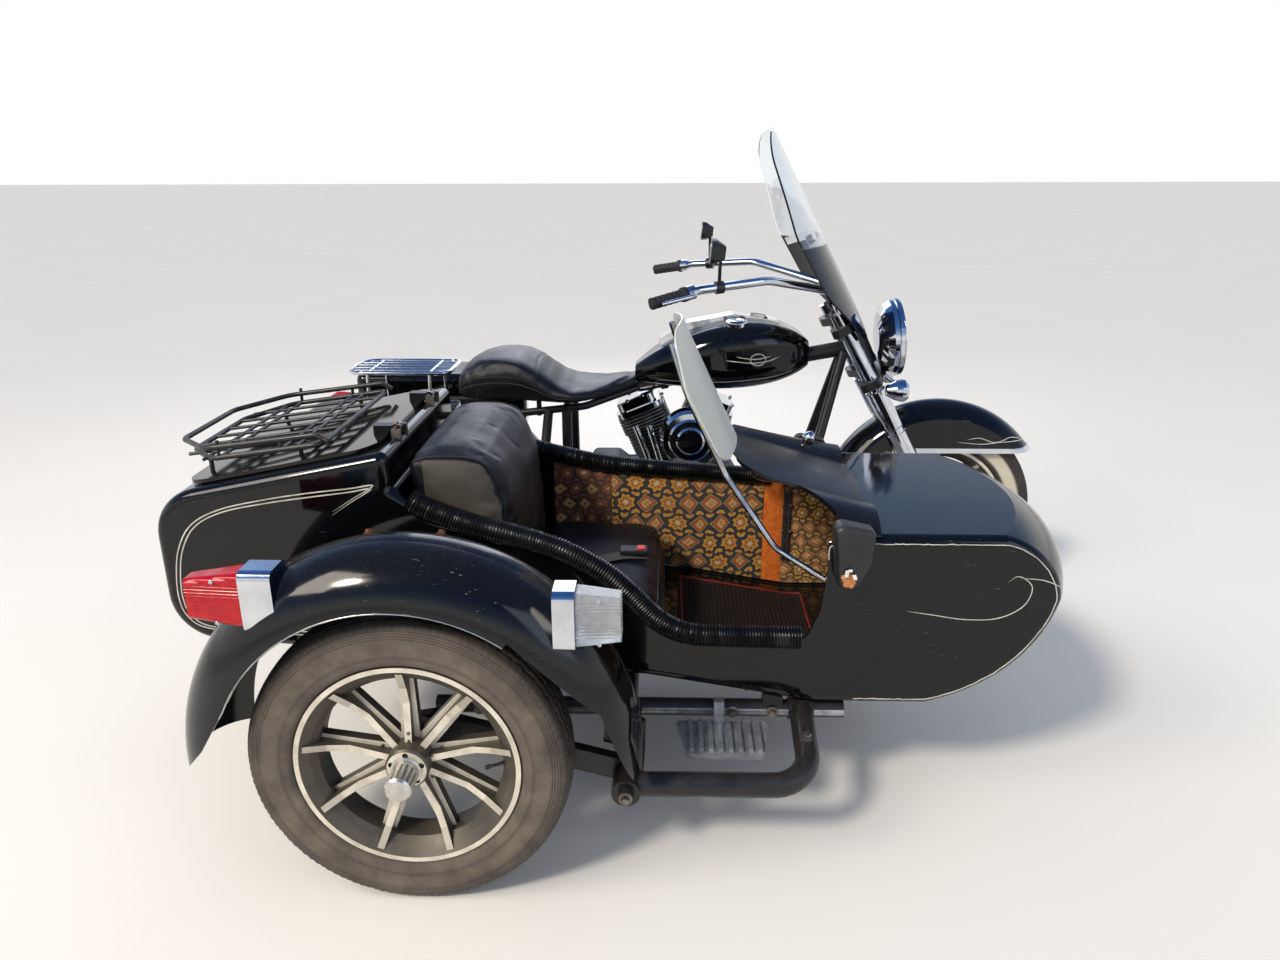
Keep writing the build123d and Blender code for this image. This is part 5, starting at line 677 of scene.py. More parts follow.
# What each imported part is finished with
PART_FINISHES = {
    "frame": "satin_paint", "crankcase": "engine_enamel", "cylinders": "finned_alloy",
    "rocker_covers": "chromium_plate", "engine_side_covers": "chromium_plate", "air_cleaner": "chromium_plate",
    "exhausts": "chromium_plate", "fuel_tank": "gloss_enamel", "tank_console": "chromium_plate",
    "rider_seat": "seat_leather", "rear_fender": "gloss_enamel", "tail_lamp": "red_acrylic",
    "pillion_rack": "chromium_plate", "swingarm": "satin_paint", "rear_shocks": "chromium_plate",
    "drive_belt": "neoprene_belt", "footboards": "chromium_plate", "saddlebag_tubs": "gloss_enamel",
    "saddlebag_lid_right": "gloss_enamel", "saddlebag_lid_left": "gloss_enamel", "rear_tyre": "tyre_rubber",
    "rear_wheel": "wheel_casting", "front_tyre": "tyre_rubber", "front_wheel": "wheel_casting",
    "fork": "chromium_plate", "triple_clamps": "satin_paint", "front_fender": "gloss_enamel",
    "front_fender_trim": "chromium_plate", "front_brakes": "cast_alloy", "headlamp": "chromium_plate",
    "headlamp_lens": "ribbed_acrylic", "front_indicators": "chromium_plate", "windscreen": "clear_acrylic",
    "windscreen_brace": "chromium_plate", "handlebar": "chromium_plate", "handlebar_grips": "nitrile_rubber",
    "handlebar_controls": "chromium_plate", "mirrors": "satin_paint", "sidecar_chassis": "chassis_enamel",
    "sidecar_suspension": "chassis_enamel", "sidecar_tyre": "tyre_rubber", "sidecar_wheel": "wheel_casting",
    "sidecar_fender": "scuffed_enamel", "lamp_housings": "lamp_abs", "front_marker_lens": "ribbed_acrylic",
    "rear_marker_lens": "red_acrylic", "sidecar_tub": "gloss_enamel", "cockpit_cowl": "crinkle_paint",
    "boot_lid": "gloss_enamel", "luggage_rack": "rack_enamel", "boot_hinges": "dull_steel",
    "seat_cushions": "seat_vinyl", "seat_base": "seat_board", "floor_mat": "studded_rubber",
    "carpet_lining": "wool_carpet_gold", "cockpit_hoses": "polythene_hose", "sidecar_screen": "milky_acrylic",
    "sidecar_screen_frame": "pitted_chromium",
}

# node, finish, and the box in millimetres whose faces take it: low corner, high corner
PATCHES = (
    ("lamp_housings", "chromium_plate", (-100, -1520, 580), (560, -1400, 760)),
    ("front_indicators", "amber_acrylic", (1300, -215, 650), (1500, -190, 760)),
    ("sidecar_wheel", "turned_aluminium", (180, -1560, 280), (260, -1491, 360)),
    ("front_wheel", "disc_steel", (1400, -75, 160), (1800, -60, 480)),
    ("front_wheel", "disc_steel", (1400, 60, 160), (1800, 75, 480)),
    ("rear_wheel", "disc_steel", (-160, -75, 160), (160, -60, 480)),
    ("sidecar_chassis", "tread_plate", (745, -1325, 232), (950, -1184, 300)),
)


class PaintParts(bpy.types.Operator):
    """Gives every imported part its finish"""

    bl_idname = "sidecar.paint_parts"
    bl_label = "Paint the parts"

    def execute(self, context):
        for name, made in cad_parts.items():
            made.data.materials.clear()
            made.data.materials.append(finish(PART_FINISHES[name]))
        for name, finish_name, low, high in PATCHES:
            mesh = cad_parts[name].data
            mesh.materials.append(finish(finish_name))
            a, b = at(low), at(high)
            for face in mesh.polygons:
                if all(a[i] <= face.center[i] <= b[i] for i in range(3)):
                    face.material_index = len(mesh.materials) - 1
        return {"FINISHED"}


# Running gear

# profile of a tyre: radius, offset from the wheel's plane, dust 0 to 1; the 0.2 dust in the grooves between the
# wall's rings paints shade there
TYRE_WALL = [
    (225, 54, 0.5), (229, 58.5, 0.8), (236, 61.5, 0.9), (243, 62.6, 0.9), (246, 63.9, 0.6), (249, 63.9, 0.6),
    (252, 63.4, 0.9), (262, 64.4, 0.95), (272, 64.4, 0.9), (280, 63.8, 0.8), (284, 63.2, 0.7), (285, 62.0, 0.2),
    (286.4, 62.8, 0.7), (289, 62.2, 0.7), (290, 60.9, 0.2), (291.4, 61.7, 0.7), (294, 60.9, 0.7),
    (295, 59.6, 0.2), (296.4, 60.2, 0.7), (299, 59.0, 0.6), (300, 57.8, 0.2), (301.5, 58.2, 0.6), (305, 56.2, 0.5),
]
SHOULDER_RADIUS = 305
TREAD_HALF = 54  # half the tread's width
CROWN_RISE = 15  # from the shoulders to the tread's middle
TREAD_DUST = 0.25
BEAD_RADIUS = 221  # where the tyre closes inside the rim
BEAD_HALF = 50
WHITE_BAND = (238, 276)  # the whitewall's inner and outer radius


def tyre_shape(centre, pattern, depth):
    """A tyre's skin: fine rings on both walls, and a tread whose pattern is cut by depth."""
    tread = []
    for k in range(33):
        y = TREAD_HALF - k * 2 * TREAD_HALF / 32
        rise = CROWN_RISE * math.sqrt(max(0.0, 1 - (y / (TREAD_HALF + 2)) ** 2)) ** 0.9
        tread.append((SHOULDER_RADIUS + rise, y, TREAD_DUST))
    profile = [*TYRE_WALL, *tread, *[(r, -y, dust) for r, y, dust in reversed(TYRE_WALL)]]
    rings = []
    for turn in turns(360):
        ring = []
        for r, y, _ in profile:
            cut = 0.0
            if r > SHOULDER_RADIUS + 0.5:
                cut = pattern(turn, y)
            elif r > 303 or (r > 301.4 and abs(y) < 58.3):
                cut = 0.6 * pattern(turn, math.copysign(TREAD_HALF - 1, y))
            radius = r - depth * cut
            ring.append(centre + Vector((radius * math.cos(turn), y, radius * math.sin(turn))))
        ring.extend(centre + Vector((BEAD_RADIUS * math.cos(turn), y, BEAD_RADIUS * math.sin(turn)))
                    for y in (-BEAD_HALF, BEAD_HALF))
        rings.append(ring)
    shape = Shape()
    shape.loft(rings, loop=True)
    return shape, profile


def ribbed_tread(turn, y):
    """Zigzag grooves between ribs, and notches along the shoulders."""
    swing = 2.6 * (2 * abs((turn * 66 / math.tau) % 1 - 0.5) * 2 - 1)
    for middle in (-36, -18, 0, 18, 36):
        if abs(y - middle - swing) < 2.2:
            return 1.0
    return 0.35 if abs(y) > 47 and (turn * 132 / math.tau) % 1 < 0.4 else 0.0


def road_tread(turn, y):
    """Slanting cuts each side of a plain centre groove, as a touring tyre has."""
    if abs(y) < 2.4:
        return 1.0
    slant = (turn * 40 / math.tau + abs(y) * 0.016 + (0.5 if y > 0 else 0)) % 1
    return 1.0 if 8 < abs(y) < 53 and slant < 0.14 else 0.0


def add_tyre(word, centre, pattern, white):
    """One tyre with its dust, the painted shade in its wall's grooves, and, where it has one, its whitewall marked
    on the mesh.
    """
    depth = bpy.context.scene.sidecar_sizes.tread_depth / MM
    shape, profile = tyre_shape(centre, pattern, depth)
    made = to_object(shape, f"{word}_tyre_tread", "tyre_rubber", smooth=50)
    mesh = made.data
    dust = mesh.attributes.new("dust", "FLOAT", "POINT")
    wall = mesh.attributes.new("whitewall", "FLOAT", "POINT")
    middle = at(centre)
    dust_and_groove_shade = []
    bands = []
    for vertex in mesh.vertices:
        away = vertex.co - middle
        radius = math.hypot(away.x, away.z) / MM
        side = abs(away.y) / MM
        near = min(profile, key=lambda p: abs(p[0] - radius) + abs(abs(p[1]) - side))
        # low dust in the wall rings' grooves paints shade there
        dust_and_groove_shade.append(near[2] * (0.35 if white else 1.0))
        bands.append(1.0 if white and WHITE_BAND[0] < radius < WHITE_BAND[1] and side > TREAD_HALF + 1 else 0.0)
    dust.data.foreach_set("value", dust_and_groove_shade)
    wall.data.foreach_set("value", bands)
    settle(made, f"{word}_wheel", [f"{word}_tyre"])


class Tyres(bpy.types.Operator):
    """Builds the three tyres with their tread, wall rings and whitewall"""

    bl_idname = "sidecar.tyres"
    bl_label = "Tyres"

    def execute(self, context):
        add_tyre("sidecar", SIDECAR_AXLE, ribbed_tread, False)
        add_tyre("rear", REAR_AXLE, road_tread, True)
        add_tyre("front", FRONT_AXLE, road_tread, True)
        return {"FINISHED"}


def bolt(shape, place, direction, across):
    """A hexagon head with chamfered corners on its washer."""
    direction = Vector(direction).normalized()
    r = across / 2 / math.cos(math.pi / 6)
    shape.turned([(0, 0), (r * 1.45, 0), (r * 1.45, 1.2), (r * 1.3, 1.8), (0, 1.8)], place, direction, 20)
    place = Vector(place) + direction * 1.6
    side = direction.orthogonal().normalized()
    up = direction.cross(side)
    rings = []
    for height, reach in ((0, r), (across * 0.45, r), (across * 0.58, r * 0.86)):
        rings.append([place + direction * height + (side * math.cos(a) + up * math.sin(a)) * reach
                      for a in turns(6)])
    shape.loft(rings)


def screw(shape, place, direction, width):
    """A domed screw head with a cross recess."""
    place = Vector(place)
    direction = Vector(direction).normalized()
    side = direction.orthogonal().normalized()
    up = direction.cross(side)
    r = width / 2
    rings = []
    for reach, height in ((r, 0), (r * 0.94, r * 0.28), (r * 0.72, r * 0.46), (r * 0.45, r * 0.52),
                          (r * 0.34, r * 0.1)):
        ring = []
        for k, a in enumerate(turns(16)):
            slot = 0.45 if reach < r * 0.5 and k % 4 == 2 else 1.0
            ring.append(place + direction * height + (side * math.cos(a) + up * math.sin(a)) * reach * slot)
        rings.append(ring)
    shape.loft(rings)


def heads_on(head, shape, tree, places, direction, size, start=120):
    """Bolts or screws where rays towards a surface meet it; start is how far back the rays begin."""
    direction = Vector(direction).normalized()
    for place in places:
        foot, normal = met(tree, Vector(place) - direction * start, direction)
        head(shape, foot, normal if normal.dot(direction) < 0 else -normal, size)


def stripe(shape, tree, line, width, direction, taper=(1, 1)):
    """A painted line laid on a surface: a thin ribbon whose points are found by rays along a direction."""
    direction = Vector(direction).normalized()
    rings = []
    count = len(line)
    for i, point in enumerate(line):
        before = Vector(line[max(i - 1, 0)])
        after = Vector(line[min(i + 1, count - 1)])
        along = (after - before).normalized()
        across = along.cross(direction).normalized()
        t = i / (count - 1)
        half = width / 2 * min(1.0, taper[0] + t * 8, taper[1] + (1 - t) * 8)
        ring = []
        for side, lift in ((-1, 0.5), (1, 0.5), (1, -0.4), (-1, -0.4)):
            origin = Vector(point) + across * side * half
            hit = onto(tree, origin, direction, lift)
            if hit is None:
                ring = None
                break
            ring.append(hit[0])
        if ring is None:
            if len(rings) > 1:
                shape.loft(rings)
            rings = []
            continue
        rings.append(ring)
    if len(rings) > 1:
        shape.loft(rings)


def in_side_plane(points, y):
    """Points of X and Z as points in space at an offset across."""
    return [(x, y, z) for x, z in points]


# outlines of the pinstripes on the sidecar's flat sides: X, Z
BOOT_STRIPE = [(19, 738), (62, 766), (110, 797), (60, 790), (-30, 779), (-128, 763), (-225, 740), (-289, 705),
               (-324, 650), (-339, 587), (-342, 530), (-330, 490), (-291, 462), (-180, 452), (-60, 446)]
NOSE_SCROLL = [(1236, 520), (1290, 512), (1360, 502), (1430, 506), (1480, 536), (1492, 580), (1462, 604),
               (1440, 590)]
NOSE_SCROLL_TOP = [(1470, 600), (1520, 594), (1560, 572), (1586, 536)]
BOOT_MIDDLE = (-20, 610)  # that the boot's second line is drawn in towards
STRIPE_GAP = 9
# the lines on the tank and the front fender
TANK_STRIPES = ([(660, 776), (740, 772), (900, 776), (1060, 792), (1130, 812)],
                [(900, 846), (940, 842), (980, 838), (1030, 842), (1070, 856)],
                [(930, 858), (965, 852), (1000, 850), (1040, 858)])
TANK_RING = (1000, 848, 24, 18)  # middle X and Z, half width, half height
FENDER_STRIPES = ([(1660, 566), (1740, 560), (1820, 568), (1900, 562), (1930, 552)],
                  [(1690, 574), (1730, 580), (1780, 566), (1830, 580), (1880, 568)])


def both_sides(right, left):
    """For each side of the motorcycle: the way that rays run towards it, and the Y that they start from."""
    return ((0, 1, 0), right), ((0, -1, 0), left)


class Pinstripes(bpy.types.Operator):
    """Lays the painted pinstripes on the sidecar's sides, the tank and the front fender"""

    bl_idname = "sidecar.pinstripes"
    bl_label = "Pinstripes"

    def execute(self, context):
        width = context.scene.sidecar_sizes.stripe_width / MM
        body = surface_of("sidecar_tub")
        shape = Shape()
        for direction, start in both_sides(-1300, -450):
            middle, *outline = in_side_plane([BOOT_MIDDLE, *BOOT_STRIPE], start)
            for inset in (0, STRIPE_GAP):
                line = [Vector(p) + (Vector(middle) - Vector(p)).normalized() * inset for p in outline]
                stripe(shape, body, curve_through(line, 8), width, direction, taper=(0.1, 1))
            for line in (NOSE_SCROLL, NOSE_SCROLL_TOP):
                stripe(shape, body, curve_through(in_side_plane(line, start), 6), width * 0.7, direction,
                       taper=(0.1, 0.1))
        piece(shape, "sidecar_pinstripes", "stripe_paint", "chassis", smooth=80)
        tank = surface_of("fuel_tank")
        shape = Shape()
        x, z, reach, rise = TANK_RING
        ring = [(x + reach * math.cos(a), z + rise * math.sin(a)) for a in turns(24)]
        for direction, start in both_sides(-300, 300):
            for points in TANK_STRIPES:
                stripe(shape, tank, curve_through(in_side_plane(points, start), 6), width, direction,
                       taper=(0.1, 0.1))
            stripe(shape, tank, in_side_plane(ring + ring[:1], start), width, direction)
        piece(shape, "tank_pinstripes", "stripe_paint", "chassis", smooth=80)
        fender = surface_of("front_fender")
        shape = Shape()
        for direction, start in both_sides(-200, 200):
            for points in FENDER_STRIPES:
                stripe(shape, fender, curve_through(in_side_plane(points, start), 5), width * 0.8, direction,
                       taper=(0.1, 0.1))
        piece(shape, "fender_pinstripes", "stripe_paint", "steering", smooth=80)
        return {"FINISHED"}


# Cockpit

# the corrugated hoses pushed over the cockpit's edges: X, Z along the panel
FAR_HOSE = [(250, 726), (310, 710), (370, 692), (460, 670), (560, 650), (700, 637), (850, 626), (994, 617)]
NEAR_HOSE = [(182, 766), (226, 742), (300, 714), (370, 694), (440, 674), (500, 652), (556, 622), (602, 590),
             (646, 548), (690, 502), (730, 474), (778, 458), (860, 454), (940, 453), (1012, 452)]
HOSE_RADIUS = 24
HOSE_INSIDE = 4  # from the body's sides to the hoses' middle lines


def corrugated(shape, line, radius, pitch):
    """A hose with a round-topped ring at every pitch."""
    fine = curve_through(line, pitch / 4)
    travelled = 0.0
    radii = []
    for i, point in enumerate(fine):
        if i:
            travelled += (point - fine[i - 1]).length
        wave = math.cos(math.tau * travelled / pitch)
        radii.append(radius + 1.5 * wave)
    shape.tube(fine, radii, sides=24)


class CockpitHoses(bpy.types.Operator):
    """Builds the corrugated hoses over the cockpit's edges"""

    bl_idname = "sidecar.hoses"
    bl_label = "Edge hoses"

    def execute(self, context):
        pitch = context.scene.sidecar_sizes.hose_pitch / MM
        shape = Shape()
        corrugated(shape, in_side_plane(NEAR_HOSE, BODY_OUTER_Y + HOSE_INSIDE), HOSE_RADIUS, pitch)
        corrugated(shape, in_side_plane(FAR_HOSE, BODY_INNER_Y - HOSE_INSIDE), HOSE_RADIUS, pitch)
        piece(shape, "corrugated_hoses", "polythene_hose", "chassis", ["cockpit_hoses"], smooth=60)
        return {"FINISHED"}


def pad(outline, y_low, y_high, crown):
    """A closed pad: a side outline carried across, pulled in towards its two ends."""
    middle = sum((Vector((x, 0, z)) for x, z in outline), Vector()) / len(outline)
    steps = 9
    rings = []
    for k in range(steps + 1):
        t = k / steps
        ease = 1 - abs(2 * t - 1) ** 6
        pull = crown * (1 - math.sqrt(max(ease, 0.0)))
        y = y_low + (y_high - y_low) * t
        ring = []
        for x, z in outline:
            point = Vector((x, 0, z))
            inward = (middle - point).normalized() * pull
            ring.append(Vector((x + inward.x, y, z + inward.z)))
        rings.append(ring)
    shape = Shape()
    shape.loft(rings)
    return shape


def inflate(made, cap, pressure, voxel):
    """Fills a pad by cloth simulation, with no point moved further than a cap, and keeps the result. The cap and
    the voxel are in millimetres."""
    scene = bpy.context.scene
    frames = 20
    remake(made, voxel)
    rest = [v.co.copy() for v in made.data.vertices]
    cloth = made.modifiers.new("filling", "CLOTH")
    cloth.settings.use_pressure = True
    cloth.settings.uniform_pressure_force = pressure
    cloth.settings.effector_weights.gravity = 0
    cloth.settings.quality = 4
    cloth.settings.tension_stiffness = 20
    cloth.settings.compression_stiffness = 20
    cloth.settings.bending_stiffness = 1.5
    cloth.point_cache.frame_start = 1
    cloth.point_cache.frame_end = frames
    for k in range(1, frames + 1):
        scene.frame_set(k)
    apply_modifiers(made)
    scene.frame_set(1)
    for vertex, start in zip(made.data.vertices, rest):
        move = vertex.co - start
        if move.length > cap * MM:
            vertex.co = start + move.normalized() * cap * MM
    made.data.update()


def remake(made, voxel):
    """Makes an object's mesh anew from small cubes, of a size in millimetres."""
    bpy.context.view_layer.objects.active = made
    remesh = made.modifiers.new("remesh", "REMESH")
    remesh.mode = "VOXEL"
    remesh.voxel_size = voxel * MM
    apply_modifiers(made)


def apply_modifiers(made):
    """Turns an object's modifiers into its mesh."""
    graph = bpy.context.evaluated_depsgraph_get()
    baked = bpy.data.meshes.new_from_object(made.evaluated_get(graph), depsgraph=graph)
    made.modifiers.clear()
    old = made.data
    made.data = baked
    bpy.data.meshes.remove(old)


def soften(made, rounds):
    """Evens out a mesh's small steps."""
    smooth = made.modifiers.new("soften", "SMOOTH")
    smooth.iterations = rounds
    smooth.factor = 0.5
    apply_modifiers(made)


def cover(made, *finish_names):
    """Gives a remade mesh its finishes and smooth faces, which all take the first one."""
    made.data.materials.clear()
    for name in finish_names:
        made.data.materials.append(finish(name))
    for face in made.data.polygons:
        face.use_smooth = True
        face.material_index = 0


def mesh_tree(made):
    """A search tree of an object's own mesh."""
    return BVHTree.FromPolygons([v.co for v in made.data.vertices], [tuple(p.vertices) for p in made.data.polygons])


def welt(name, tree, line, radius, finish_name, body, loop=True):
    """A piped seam laid on a pad: each point of a line moved to the pad's surface."""
    points = []
    for point in line:
        hit = tree.find_nearest(at(point))
        points.append(hit[0] / MM + ORIGIN + hit[1] * radius * 0.35)
    shape = Shape()
    shape.tube(points, radius, sides=10, loop=loop)
    return piece(shape, name, finish_name, body, smooth=60)


# outlines of the backrest and the cushion from the side: X, Z; and the cabin's walls
BACK_OUTLINE = [(160, 838), (200, 846), (270, 848), (326, 842), (352, 800), (376, 740), (388, 640), (390, 540),
                (388, 426), (262, 424), (232, 540), (204, 650), (168, 780)]
CUSHION_OUTLINE = [(404, 424), (404, 500), (450, 508), (560, 510), (660, 502), (704, 488), (716, 460), (716, 424)]
CABIN_Y = (-1136, -636)


class PassengerSeat(bpy.types.Operator):
    """Builds the sidecar's backrest and cushion, filled by cloth simulation, with piped seams"""

    bl_idname = "sidecar.passenger_seat"
    bl_label = "Passenger seat"

    def execute(self, context):
        radius = context.scene.sidecar_sizes.piping / MM / 2
        y0, y1 = CABIN_Y
        back = self.filled(BACK_OUTLINE, "backrest", "seat_vinyl", "side_vinyl")
        for face in back.data.polygons:
            if abs(face.normal.y) > 0.75 and face.center.x > at((200, 0, 0)).x:
                face.material_index = 1
        settle(back, "chassis", ["seat_cushions"])
        tree = mesh_tree(back)
        for name, y in (("backrest_welt_near", y0 + 14), ("backrest_welt_far", y1 - 14)):
            loop = curve_through(in_side_plane(BACK_OUTLINE, y), 12, loop=True)
            welt(name, tree, loop, radius, "seat_vinyl", "chassis")
        cushion = self.filled(CUSHION_OUTLINE, "seat_cushion", "seat_vinyl")
        settle(cushion, "chassis")
        tree = mesh_tree(cushion)
        top = [(412, y0 + 10, 506), (700, y0 + 10, 492), (712, y0 + 40, 488), (712, y1 - 40, 488),
               (700, y1 - 10, 492), (412, y1 - 10, 506)]
        edge = []
        for a, b in zip(top, top[1:]):
            edge.extend(Vector(a).lerp(Vector(b), k / 20) for k in range(20))
        welt("cushion_welt", tree, edge, radius, "seat_vinyl", "chassis", loop=False)
        return {"FINISHED"}

    def filled(self, outline, name, *finish_names):
        """A filled pad as wide as the cabin."""
        y0, y1 = CABIN_Y
        made = to_object(pad(rounded_loop(outline, 14), y0 + 3, y1 - 3, 12), name, finish_names[0])
        inflate(made, cap=8, pressure=4.0, voxel=6)
        soften(made, 4)
        cover(made, *finish_names)
        return made


# Carpet and mat

MAT_X = (752, 1096)
MAT_Y = (-1092, -656)
MAT_ABOVE = 420  # the heights over and under the mat that rays start from
MAT_BELOW = 200
STUD_PITCH = 11
STUDS_INSET = 14  # from the mat's edges to the first studs
STUD_PROFILE = [(0, -1), (4.3, -1), (4.3, 1.6), (2.6, 1.9), (2.2, 0.4), (0, 0.4)]  # radius, height
EDGING_INSET = 8
EDGING_RADIUS = 2.6


class FloorMat(bpy.types.Operator):
    """Builds the studded rubber mat with its red edge"""

    bl_idname = "sidecar.floor_mat"
    bl_label = "Floor mat"

    def execute(self, context):
        tree = surface_of("floor_mat")
        self.sheet(tree)
        self.studs(tree)
        self.edging(tree)
        return {"FINISHED"}

    def sheet(self, tree):
        """The mat itself: a plate that follows the floor, with slight waves in its top."""
        x0, x1 = MAT_X
        y0, y1 = MAT_Y
        rings = []
        for k in range(41):
            x = x0 + (x1 - x0) * k / 40
            top = []
            foot = []
            for j in range(31):
                y = y0 + (y1 - y0) * j / 30
                rise = noise.noise(Vector((x, y, 0)) * 0.01) * 0.8
                top.append(met(tree, (x, y, MAT_ABOVE), (0, 0, -1))[0] - Vector((0, 0, 1.2 - rise)))
                foot.append(met(tree, (x, y, MAT_BELOW), (0, 0, 1))[0])
            rings.append(top + foot[::-1])
        shape = Shape()
        shape.loft(rings)
        piece(shape, "floor_mat_sheet", "studded_rubber", "chassis", ["floor_mat"], smooth=50)

    def studs(self, tree):
        """Rows of small hexagonal studs, each row half a pitch beside the last."""
        x0, x1 = MAT_X
        y0, y1 = MAT_Y
        shape = Shape()
        for i in range(int((x1 - x0 - 24) / STUD_PITCH)):
            for j in range(int((y1 - y0 - 24) / STUD_PITCH)):
                x = x0 + STUDS_INSET + (i + 0.5) * STUD_PITCH
                y = y0 + STUDS_INSET + (j + (0.5 if i % 2 else 0)) * STUD_PITCH
                z = met(tree, (x, y, MAT_ABOVE), (0, 0, -1))[0].z
                shape.turned(STUD_PROFILE, (x, y, z), (0, 0, 1), 6)
        piece(shape, "floor_mat_studs", "studded_rubber", "chassis", smooth=30)

    def edging(self, tree):
        """The red line just inside the mat's edges."""
        (x0, x1), (y0, y1) = ((low + EDGING_INSET, high - EDGING_INSET) for low, high in (MAT_X, MAT_Y))
        corners = [(x0, y0), (x1, y0), (x1, y1), (x0, y1)]
        line = []
        for a, b in zip(corners, corners[1:] + corners[:1]):
            for k in range(16):
                x = a[0] + (b[0] - a[0]) * k / 16
                y = a[1] + (b[1] - a[1]) * k / 16
                line.append(met(tree, (x, y, MAT_ABOVE), (0, 0, -1), 1.0)[0])
        shape = Shape()
        shape.tube(line, EDGING_RADIUS, sides=8, loop=True)
        piece(shape, "floor_mat_edge", "piping_vinyl", "chassis", smooth=60)


# the rugs on the inner side wall, from the rear to the front: name, finish, first and last X
WALL_RUGS = (
    ("carpet_rear", "wool_carpet_red", 404, 568),
    ("carpet_middle", "wool_carpet_gold", 569, 986),
    ("carpet_border", "orange_border", 987, 1040),
    ("carpet_front", "wool_carpet_side", 1041, 1292),
)
RUG_THICKNESS = 5
RUG_PLANE_Y = BODY_INNER_Y - 11.3  # the middle plane of the rugs on the wall
TOE_BOARD_X = 1299  # and of the one across the toe board


def rug(name, tree, finish_name, span, across, plane, nodes=()):
    """A thick sheet stretched over a packed panel: its height at each step is where rays from above and below
    meet the panel. span is along the panel, across turns a place along it and a height into a point, and plane
    is the direction that the sheet's face looks to."""
    rows = 36
    first, last = span
    count = max(2, round((last - first) / 8))
    rings = []
    tallest = 0.0
    for k in range(count + 1):
        along = first + (last - first) * k / count
        top = onto(tree, across(along, 1200), (0, 0, -1))
        foot = onto(tree, across(along, 60), (0, 0, 1))
        if top is None or foot is None:
            continue
        low, high = foot[0].z + 2, top[0].z - 2
        if high - low < 20:
            continue
        face = []
        back = []
        for row in range(rows + 1):
            t = row / rows
            middle = across(along, low + (high - low) * t)
            ripple = noise.noise(middle * 0.012) * 0.9 + noise.noise(middle * 0.05) * 0.4
            edge = 1 - max(0.0, 1 - min(t, 1 - t) * rows / 1.5, 1 - min(k, count - k) / 1.2)
            half = RUG_THICKNESS / 2 * (0.45 + 0.55 * edge)
            face.append(middle + plane * (half + ripple * edge))
            back.append(middle - plane * half)
        rings.append(face + back[::-1])
        tallest = max(tallest, high - low)
    shape = Shape()
    shape.loft(rings)
    made = piece(shape, name, finish_name, "chassis", nodes, smooth=70)


class Carpets(bpy.types.Operator):
    """Lines the cockpit with cut-down patterned rugs, and a studded strap between two of them"""

    bl_idname = "sidecar.carpets"
    bl_label = "Carpets"

    def execute(self, context):
        lining = surface_of("carpet_lining")
        nodes = ["carpet_lining"]
        for name, finish_name, first, last in WALL_RUGS:
            rug(name, lining, finish_name, (first, last), lambda x, z: Vector((x, RUG_PLANE_Y, z)),
                Vector((0, -1, 0)), nodes)
            nodes = []
        rug("carpet_toe_board", lining, "wool_carpet_gold", (-1160, -612),
            lambda y, z: Vector((TOE_BOARD_X, y, z)), Vector((-1, 0, 0)))
        shape = Shape()
        for x in (1044, 1056):
            line = [(x, RUG_PLANE_Y - 6, 372 + k * 9) for k in range(24)]
            shape.loft([[Vector(p) + Vector((dx, dy, 0)) for dx, dy in ((-4, 0), (4, 0), (4, -2), (-4, -2))]
                        for p in line])
        piece(shape, "carpet_strap", "strap_webbing", "chassis", smooth=30)
        shape = Shape()
        for z in (384, 460, 536):
            for x in (1040, 1062):
                screw(shape, (x, RUG_PLANE_Y - 6.5, z), (0, -1, 0), 9)
        piece(shape, "carpet_studs", "dull_steel", "chassis", smooth=30)
        return {"FINISHED"}


# Rider's seat

# X, underside, top, half width
SADDLE = (
    (46, 724, 762, 100), (56, 719, 798, 118), (80, 716, 820, 131), (120, 715, 838, 143), (170, 714, 849, 151),
    (215, 714, 850, 157), (255, 714, 844, 162), (300, 713, 823, 168), (340, 713, 793, 173), (380, 713, 765, 178),
    (420, 713, 750, 179), (470, 716, 748, 160), (520, 722, 754, 126), (560, 730, 765, 96), (600, 740, 779, 70),
    (620, 754, 787, 56),
)


def between(table, x):
    """The row of a table at X, between the rows beside it."""
    for a, b in zip(table, table[1:]):
        if x <= b[0]:
            t = max(0.0, (x - a[0]) / (b[0] - a[0]))
            t = t * t * (3 - 2 * t) * 0.4 + t * 0.6
            return [p + (q - p) * t for p, q in zip(a, b)]
    return list(table[-1])


def edge_drop(low, top):
    """How far the saddle's edge rolls down from its top before the skirt begins."""
    return min(46, (top - low) * 0.75)


def saddle_ring(x, shrink):
    """The saddle's section: a crowned top whose edges fall to an upright skirt."""
    _, low, top, half = between(SADDLE, x)
    top -= shrink
    half -= shrink
    drop = edge_drop(low, top)
    ring = []
    for k in range(33):
        a = math.radians(-90 + 180 * k / 32)
        y = half * math.copysign(abs(math.sin(a)) ** 0.72, a)
        z = top - drop + drop * max(0.0, math.cos(a)) ** 0.55
        ring.append(Vector((x, y, z)))
    ring.append(Vector((x, half - 4, low)))
    ring.append(Vector((x, -half + 4, low)))
    return ring


def seam_line(first, last, side, down):
    """A line along the skirt, a little below the saddle's rolled edge."""
    line = []
    for k in range(70):
        x = first + (last - first) * k / 69
        _, low, top, half = between(SADDLE, x)
        edge = top - edge_drop(low, top)
        line.append(Vector((x, side * (half + 4), edge - down * (edge - low))))
    return line


def stitches(name, tree, line, pitch, finish_name, body):
    """A row of stitches laid on a surface beside a seam."""
    fine = curve_through(line, pitch / 2)
    shape = Shape()
    for start, end in zip(fine[::2], fine[1::2]):
        points = []
        for point in (start, (start + end) / 2, end):
            hit = tree.find_nearest(at(point))
            points.append(hit[0] / MM + ORIGIN + hit[1] * 0.3)
        shape.tube(points, [0.5, 0.85, 0.5], sides=6)
    return piece(shape, name, finish_name, body, smooth=60)


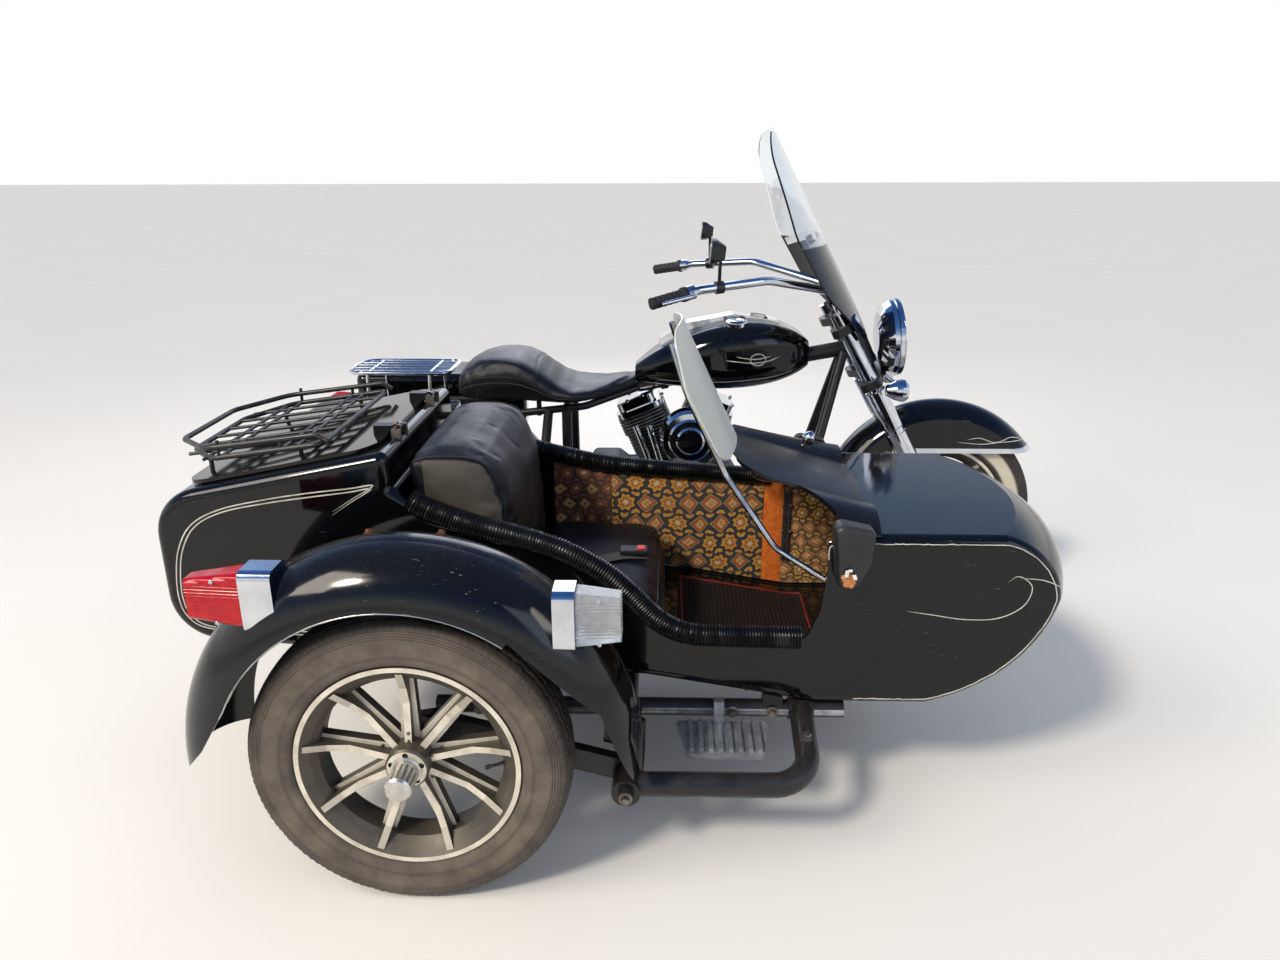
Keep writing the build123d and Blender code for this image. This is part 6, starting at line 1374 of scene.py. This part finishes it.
class RiderSeat(bpy.types.Operator):
    """Builds the leather saddle: filled by cloth simulation, with welts, stitches and a pleat behind the rider"""

    bl_idname = "sidecar.rider_seat"
    bl_label = "Rider's seat"

    def execute(self, context):
        shape = Shape()
        first, last = SADDLE[0][0], SADDLE[-1][0]
        shape.loft([saddle_ring(first + (last - first) * k / 82, shrink=3) for k in range(83)])
        seat = to_object(shape, "saddle", "seat_leather")
        inflate(seat, cap=5, pressure=3.0, voxel=5)
        soften(seat, 6)
        for vertex in seat.data.vertices:
            place = vertex.co / MM + ORIGIN
            if place.z > 745:
                pleat = 300 + 18 * (place.y / 160) ** 2
                vertex.co.z -= 3.5 * MM * math.exp(-((place.x - pleat) / 5) ** 2)
        cover(seat, "seat_leather")
        settle(seat, "chassis", ["rider_seat"])
        tree = mesh_tree(seat)
        radius = context.scene.sidecar_sizes.piping / MM / 2
        for side, word in ((-1, "right"), (1, "left")):
            welt(f"saddle_welt_{word}", tree, seam_line(58, 612, side, 0.12), radius, "seat_leather", "chassis",
                 loop=False)
            stitches(f"saddle_stitches_{word}", tree, seam_line(64, 606, side, 0.34), 7, "grey_thread", "chassis")
        return {"FINISHED"}


# Lamps

HEADLAMP_CENTRE = Vector((1436, 0, 893))
HEADLAMP_TILT = 4  # degrees upward
# radius of each rolled ring, and how far ahead of the headlamp's centre it lies
HEADLAMP_RINGS = ((119, 21), (112, 23.5))


def carved(node_name, name, finish_name, body, voxel, cut):
    """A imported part's own form with a pattern cut into its surface: cut takes a point in millimetres and the
    way that the surface faces, and gives a depth in millimetres."""
    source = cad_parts[node_name]
    made = bpy.data.objects.new(name, source.data.copy())
    bpy.context.scene.collection.objects.link(made)
    made.matrix_world = source.matrix_world.copy()
    remake(made, voxel)
    soften(made, 2)
    facing = [vertex.normal.copy() for vertex in made.data.vertices]
    for vertex, normal in zip(made.data.vertices, facing):
        vertex.co -= normal * cut(vertex.co / MM + ORIGIN, normal) * MM
    cover(made, finish_name)
    settle(made, body, [node_name])


def rings_along(axis, pitch, depth, square=0.4):
    """A cut of rings at a pitch along an axis, on what faces square to it."""
    def cut(point, normal):
        """The depth of the rings' pattern at a point."""
        wave = 0.5 - 0.5 * math.cos(math.tau * point[axis] / pitch)
        return depth * wave * max(0.0, 1 - abs(normal[axis]) / square)
    return cut


class LampLenses(bpy.types.Operator):
    """Builds the ribbed lenses, their screws and the headlamp's bright rims"""

    bl_idname = "sidecar.lamp_lenses"
    bl_label = "Lamp lenses"

    def execute(self, context):
        carved("front_marker_lens", "front_lens_ribs", "ribbed_acrylic", "chassis", 1.6,
               rings_along(2, 6.5, 1.7))
        carved("rear_marker_lens", "rear_lens_ribs", "red_acrylic", "chassis", 1.6,
               rings_along(2, 6.5, 1.7))
        carved("tail_lamp", "tail_lens_ribs", "red_acrylic", "chassis", 1.8, rings_along(1, 7, 1.2))
        shape = Shape()
        for x, z in ((600, 596), (600, 698), (-96, 632), (-96, 730)):
            screw(shape, (x, -1502, z + (8 if z < 660 else -8)), (0, -1, 0), 8)
        piece(shape, "marker_lens_screws", "chromium_plate", "chassis", smooth=30)
        shape = Shape()
        for radius, ahead in HEADLAMP_RINGS:
            self.rim(shape, radius, ahead)
        piece(shape, "headlamp_rims", "chromium_plate", "steering", smooth=50)
        return {"FINISHED"}

    def rim(self, shape, radius, ahead):
        """A rolled ring round the headlamp's lens."""
        tilt = math.radians(HEADLAMP_TILT)
        forward = Vector((math.cos(tilt), 0, math.sin(tilt)))
        up = Vector((-math.sin(tilt), 0, math.cos(tilt)))
        line = [HEADLAMP_CENTRE + forward * ahead + (up * math.cos(a) + Vector((0, 1, 0)) * math.sin(a)) * radius
                for a in turns(72)]
        shape.tube(line, 2.4, sides=10, loop=True)


# Fasteners and trim


class Fasteners(bpy.types.Operator):
    """Puts the bolts and screws on the chassis, body, fenders, wheels and engine"""

    bl_idname = "sidecar.fasteners"
    bl_label = "Fasteners"

    def execute(self, context):
        self.chassis()
        self.body()
        self.wheels()
        self.engine()
        return {"FINISHED"}

    def chassis(self):
        """Bolts of the sidecar's chassis and its clamps."""
        tree = surface_of("sidecar_chassis", "sidecar_suspension")
        shape = Shape()
        heads_on(bolt, shape, tree, [(640, -1380, 206), (430, -1250, 536), (1024, -1190, 262), (300, -1190, 262),
                                     (960, -1190, 262), (870, -1190, 262)], (0, 1, 0), 17)
        heads_on(bolt, shape, tree, [(430, -1250, 400), (470, -400, 256), (1100, -400, 256)], (0, 0, -1), 15)
        piece(shape, "chassis_bolts", "dull_steel", "chassis", smooth=30)

    def body(self):
        """Screws in the sidecar's sides, its fender's stays and the boot's hinges."""
        tub = surface_of("sidecar_tub")
        shape = Shape()
        heads_on(screw, shape, tub, [(x, -1190, z) for x, z in ((150, 640), (900, 318))], (0, 1, 0), 9)
        heads_on(screw, shape, tub, [(150, -580, 640)], (0, -1, 0), 9)
        fender = surface_of("sidecar_fender")
        heads_on(bolt, shape, fender, [(x, -1360, 760) for x in (150, 290)], (0, 0, -1), 12)
        hinges = surface_of("boot_hinges", "boot_lid")
        for y in (-1051, -719):
            heads_on(screw, shape, hinges, [(128, y + dy, 900) for dy in (-12, 0, 12)], (0, 0, -1), 8)
        piece(shape, "body_screws", "rusted_steel", "chassis", smooth=30)

    def wheels(self):
        """Two rings of bolts round each hub, and a valve with its cap."""
        for word, centre in (("sidecar", SIDECAR_AXLE), ("rear", REAR_AXLE), ("front", FRONT_AXLE)):
            body = f"{word}_wheel"
            tree = surface_of(body)
            shape = Shape()
            for a in turns(5, 0.3):
                for reach, size in ((62, 8), (46, 6)):
                    place = centre + Vector((reach * math.cos(a), 0, reach * math.sin(a)))
                    heads_on(screw, shape, tree, [place], (0, 1, 0), size, 140)
            piece(shape, f"{word}_hub_bolts", "dull_steel", body, smooth=30)
            valve = Shape()
            foot = centre + Vector((186, -30, 0))
            tip = foot + Vector((-26, -14, 0))
            valve.tube([foot, foot + Vector((-12, -8, 0)), tip], [4, 3.4, 3.4], sides=10)
            valve.turned([(0, 0), (4.6, 0), (4.6, 8), (3.4, 10), (0, 10)], tip, (-0.87, -0.5, 0), 12)
            piece(valve, f"{word}_valve", "nitrile_rubber", body, smooth=40)

    def engine(self):
        """Bolts on the rocker covers, screws round the side covers, and the spark plugs."""
        rockers = surface_of("rocker_covers")
        covers = surface_of("engine_side_covers")
        shape = Shape()
        for x in (590, 640, 700, 820, 880, 930):
            heads_on(bolt, shape, rockers, [(x, y, 760) for y in (-58, 58)], (0, 0, -1), 9)
        right = [(650 + 66 * math.cos(a), -120, 380 + 58 * math.sin(a)) for a in turns(7, 0.4)]
        heads_on(screw, shape, covers, right, (0, 1, 0), 8, 160)
        left = [(640 + 190 * math.cos(a), 170, 380 + 62 * math.sin(a)) for a in turns(12, 0.2)]
        heads_on(screw, shape, covers, left, (0, -1, 0), 8, 160)
        piece(shape, "engine_screws", "chromium_plate", "chassis", smooth=30)
        shape = Shape()
        for x, lean in ((640, -0.38), (880, 0.38)):
            base = Vector((x, -66, 560))
            out = Vector((lean * 0.4, -1, 0.25)).normalized()
            shape.turned([(0, 0), (9, 0), (9, 6), (6, 8), (5.4, 14), (6.4, 15), (5, 17), (6.4, 19), (5, 21), (4, 26),
                          (0, 28)], base, out, 14)
        piece(shape, "spark_plugs", "white_nylon", "chassis", smooth=40)


# the sidecar fender's rolled lip, from the wheel's middle
LIP_RADIUS = 354
LIP_Y = -96.5
# X and Z that lines over the nose's flat sides fan out from, and how near to flat still counts
NOSE_MIDDLE = (1180, 470)
FLAT_WITHIN = 1.2
# the socket that has lost its lamp, the lap belt's buckle and the tank's instrument
SOCKET_MIDDLE = Vector((1098, -1234, 613))
BUCKLE_MIDDLE = Vector((640, -890, 520))
DIAL_RADIUS = 27


class Trim(bpy.types.Operator):
    """Adds the fender's worn edge, the nose's pale edge of painted highlight and wear, the empty lamp socket's
    filler, the scuttle's small lamp, the lap belt, the grips' ribs, the mirrors' glass, the tank's gauge and caps,
    and the brake discs' holes in painted shade"""

    bl_idname = "sidecar.trim"
    bl_label = "Trim"

    def execute(self, context):
        self.fender_edge()
        self.nose_edge()
        self.socket()
        self.scuttle_lamp()
        self.lap_belt()
        carved("handlebar_grips", "grip_ribs", "nitrile_rubber", "steering", 1.6,
               rings_along(1, 9, 1.5, 3))
        self.mirror_glass()
        self.gauge()
        self.filler_caps()
        self.brake_discs()
        return {"FINISHED"}

    def fender_edge(self):
        """The thin bright line where the enamel has worn off the sidecar fender's rolled lip."""
        tree = surface_of("sidecar_fender")
        shape = Shape()
        line = []
        for k in range(120):
            a = math.radians(186 - 192 * k / 119)
            place = SIDECAR_AXLE + Vector((LIP_RADIUS * math.cos(a), LIP_Y, LIP_RADIUS * math.sin(a)))
            near = tree.find_nearest(at(place))
            if near[0] is not None and near[3] < 5 * MM:
                line.append(near[0] / MM + ORIGIN)
        shape.tube(line, 1.7, sides=8)
        piece(shape, "fender_bright_edge", "pitted_chromium", "chassis", smooth=60)

    def nose_edge(self):
        """The pale line along the edge of the nose's flat sides: a painted highlight along the edge, and partly
        enamel worn there.
        """
        tree = surface_of("sidecar_tub")
        shape = Shape()
        x, z = NOSE_MIDDLE
        for (direction, start), flat in zip(both_sides(-1300, -450), (BODY_OUTER_Y, BODY_INNER_Y)):
            line = []
            for k in range(121):
                a = math.radians(125 - 230 * k / 120)
                edge = None
                for step in range(60, 560, 2):
                    hit = onto(tree, (x + step * math.cos(a), start, z + step * math.sin(a)), direction, 0.2)
                    if hit is None or abs(hit[0].y - flat) > FLAT_WITHIN:
                        break
                    edge = hit[0]
                if edge and (not line or (edge - line[-1]).length < 60):
                    line.append(edge)
            shape.tube(line, 1.1, sides=8)
        # the pale tubes paint the edge's highlight, partly with worn enamel
        piece(shape, "nose_highlight_and_wear_edge", "stripe_paint", "chassis", smooth=60)

    def socket(self):
        """Torn filler and white tabs in the empty lamp socket."""
        shape = Shape()
        for k in range(11):
            a = k * 2.4
            reach = 13 * math.sqrt((k + 0.5) / 11)
            place = SOCKET_MIDDLE + Vector((reach * math.cos(a), 2 - reach * 0.15, 1.15 * reach * math.sin(a)))
            profile = [(0, -6), (5.5, -5), (6.5 + k % 3, 0), (4 + k % 2, 3.5), (0, 4.5)]
            shape.turned(profile, place, (0.2 * math.cos(a), -1, 0.2 * math.sin(a)), 9)
        piece(shape, "socket_filler", "body_filler", "chassis", smooth=20)
        shape = Shape()
        for x, z, lean, tall in ((1092, 622, -2, 15), (1106, 617, 3, 10), (1098, 634, 0, 5)):
            shape.plate([(x - 4, -1241, z + tall), (x + 4, -1241, z + tall), (x + 4 + lean, -1243, z),
                         (x - 4 + lean, -1243, z)], 2.2, (0, 1, 0), bevel=0.6)
        piece(shape, "socket_tabs", "white_nylon", "chassis", smooth=30)

    def scuttle_lamp(self):
        """A small bright lamp on its stalk, at the scuttle's inner corner."""
        foot = met(surface_of("cockpit_cowl"), (1090, -680, 900), (0, 0, -1))[0]
        head = foot + Vector((0, 0, 14))
        shape = Shape()
        shape.turned([(0, -22), (9, -20), (15, -10), (17, 0), (17, 4), (14, 7), (0, 8)], head, (1, 0, 0.1), 28)
        shape.tube([foot - Vector((0, 0, 2)), head], 4, sides=10)
        piece(shape, "scuttle_lamp", "chromium_plate", "chassis", smooth=50)

    def lap_belt(self):
        """The lap belt across the cushion, with its buckle and red button."""
        shape = Shape()
        line = curve_through([(470, -1060, 516), (520, -1000, 520), (560, -940, 521), (610, -905, 518),
                              (668, -880, 508)], 8)
        rings = []
        thick = Vector((0, 0, 1.6))
        for i, point in enumerate(line):
            ahead = (line[min(i + 1, len(line) - 1)] - line[max(i - 1, 0)]).normalized()
            side = ahead.cross(Vector((0, 0, 1))).normalized()
            rings.append([point + side * 23, point + side * 23 + thick, point - side * 23 + thick,
                          point - side * 23])
        shape.loft(rings)
        piece(shape, "lap_belt", "strap_webbing", "chassis", smooth=40)
        for name, finish_name, corners, bend, height, thickness, bevel in (
                ("belt_buckle", "lamp_abs", [(-34, -18), (34, -18), (34, 18), (-34, 18)], 8, 0, 13, 2),
                ("buckle_button", "red_button", [(8, -12), (28, -12), (28, 12), (8, 12)], 3, 12, 4, 1)):
            outline = [BUCKLE_MIDDLE + Vector((p.x, p.y, height)) for p in rounded_loop(corners, bend)]
            shape = Shape()
            shape.plate(outline, thickness, (0, 0, 1), bevel)
            piece(shape, name, finish_name, "chassis", smooth=40)

    def mirror_glass(self):
        """A silvered plate set in the rear face of each mirror, as far as the face reaches."""
        tree = surface_of("mirrors")
        shape = Shape()
        for middle_y in (-372, 372):
            hits = [onto(tree, (700, middle_y + 38 * math.cos(a), 1192 + 24 * math.sin(a)), (1, 0, 0), 0.6)
                    for a in turns(40)]
            shape.plate([hit[0] for hit in hits if hit], 2, (1, 0, 0), bevel=0.4)
        piece(shape, "mirror_glass", "mirror_glass", "steering", smooth=30)

    def gauge(self):
        """The round instrument on the tank's console: its rim, its dial, and the marks and hand on it."""
        middle, normal = met(surface_of("tank_console"), (1010, 0, 1100), (0, 0, -1))
        if normal.z < 0:
            normal = -normal
        bezel = Shape()
        bezel.turned([(DIAL_RADIUS, -1), (31, -1), (31, 3), (29, 4.5), (DIAL_RADIUS, 3)], middle, normal, 48)
        piece(bezel, "gauge_bezel", "chromium_plate", "chassis", smooth=40)
        dial = Shape()
        dial.turned([(0, 0), (DIAL_RADIUS, 0), (DIAL_RADIUS, 1.4), (0, 1.6)], middle, normal, 48)
        piece(dial, "gauge_dial", "dial_face", "chassis", smooth=30)
        marks = Shape()
        side = normal.orthogonal().normalized()
        up = normal.cross(side)
        base = middle + normal * 1.7
        for k, a in enumerate(turns(24)):
            out = side * math.cos(a) + up * math.sin(a)
            length = 5 if k % 3 == 0 else 3
            marks.tube([base + out * (25 - length), base + out * 25], 0.45, sides=6)
        base = middle + normal * 2.2
        marks.tube([base - side * 3, base + (side + up).normalized() * 19], 0.6, sides=6)
        piece(marks, "gauge_marks", "nitrile_rubber", "chassis", smooth=40)

    def filler_caps(self):
        """The knurled edges and raised tops of the two filler caps."""
        tree = surface_of("tank_console")
        shape = Shape()
        for y in (-84, 84):
            top = met(tree, (935, y, 1100), (0, 0, -1))[0]
            for a in turns(40):
                base = top + Vector((math.cos(a), math.sin(a), 0)) * 33.4
                shape.tube([base - Vector((0, 0, 9)), base - Vector((0, 0, 1))], 1.1, sides=6)
            shape.turned([(0, 0), (24, 0), (22, 1.6), (12, 2.4), (0, 2.6)], top, (0, 0, 1), 40)
        piece(shape, "filler_cap_edges", "chromium_plate", "chassis", smooth=40)

    def brake_discs(self):
        """Rows of dark discs on the front brake discs' faces: painted shade that stands for drilled holes."""
        tree = surface_of("front_wheel")
        shape = Shape()
        for side in (-1, 1):
            for row, reach in enumerate((118, 130, 142)):
                for a in turns(24, row * 0.09):
                    place = FRONT_AXLE + Vector((reach * math.cos(a), 0, reach * math.sin(a)))
                    face = met(tree, place + Vector((0, side * 75, 0)), (0, -side, 0))[0]
                    # a flat dark disc on the face: painted shade where a hole would be
                    shape.turned([(0, -0.6), (3.4, -0.6), (3.4, 0.3), (0, 0.2)], face, (0, side, 0), 12)
        piece(shape, "disc_hole_shades", "neoprene_belt", "front_wheel", smooth=30)


# Stage

# the camera that took the photograph: its place, its turn in degrees, and its focal length in pixels
CAMERA_PLACE = (720, -2990, 1435)
CAMERA_YAW = 1.75
CAMERA_PITCH = 19.05
CAMERA_ROLL = -0.2
FOCAL_PIXELS = 928
IMAGE_WIDTH = 1280
SENSOR = 36  # millimetres across

# place in metres, aimed at, size, watts, colour
LAMPS = (
    ((-3.2, -2.4, 3.4), (0, 0, 0.4), 1.8, 85, "#FFF4E2"),
    ((2.8, -3.2, 2.6), (0.2, 0, 0.5), 2.2, 22, "#EAF1FF"),
    ((-0.6, 3.6, 2.4), (0, 0, 0.6), 2.0, 30, "#F4F6FF"),
)
# the main light: where it comes from, how wide it is in degrees, its strength and colour
SUN_FROM = (-1.1, -1.2, 1.45)
SUN_WIDTH = 9
SUN_STRENGTH = 2.1
SUN_COLOUR = "#FFF3E0"
# the light from all round, and the sky that only reflections and the camera see, from the ground up
FILL_COLOUR = "#E3EAF6"
FILL_STRENGTH = 0.62
SKY = [(0.0, "#FFFFFF"), (0.17, "#FFFFFF"), (0.34, "#9CB9E4"), (0.6, "#4F78B8"), (1.0, "#355C99")]
FLOOR_REACH = 60  # metres from the middle of the backdrop to its edges


def aim(yaw, pitch, roll):
    """A camera's turn: yaw to the left of straight ahead, pitch downward."""
    y, p, r = (math.radians(a) for a in (yaw, pitch, roll))
    flat = Vector((-math.sin(y), math.cos(y), 0))
    right = Vector((math.cos(y), math.sin(y), 0))
    rise = Vector((0, 0, 1))
    forward = flat * math.cos(p) - rise * math.sin(p)
    up = rise * math.cos(p) + flat * math.sin(p)
    tilted = right * math.cos(r) + up * math.sin(r)
    over = up * math.cos(r) - right * math.sin(r)
    return Matrix((tilted, over, -forward)).transposed()


class Stage(bpy.types.Operator):
    """Sets the floor, the lamps, the background and the camera"""

    bl_idname = "sidecar.stage"
    bl_label = "Stage"

    def execute(self, context):
        scene = context.scene
        lens = bpy.data.cameras.new("camera")
        lens.sensor_width = SENSOR
        lens.lens = FOCAL_PIXELS * SENSOR / IMAGE_WIDTH
        camera = bpy.data.objects.new("camera", lens)
        camera.matrix_world = Matrix.Translation(at(CAMERA_PLACE)) @ aim(
            CAMERA_YAW, CAMERA_PITCH, CAMERA_ROLL).to_4x4()
        scene.collection.objects.link(camera)
        scene.camera = camera
        for number, (place, target, size, power, colour) in enumerate(LAMPS):
            softbox = self.light(scene, f"softbox_{number}", "AREA", place, Vector(place) - Vector(target), power,
                                 colour)
            softbox.size = size
        sun = self.light(scene, "sun", "SUN", (0, 0, 0), Vector(SUN_FROM), SUN_STRENGTH, SUN_COLOUR)
        sun.angle = math.radians(SUN_WIDTH)
        self.floor(scene)
        self.background(scene)
        scene.view_settings.view_transform = "Standard"
        return {"FINISHED"}

    def light(self, scene, name, kind, place, back, power, colour):
        """A lamp at a place, with its back turned to a direction."""
        light = bpy.data.lights.new(name, kind)
        light.energy = power
        light.color = linear(colour)[:3]
        holder = bpy.data.objects.new(name, light)
        holder.matrix_world = Matrix.Translation(place) @ back.to_track_quat("Z", "Y").to_matrix().to_4x4()
        scene.collection.objects.link(holder)
        return light

    def floor(self, scene):
        """The backdrop that the motorcycle stands on."""
        mesh = bpy.data.meshes.new("studio_floor")
        reach = FLOOR_REACH
        mesh.from_pydata([(-reach, -reach, 0), (reach, -reach, 0), (reach, reach, 0), (-reach, reach, 0)], [],
                         [(0, 1, 2, 3)])
        made, tree, shader, place = new_material("matt_backdrop_paper")
        cloud = node(tree, "TexNoise", place, put={"Scale": 1.2, "Detail": 2.0})
        plug(tree, shader, colour=node(tree, "MixRGB", cloud, linear("#E9E8E6"), linear("#E4E3E1")), rough=0.9)
        mesh.materials.append(made)
        floor = bpy.data.objects.new("studio_floor", mesh)
        scene.collection.objects.link(floor)

    def background(self, scene):
        """A sky for the camera and for reflections, and an even light for everything else."""
        world = bpy.data.worlds.new("studio")
        world.use_nodes = True
        tree = world.node_tree
        tree.nodes.clear()
        path = node(tree, "LightPath", out=None)
        seen = node(tree, "Math", path.outputs["Is Camera Ray"], path.outputs["Is Glossy Ray"], operation="MAXIMUM")
        seen = node(tree, "Math", seen, path.outputs["Is Transmission Ray"], operation="MAXIMUM")
        soft = node(tree, "Background", linear(FILL_COLOUR), FILL_STRENGTH)
        rise = node(tree, "SeparateXYZ", node(tree, "TexCoord", out="Generated"), out=2)
        plain = node(tree, "Background", node(tree, "ValToRGB", rise, ramp=SKY), 1.0)
        node(tree, "OutputWorld", node(tree, "MixShader", seen, soft, plain), out=None)
        scene.world = world


class SidecarPanel(bpy.types.Panel):
    """Lists the pieces and the sizes and colours that they take"""

    bl_idname = "SIDECAR_PT_pieces"
    bl_label = "Sidecar motorcycle"
    bl_space_type = "VIEW_3D"
    bl_region_type = "UI"
    bl_category = "Sidecar"

    def draw(self, context):
        for group in (context.scene.sidecar_sizes, context.scene.sidecar_colours):
            for key in group.bl_rna.properties.keys():
                if key not in ("rna_type", "name"):
                    self.layout.prop(group, key)
        for operator in OPERATORS:
            self.layout.operator(operator.bl_idname)


OPERATORS = (PaintParts, Tyres, Pinstripes, CockpitHoses, PassengerSeat, FloorMat, Carpets, RiderSeat, LampLenses,
             Fasteners, Trim, Stage)
GROUPS = (SidecarSizes, SidecarColours)


def register():
    """Adds the groups, the operators and the panel to Blender."""
    for cls in (*GROUPS, *OPERATORS, SidecarPanel):
        bpy.utils.register_class(cls)
    bpy.types.Scene.sidecar_sizes = bpy.props.PointerProperty(type=SidecarSizes)
    bpy.types.Scene.sidecar_colours = bpy.props.PointerProperty(type=SidecarColours)


def unregister():
    """Takes them out again."""
    del bpy.types.Scene.sidecar_colours
    del bpy.types.Scene.sidecar_sizes
    for cls in reversed((*GROUPS, *OPERATORS, SidecarPanel)):
        bpy.utils.unregister_class(cls)


def main():
    """Registers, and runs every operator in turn."""
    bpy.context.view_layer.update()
    register()
    for operator in OPERATORS:
        group, name = operator.bl_idname.split(".")
        getattr(getattr(bpy.ops, group), name)()


if __name__ == "__main__":
    main()
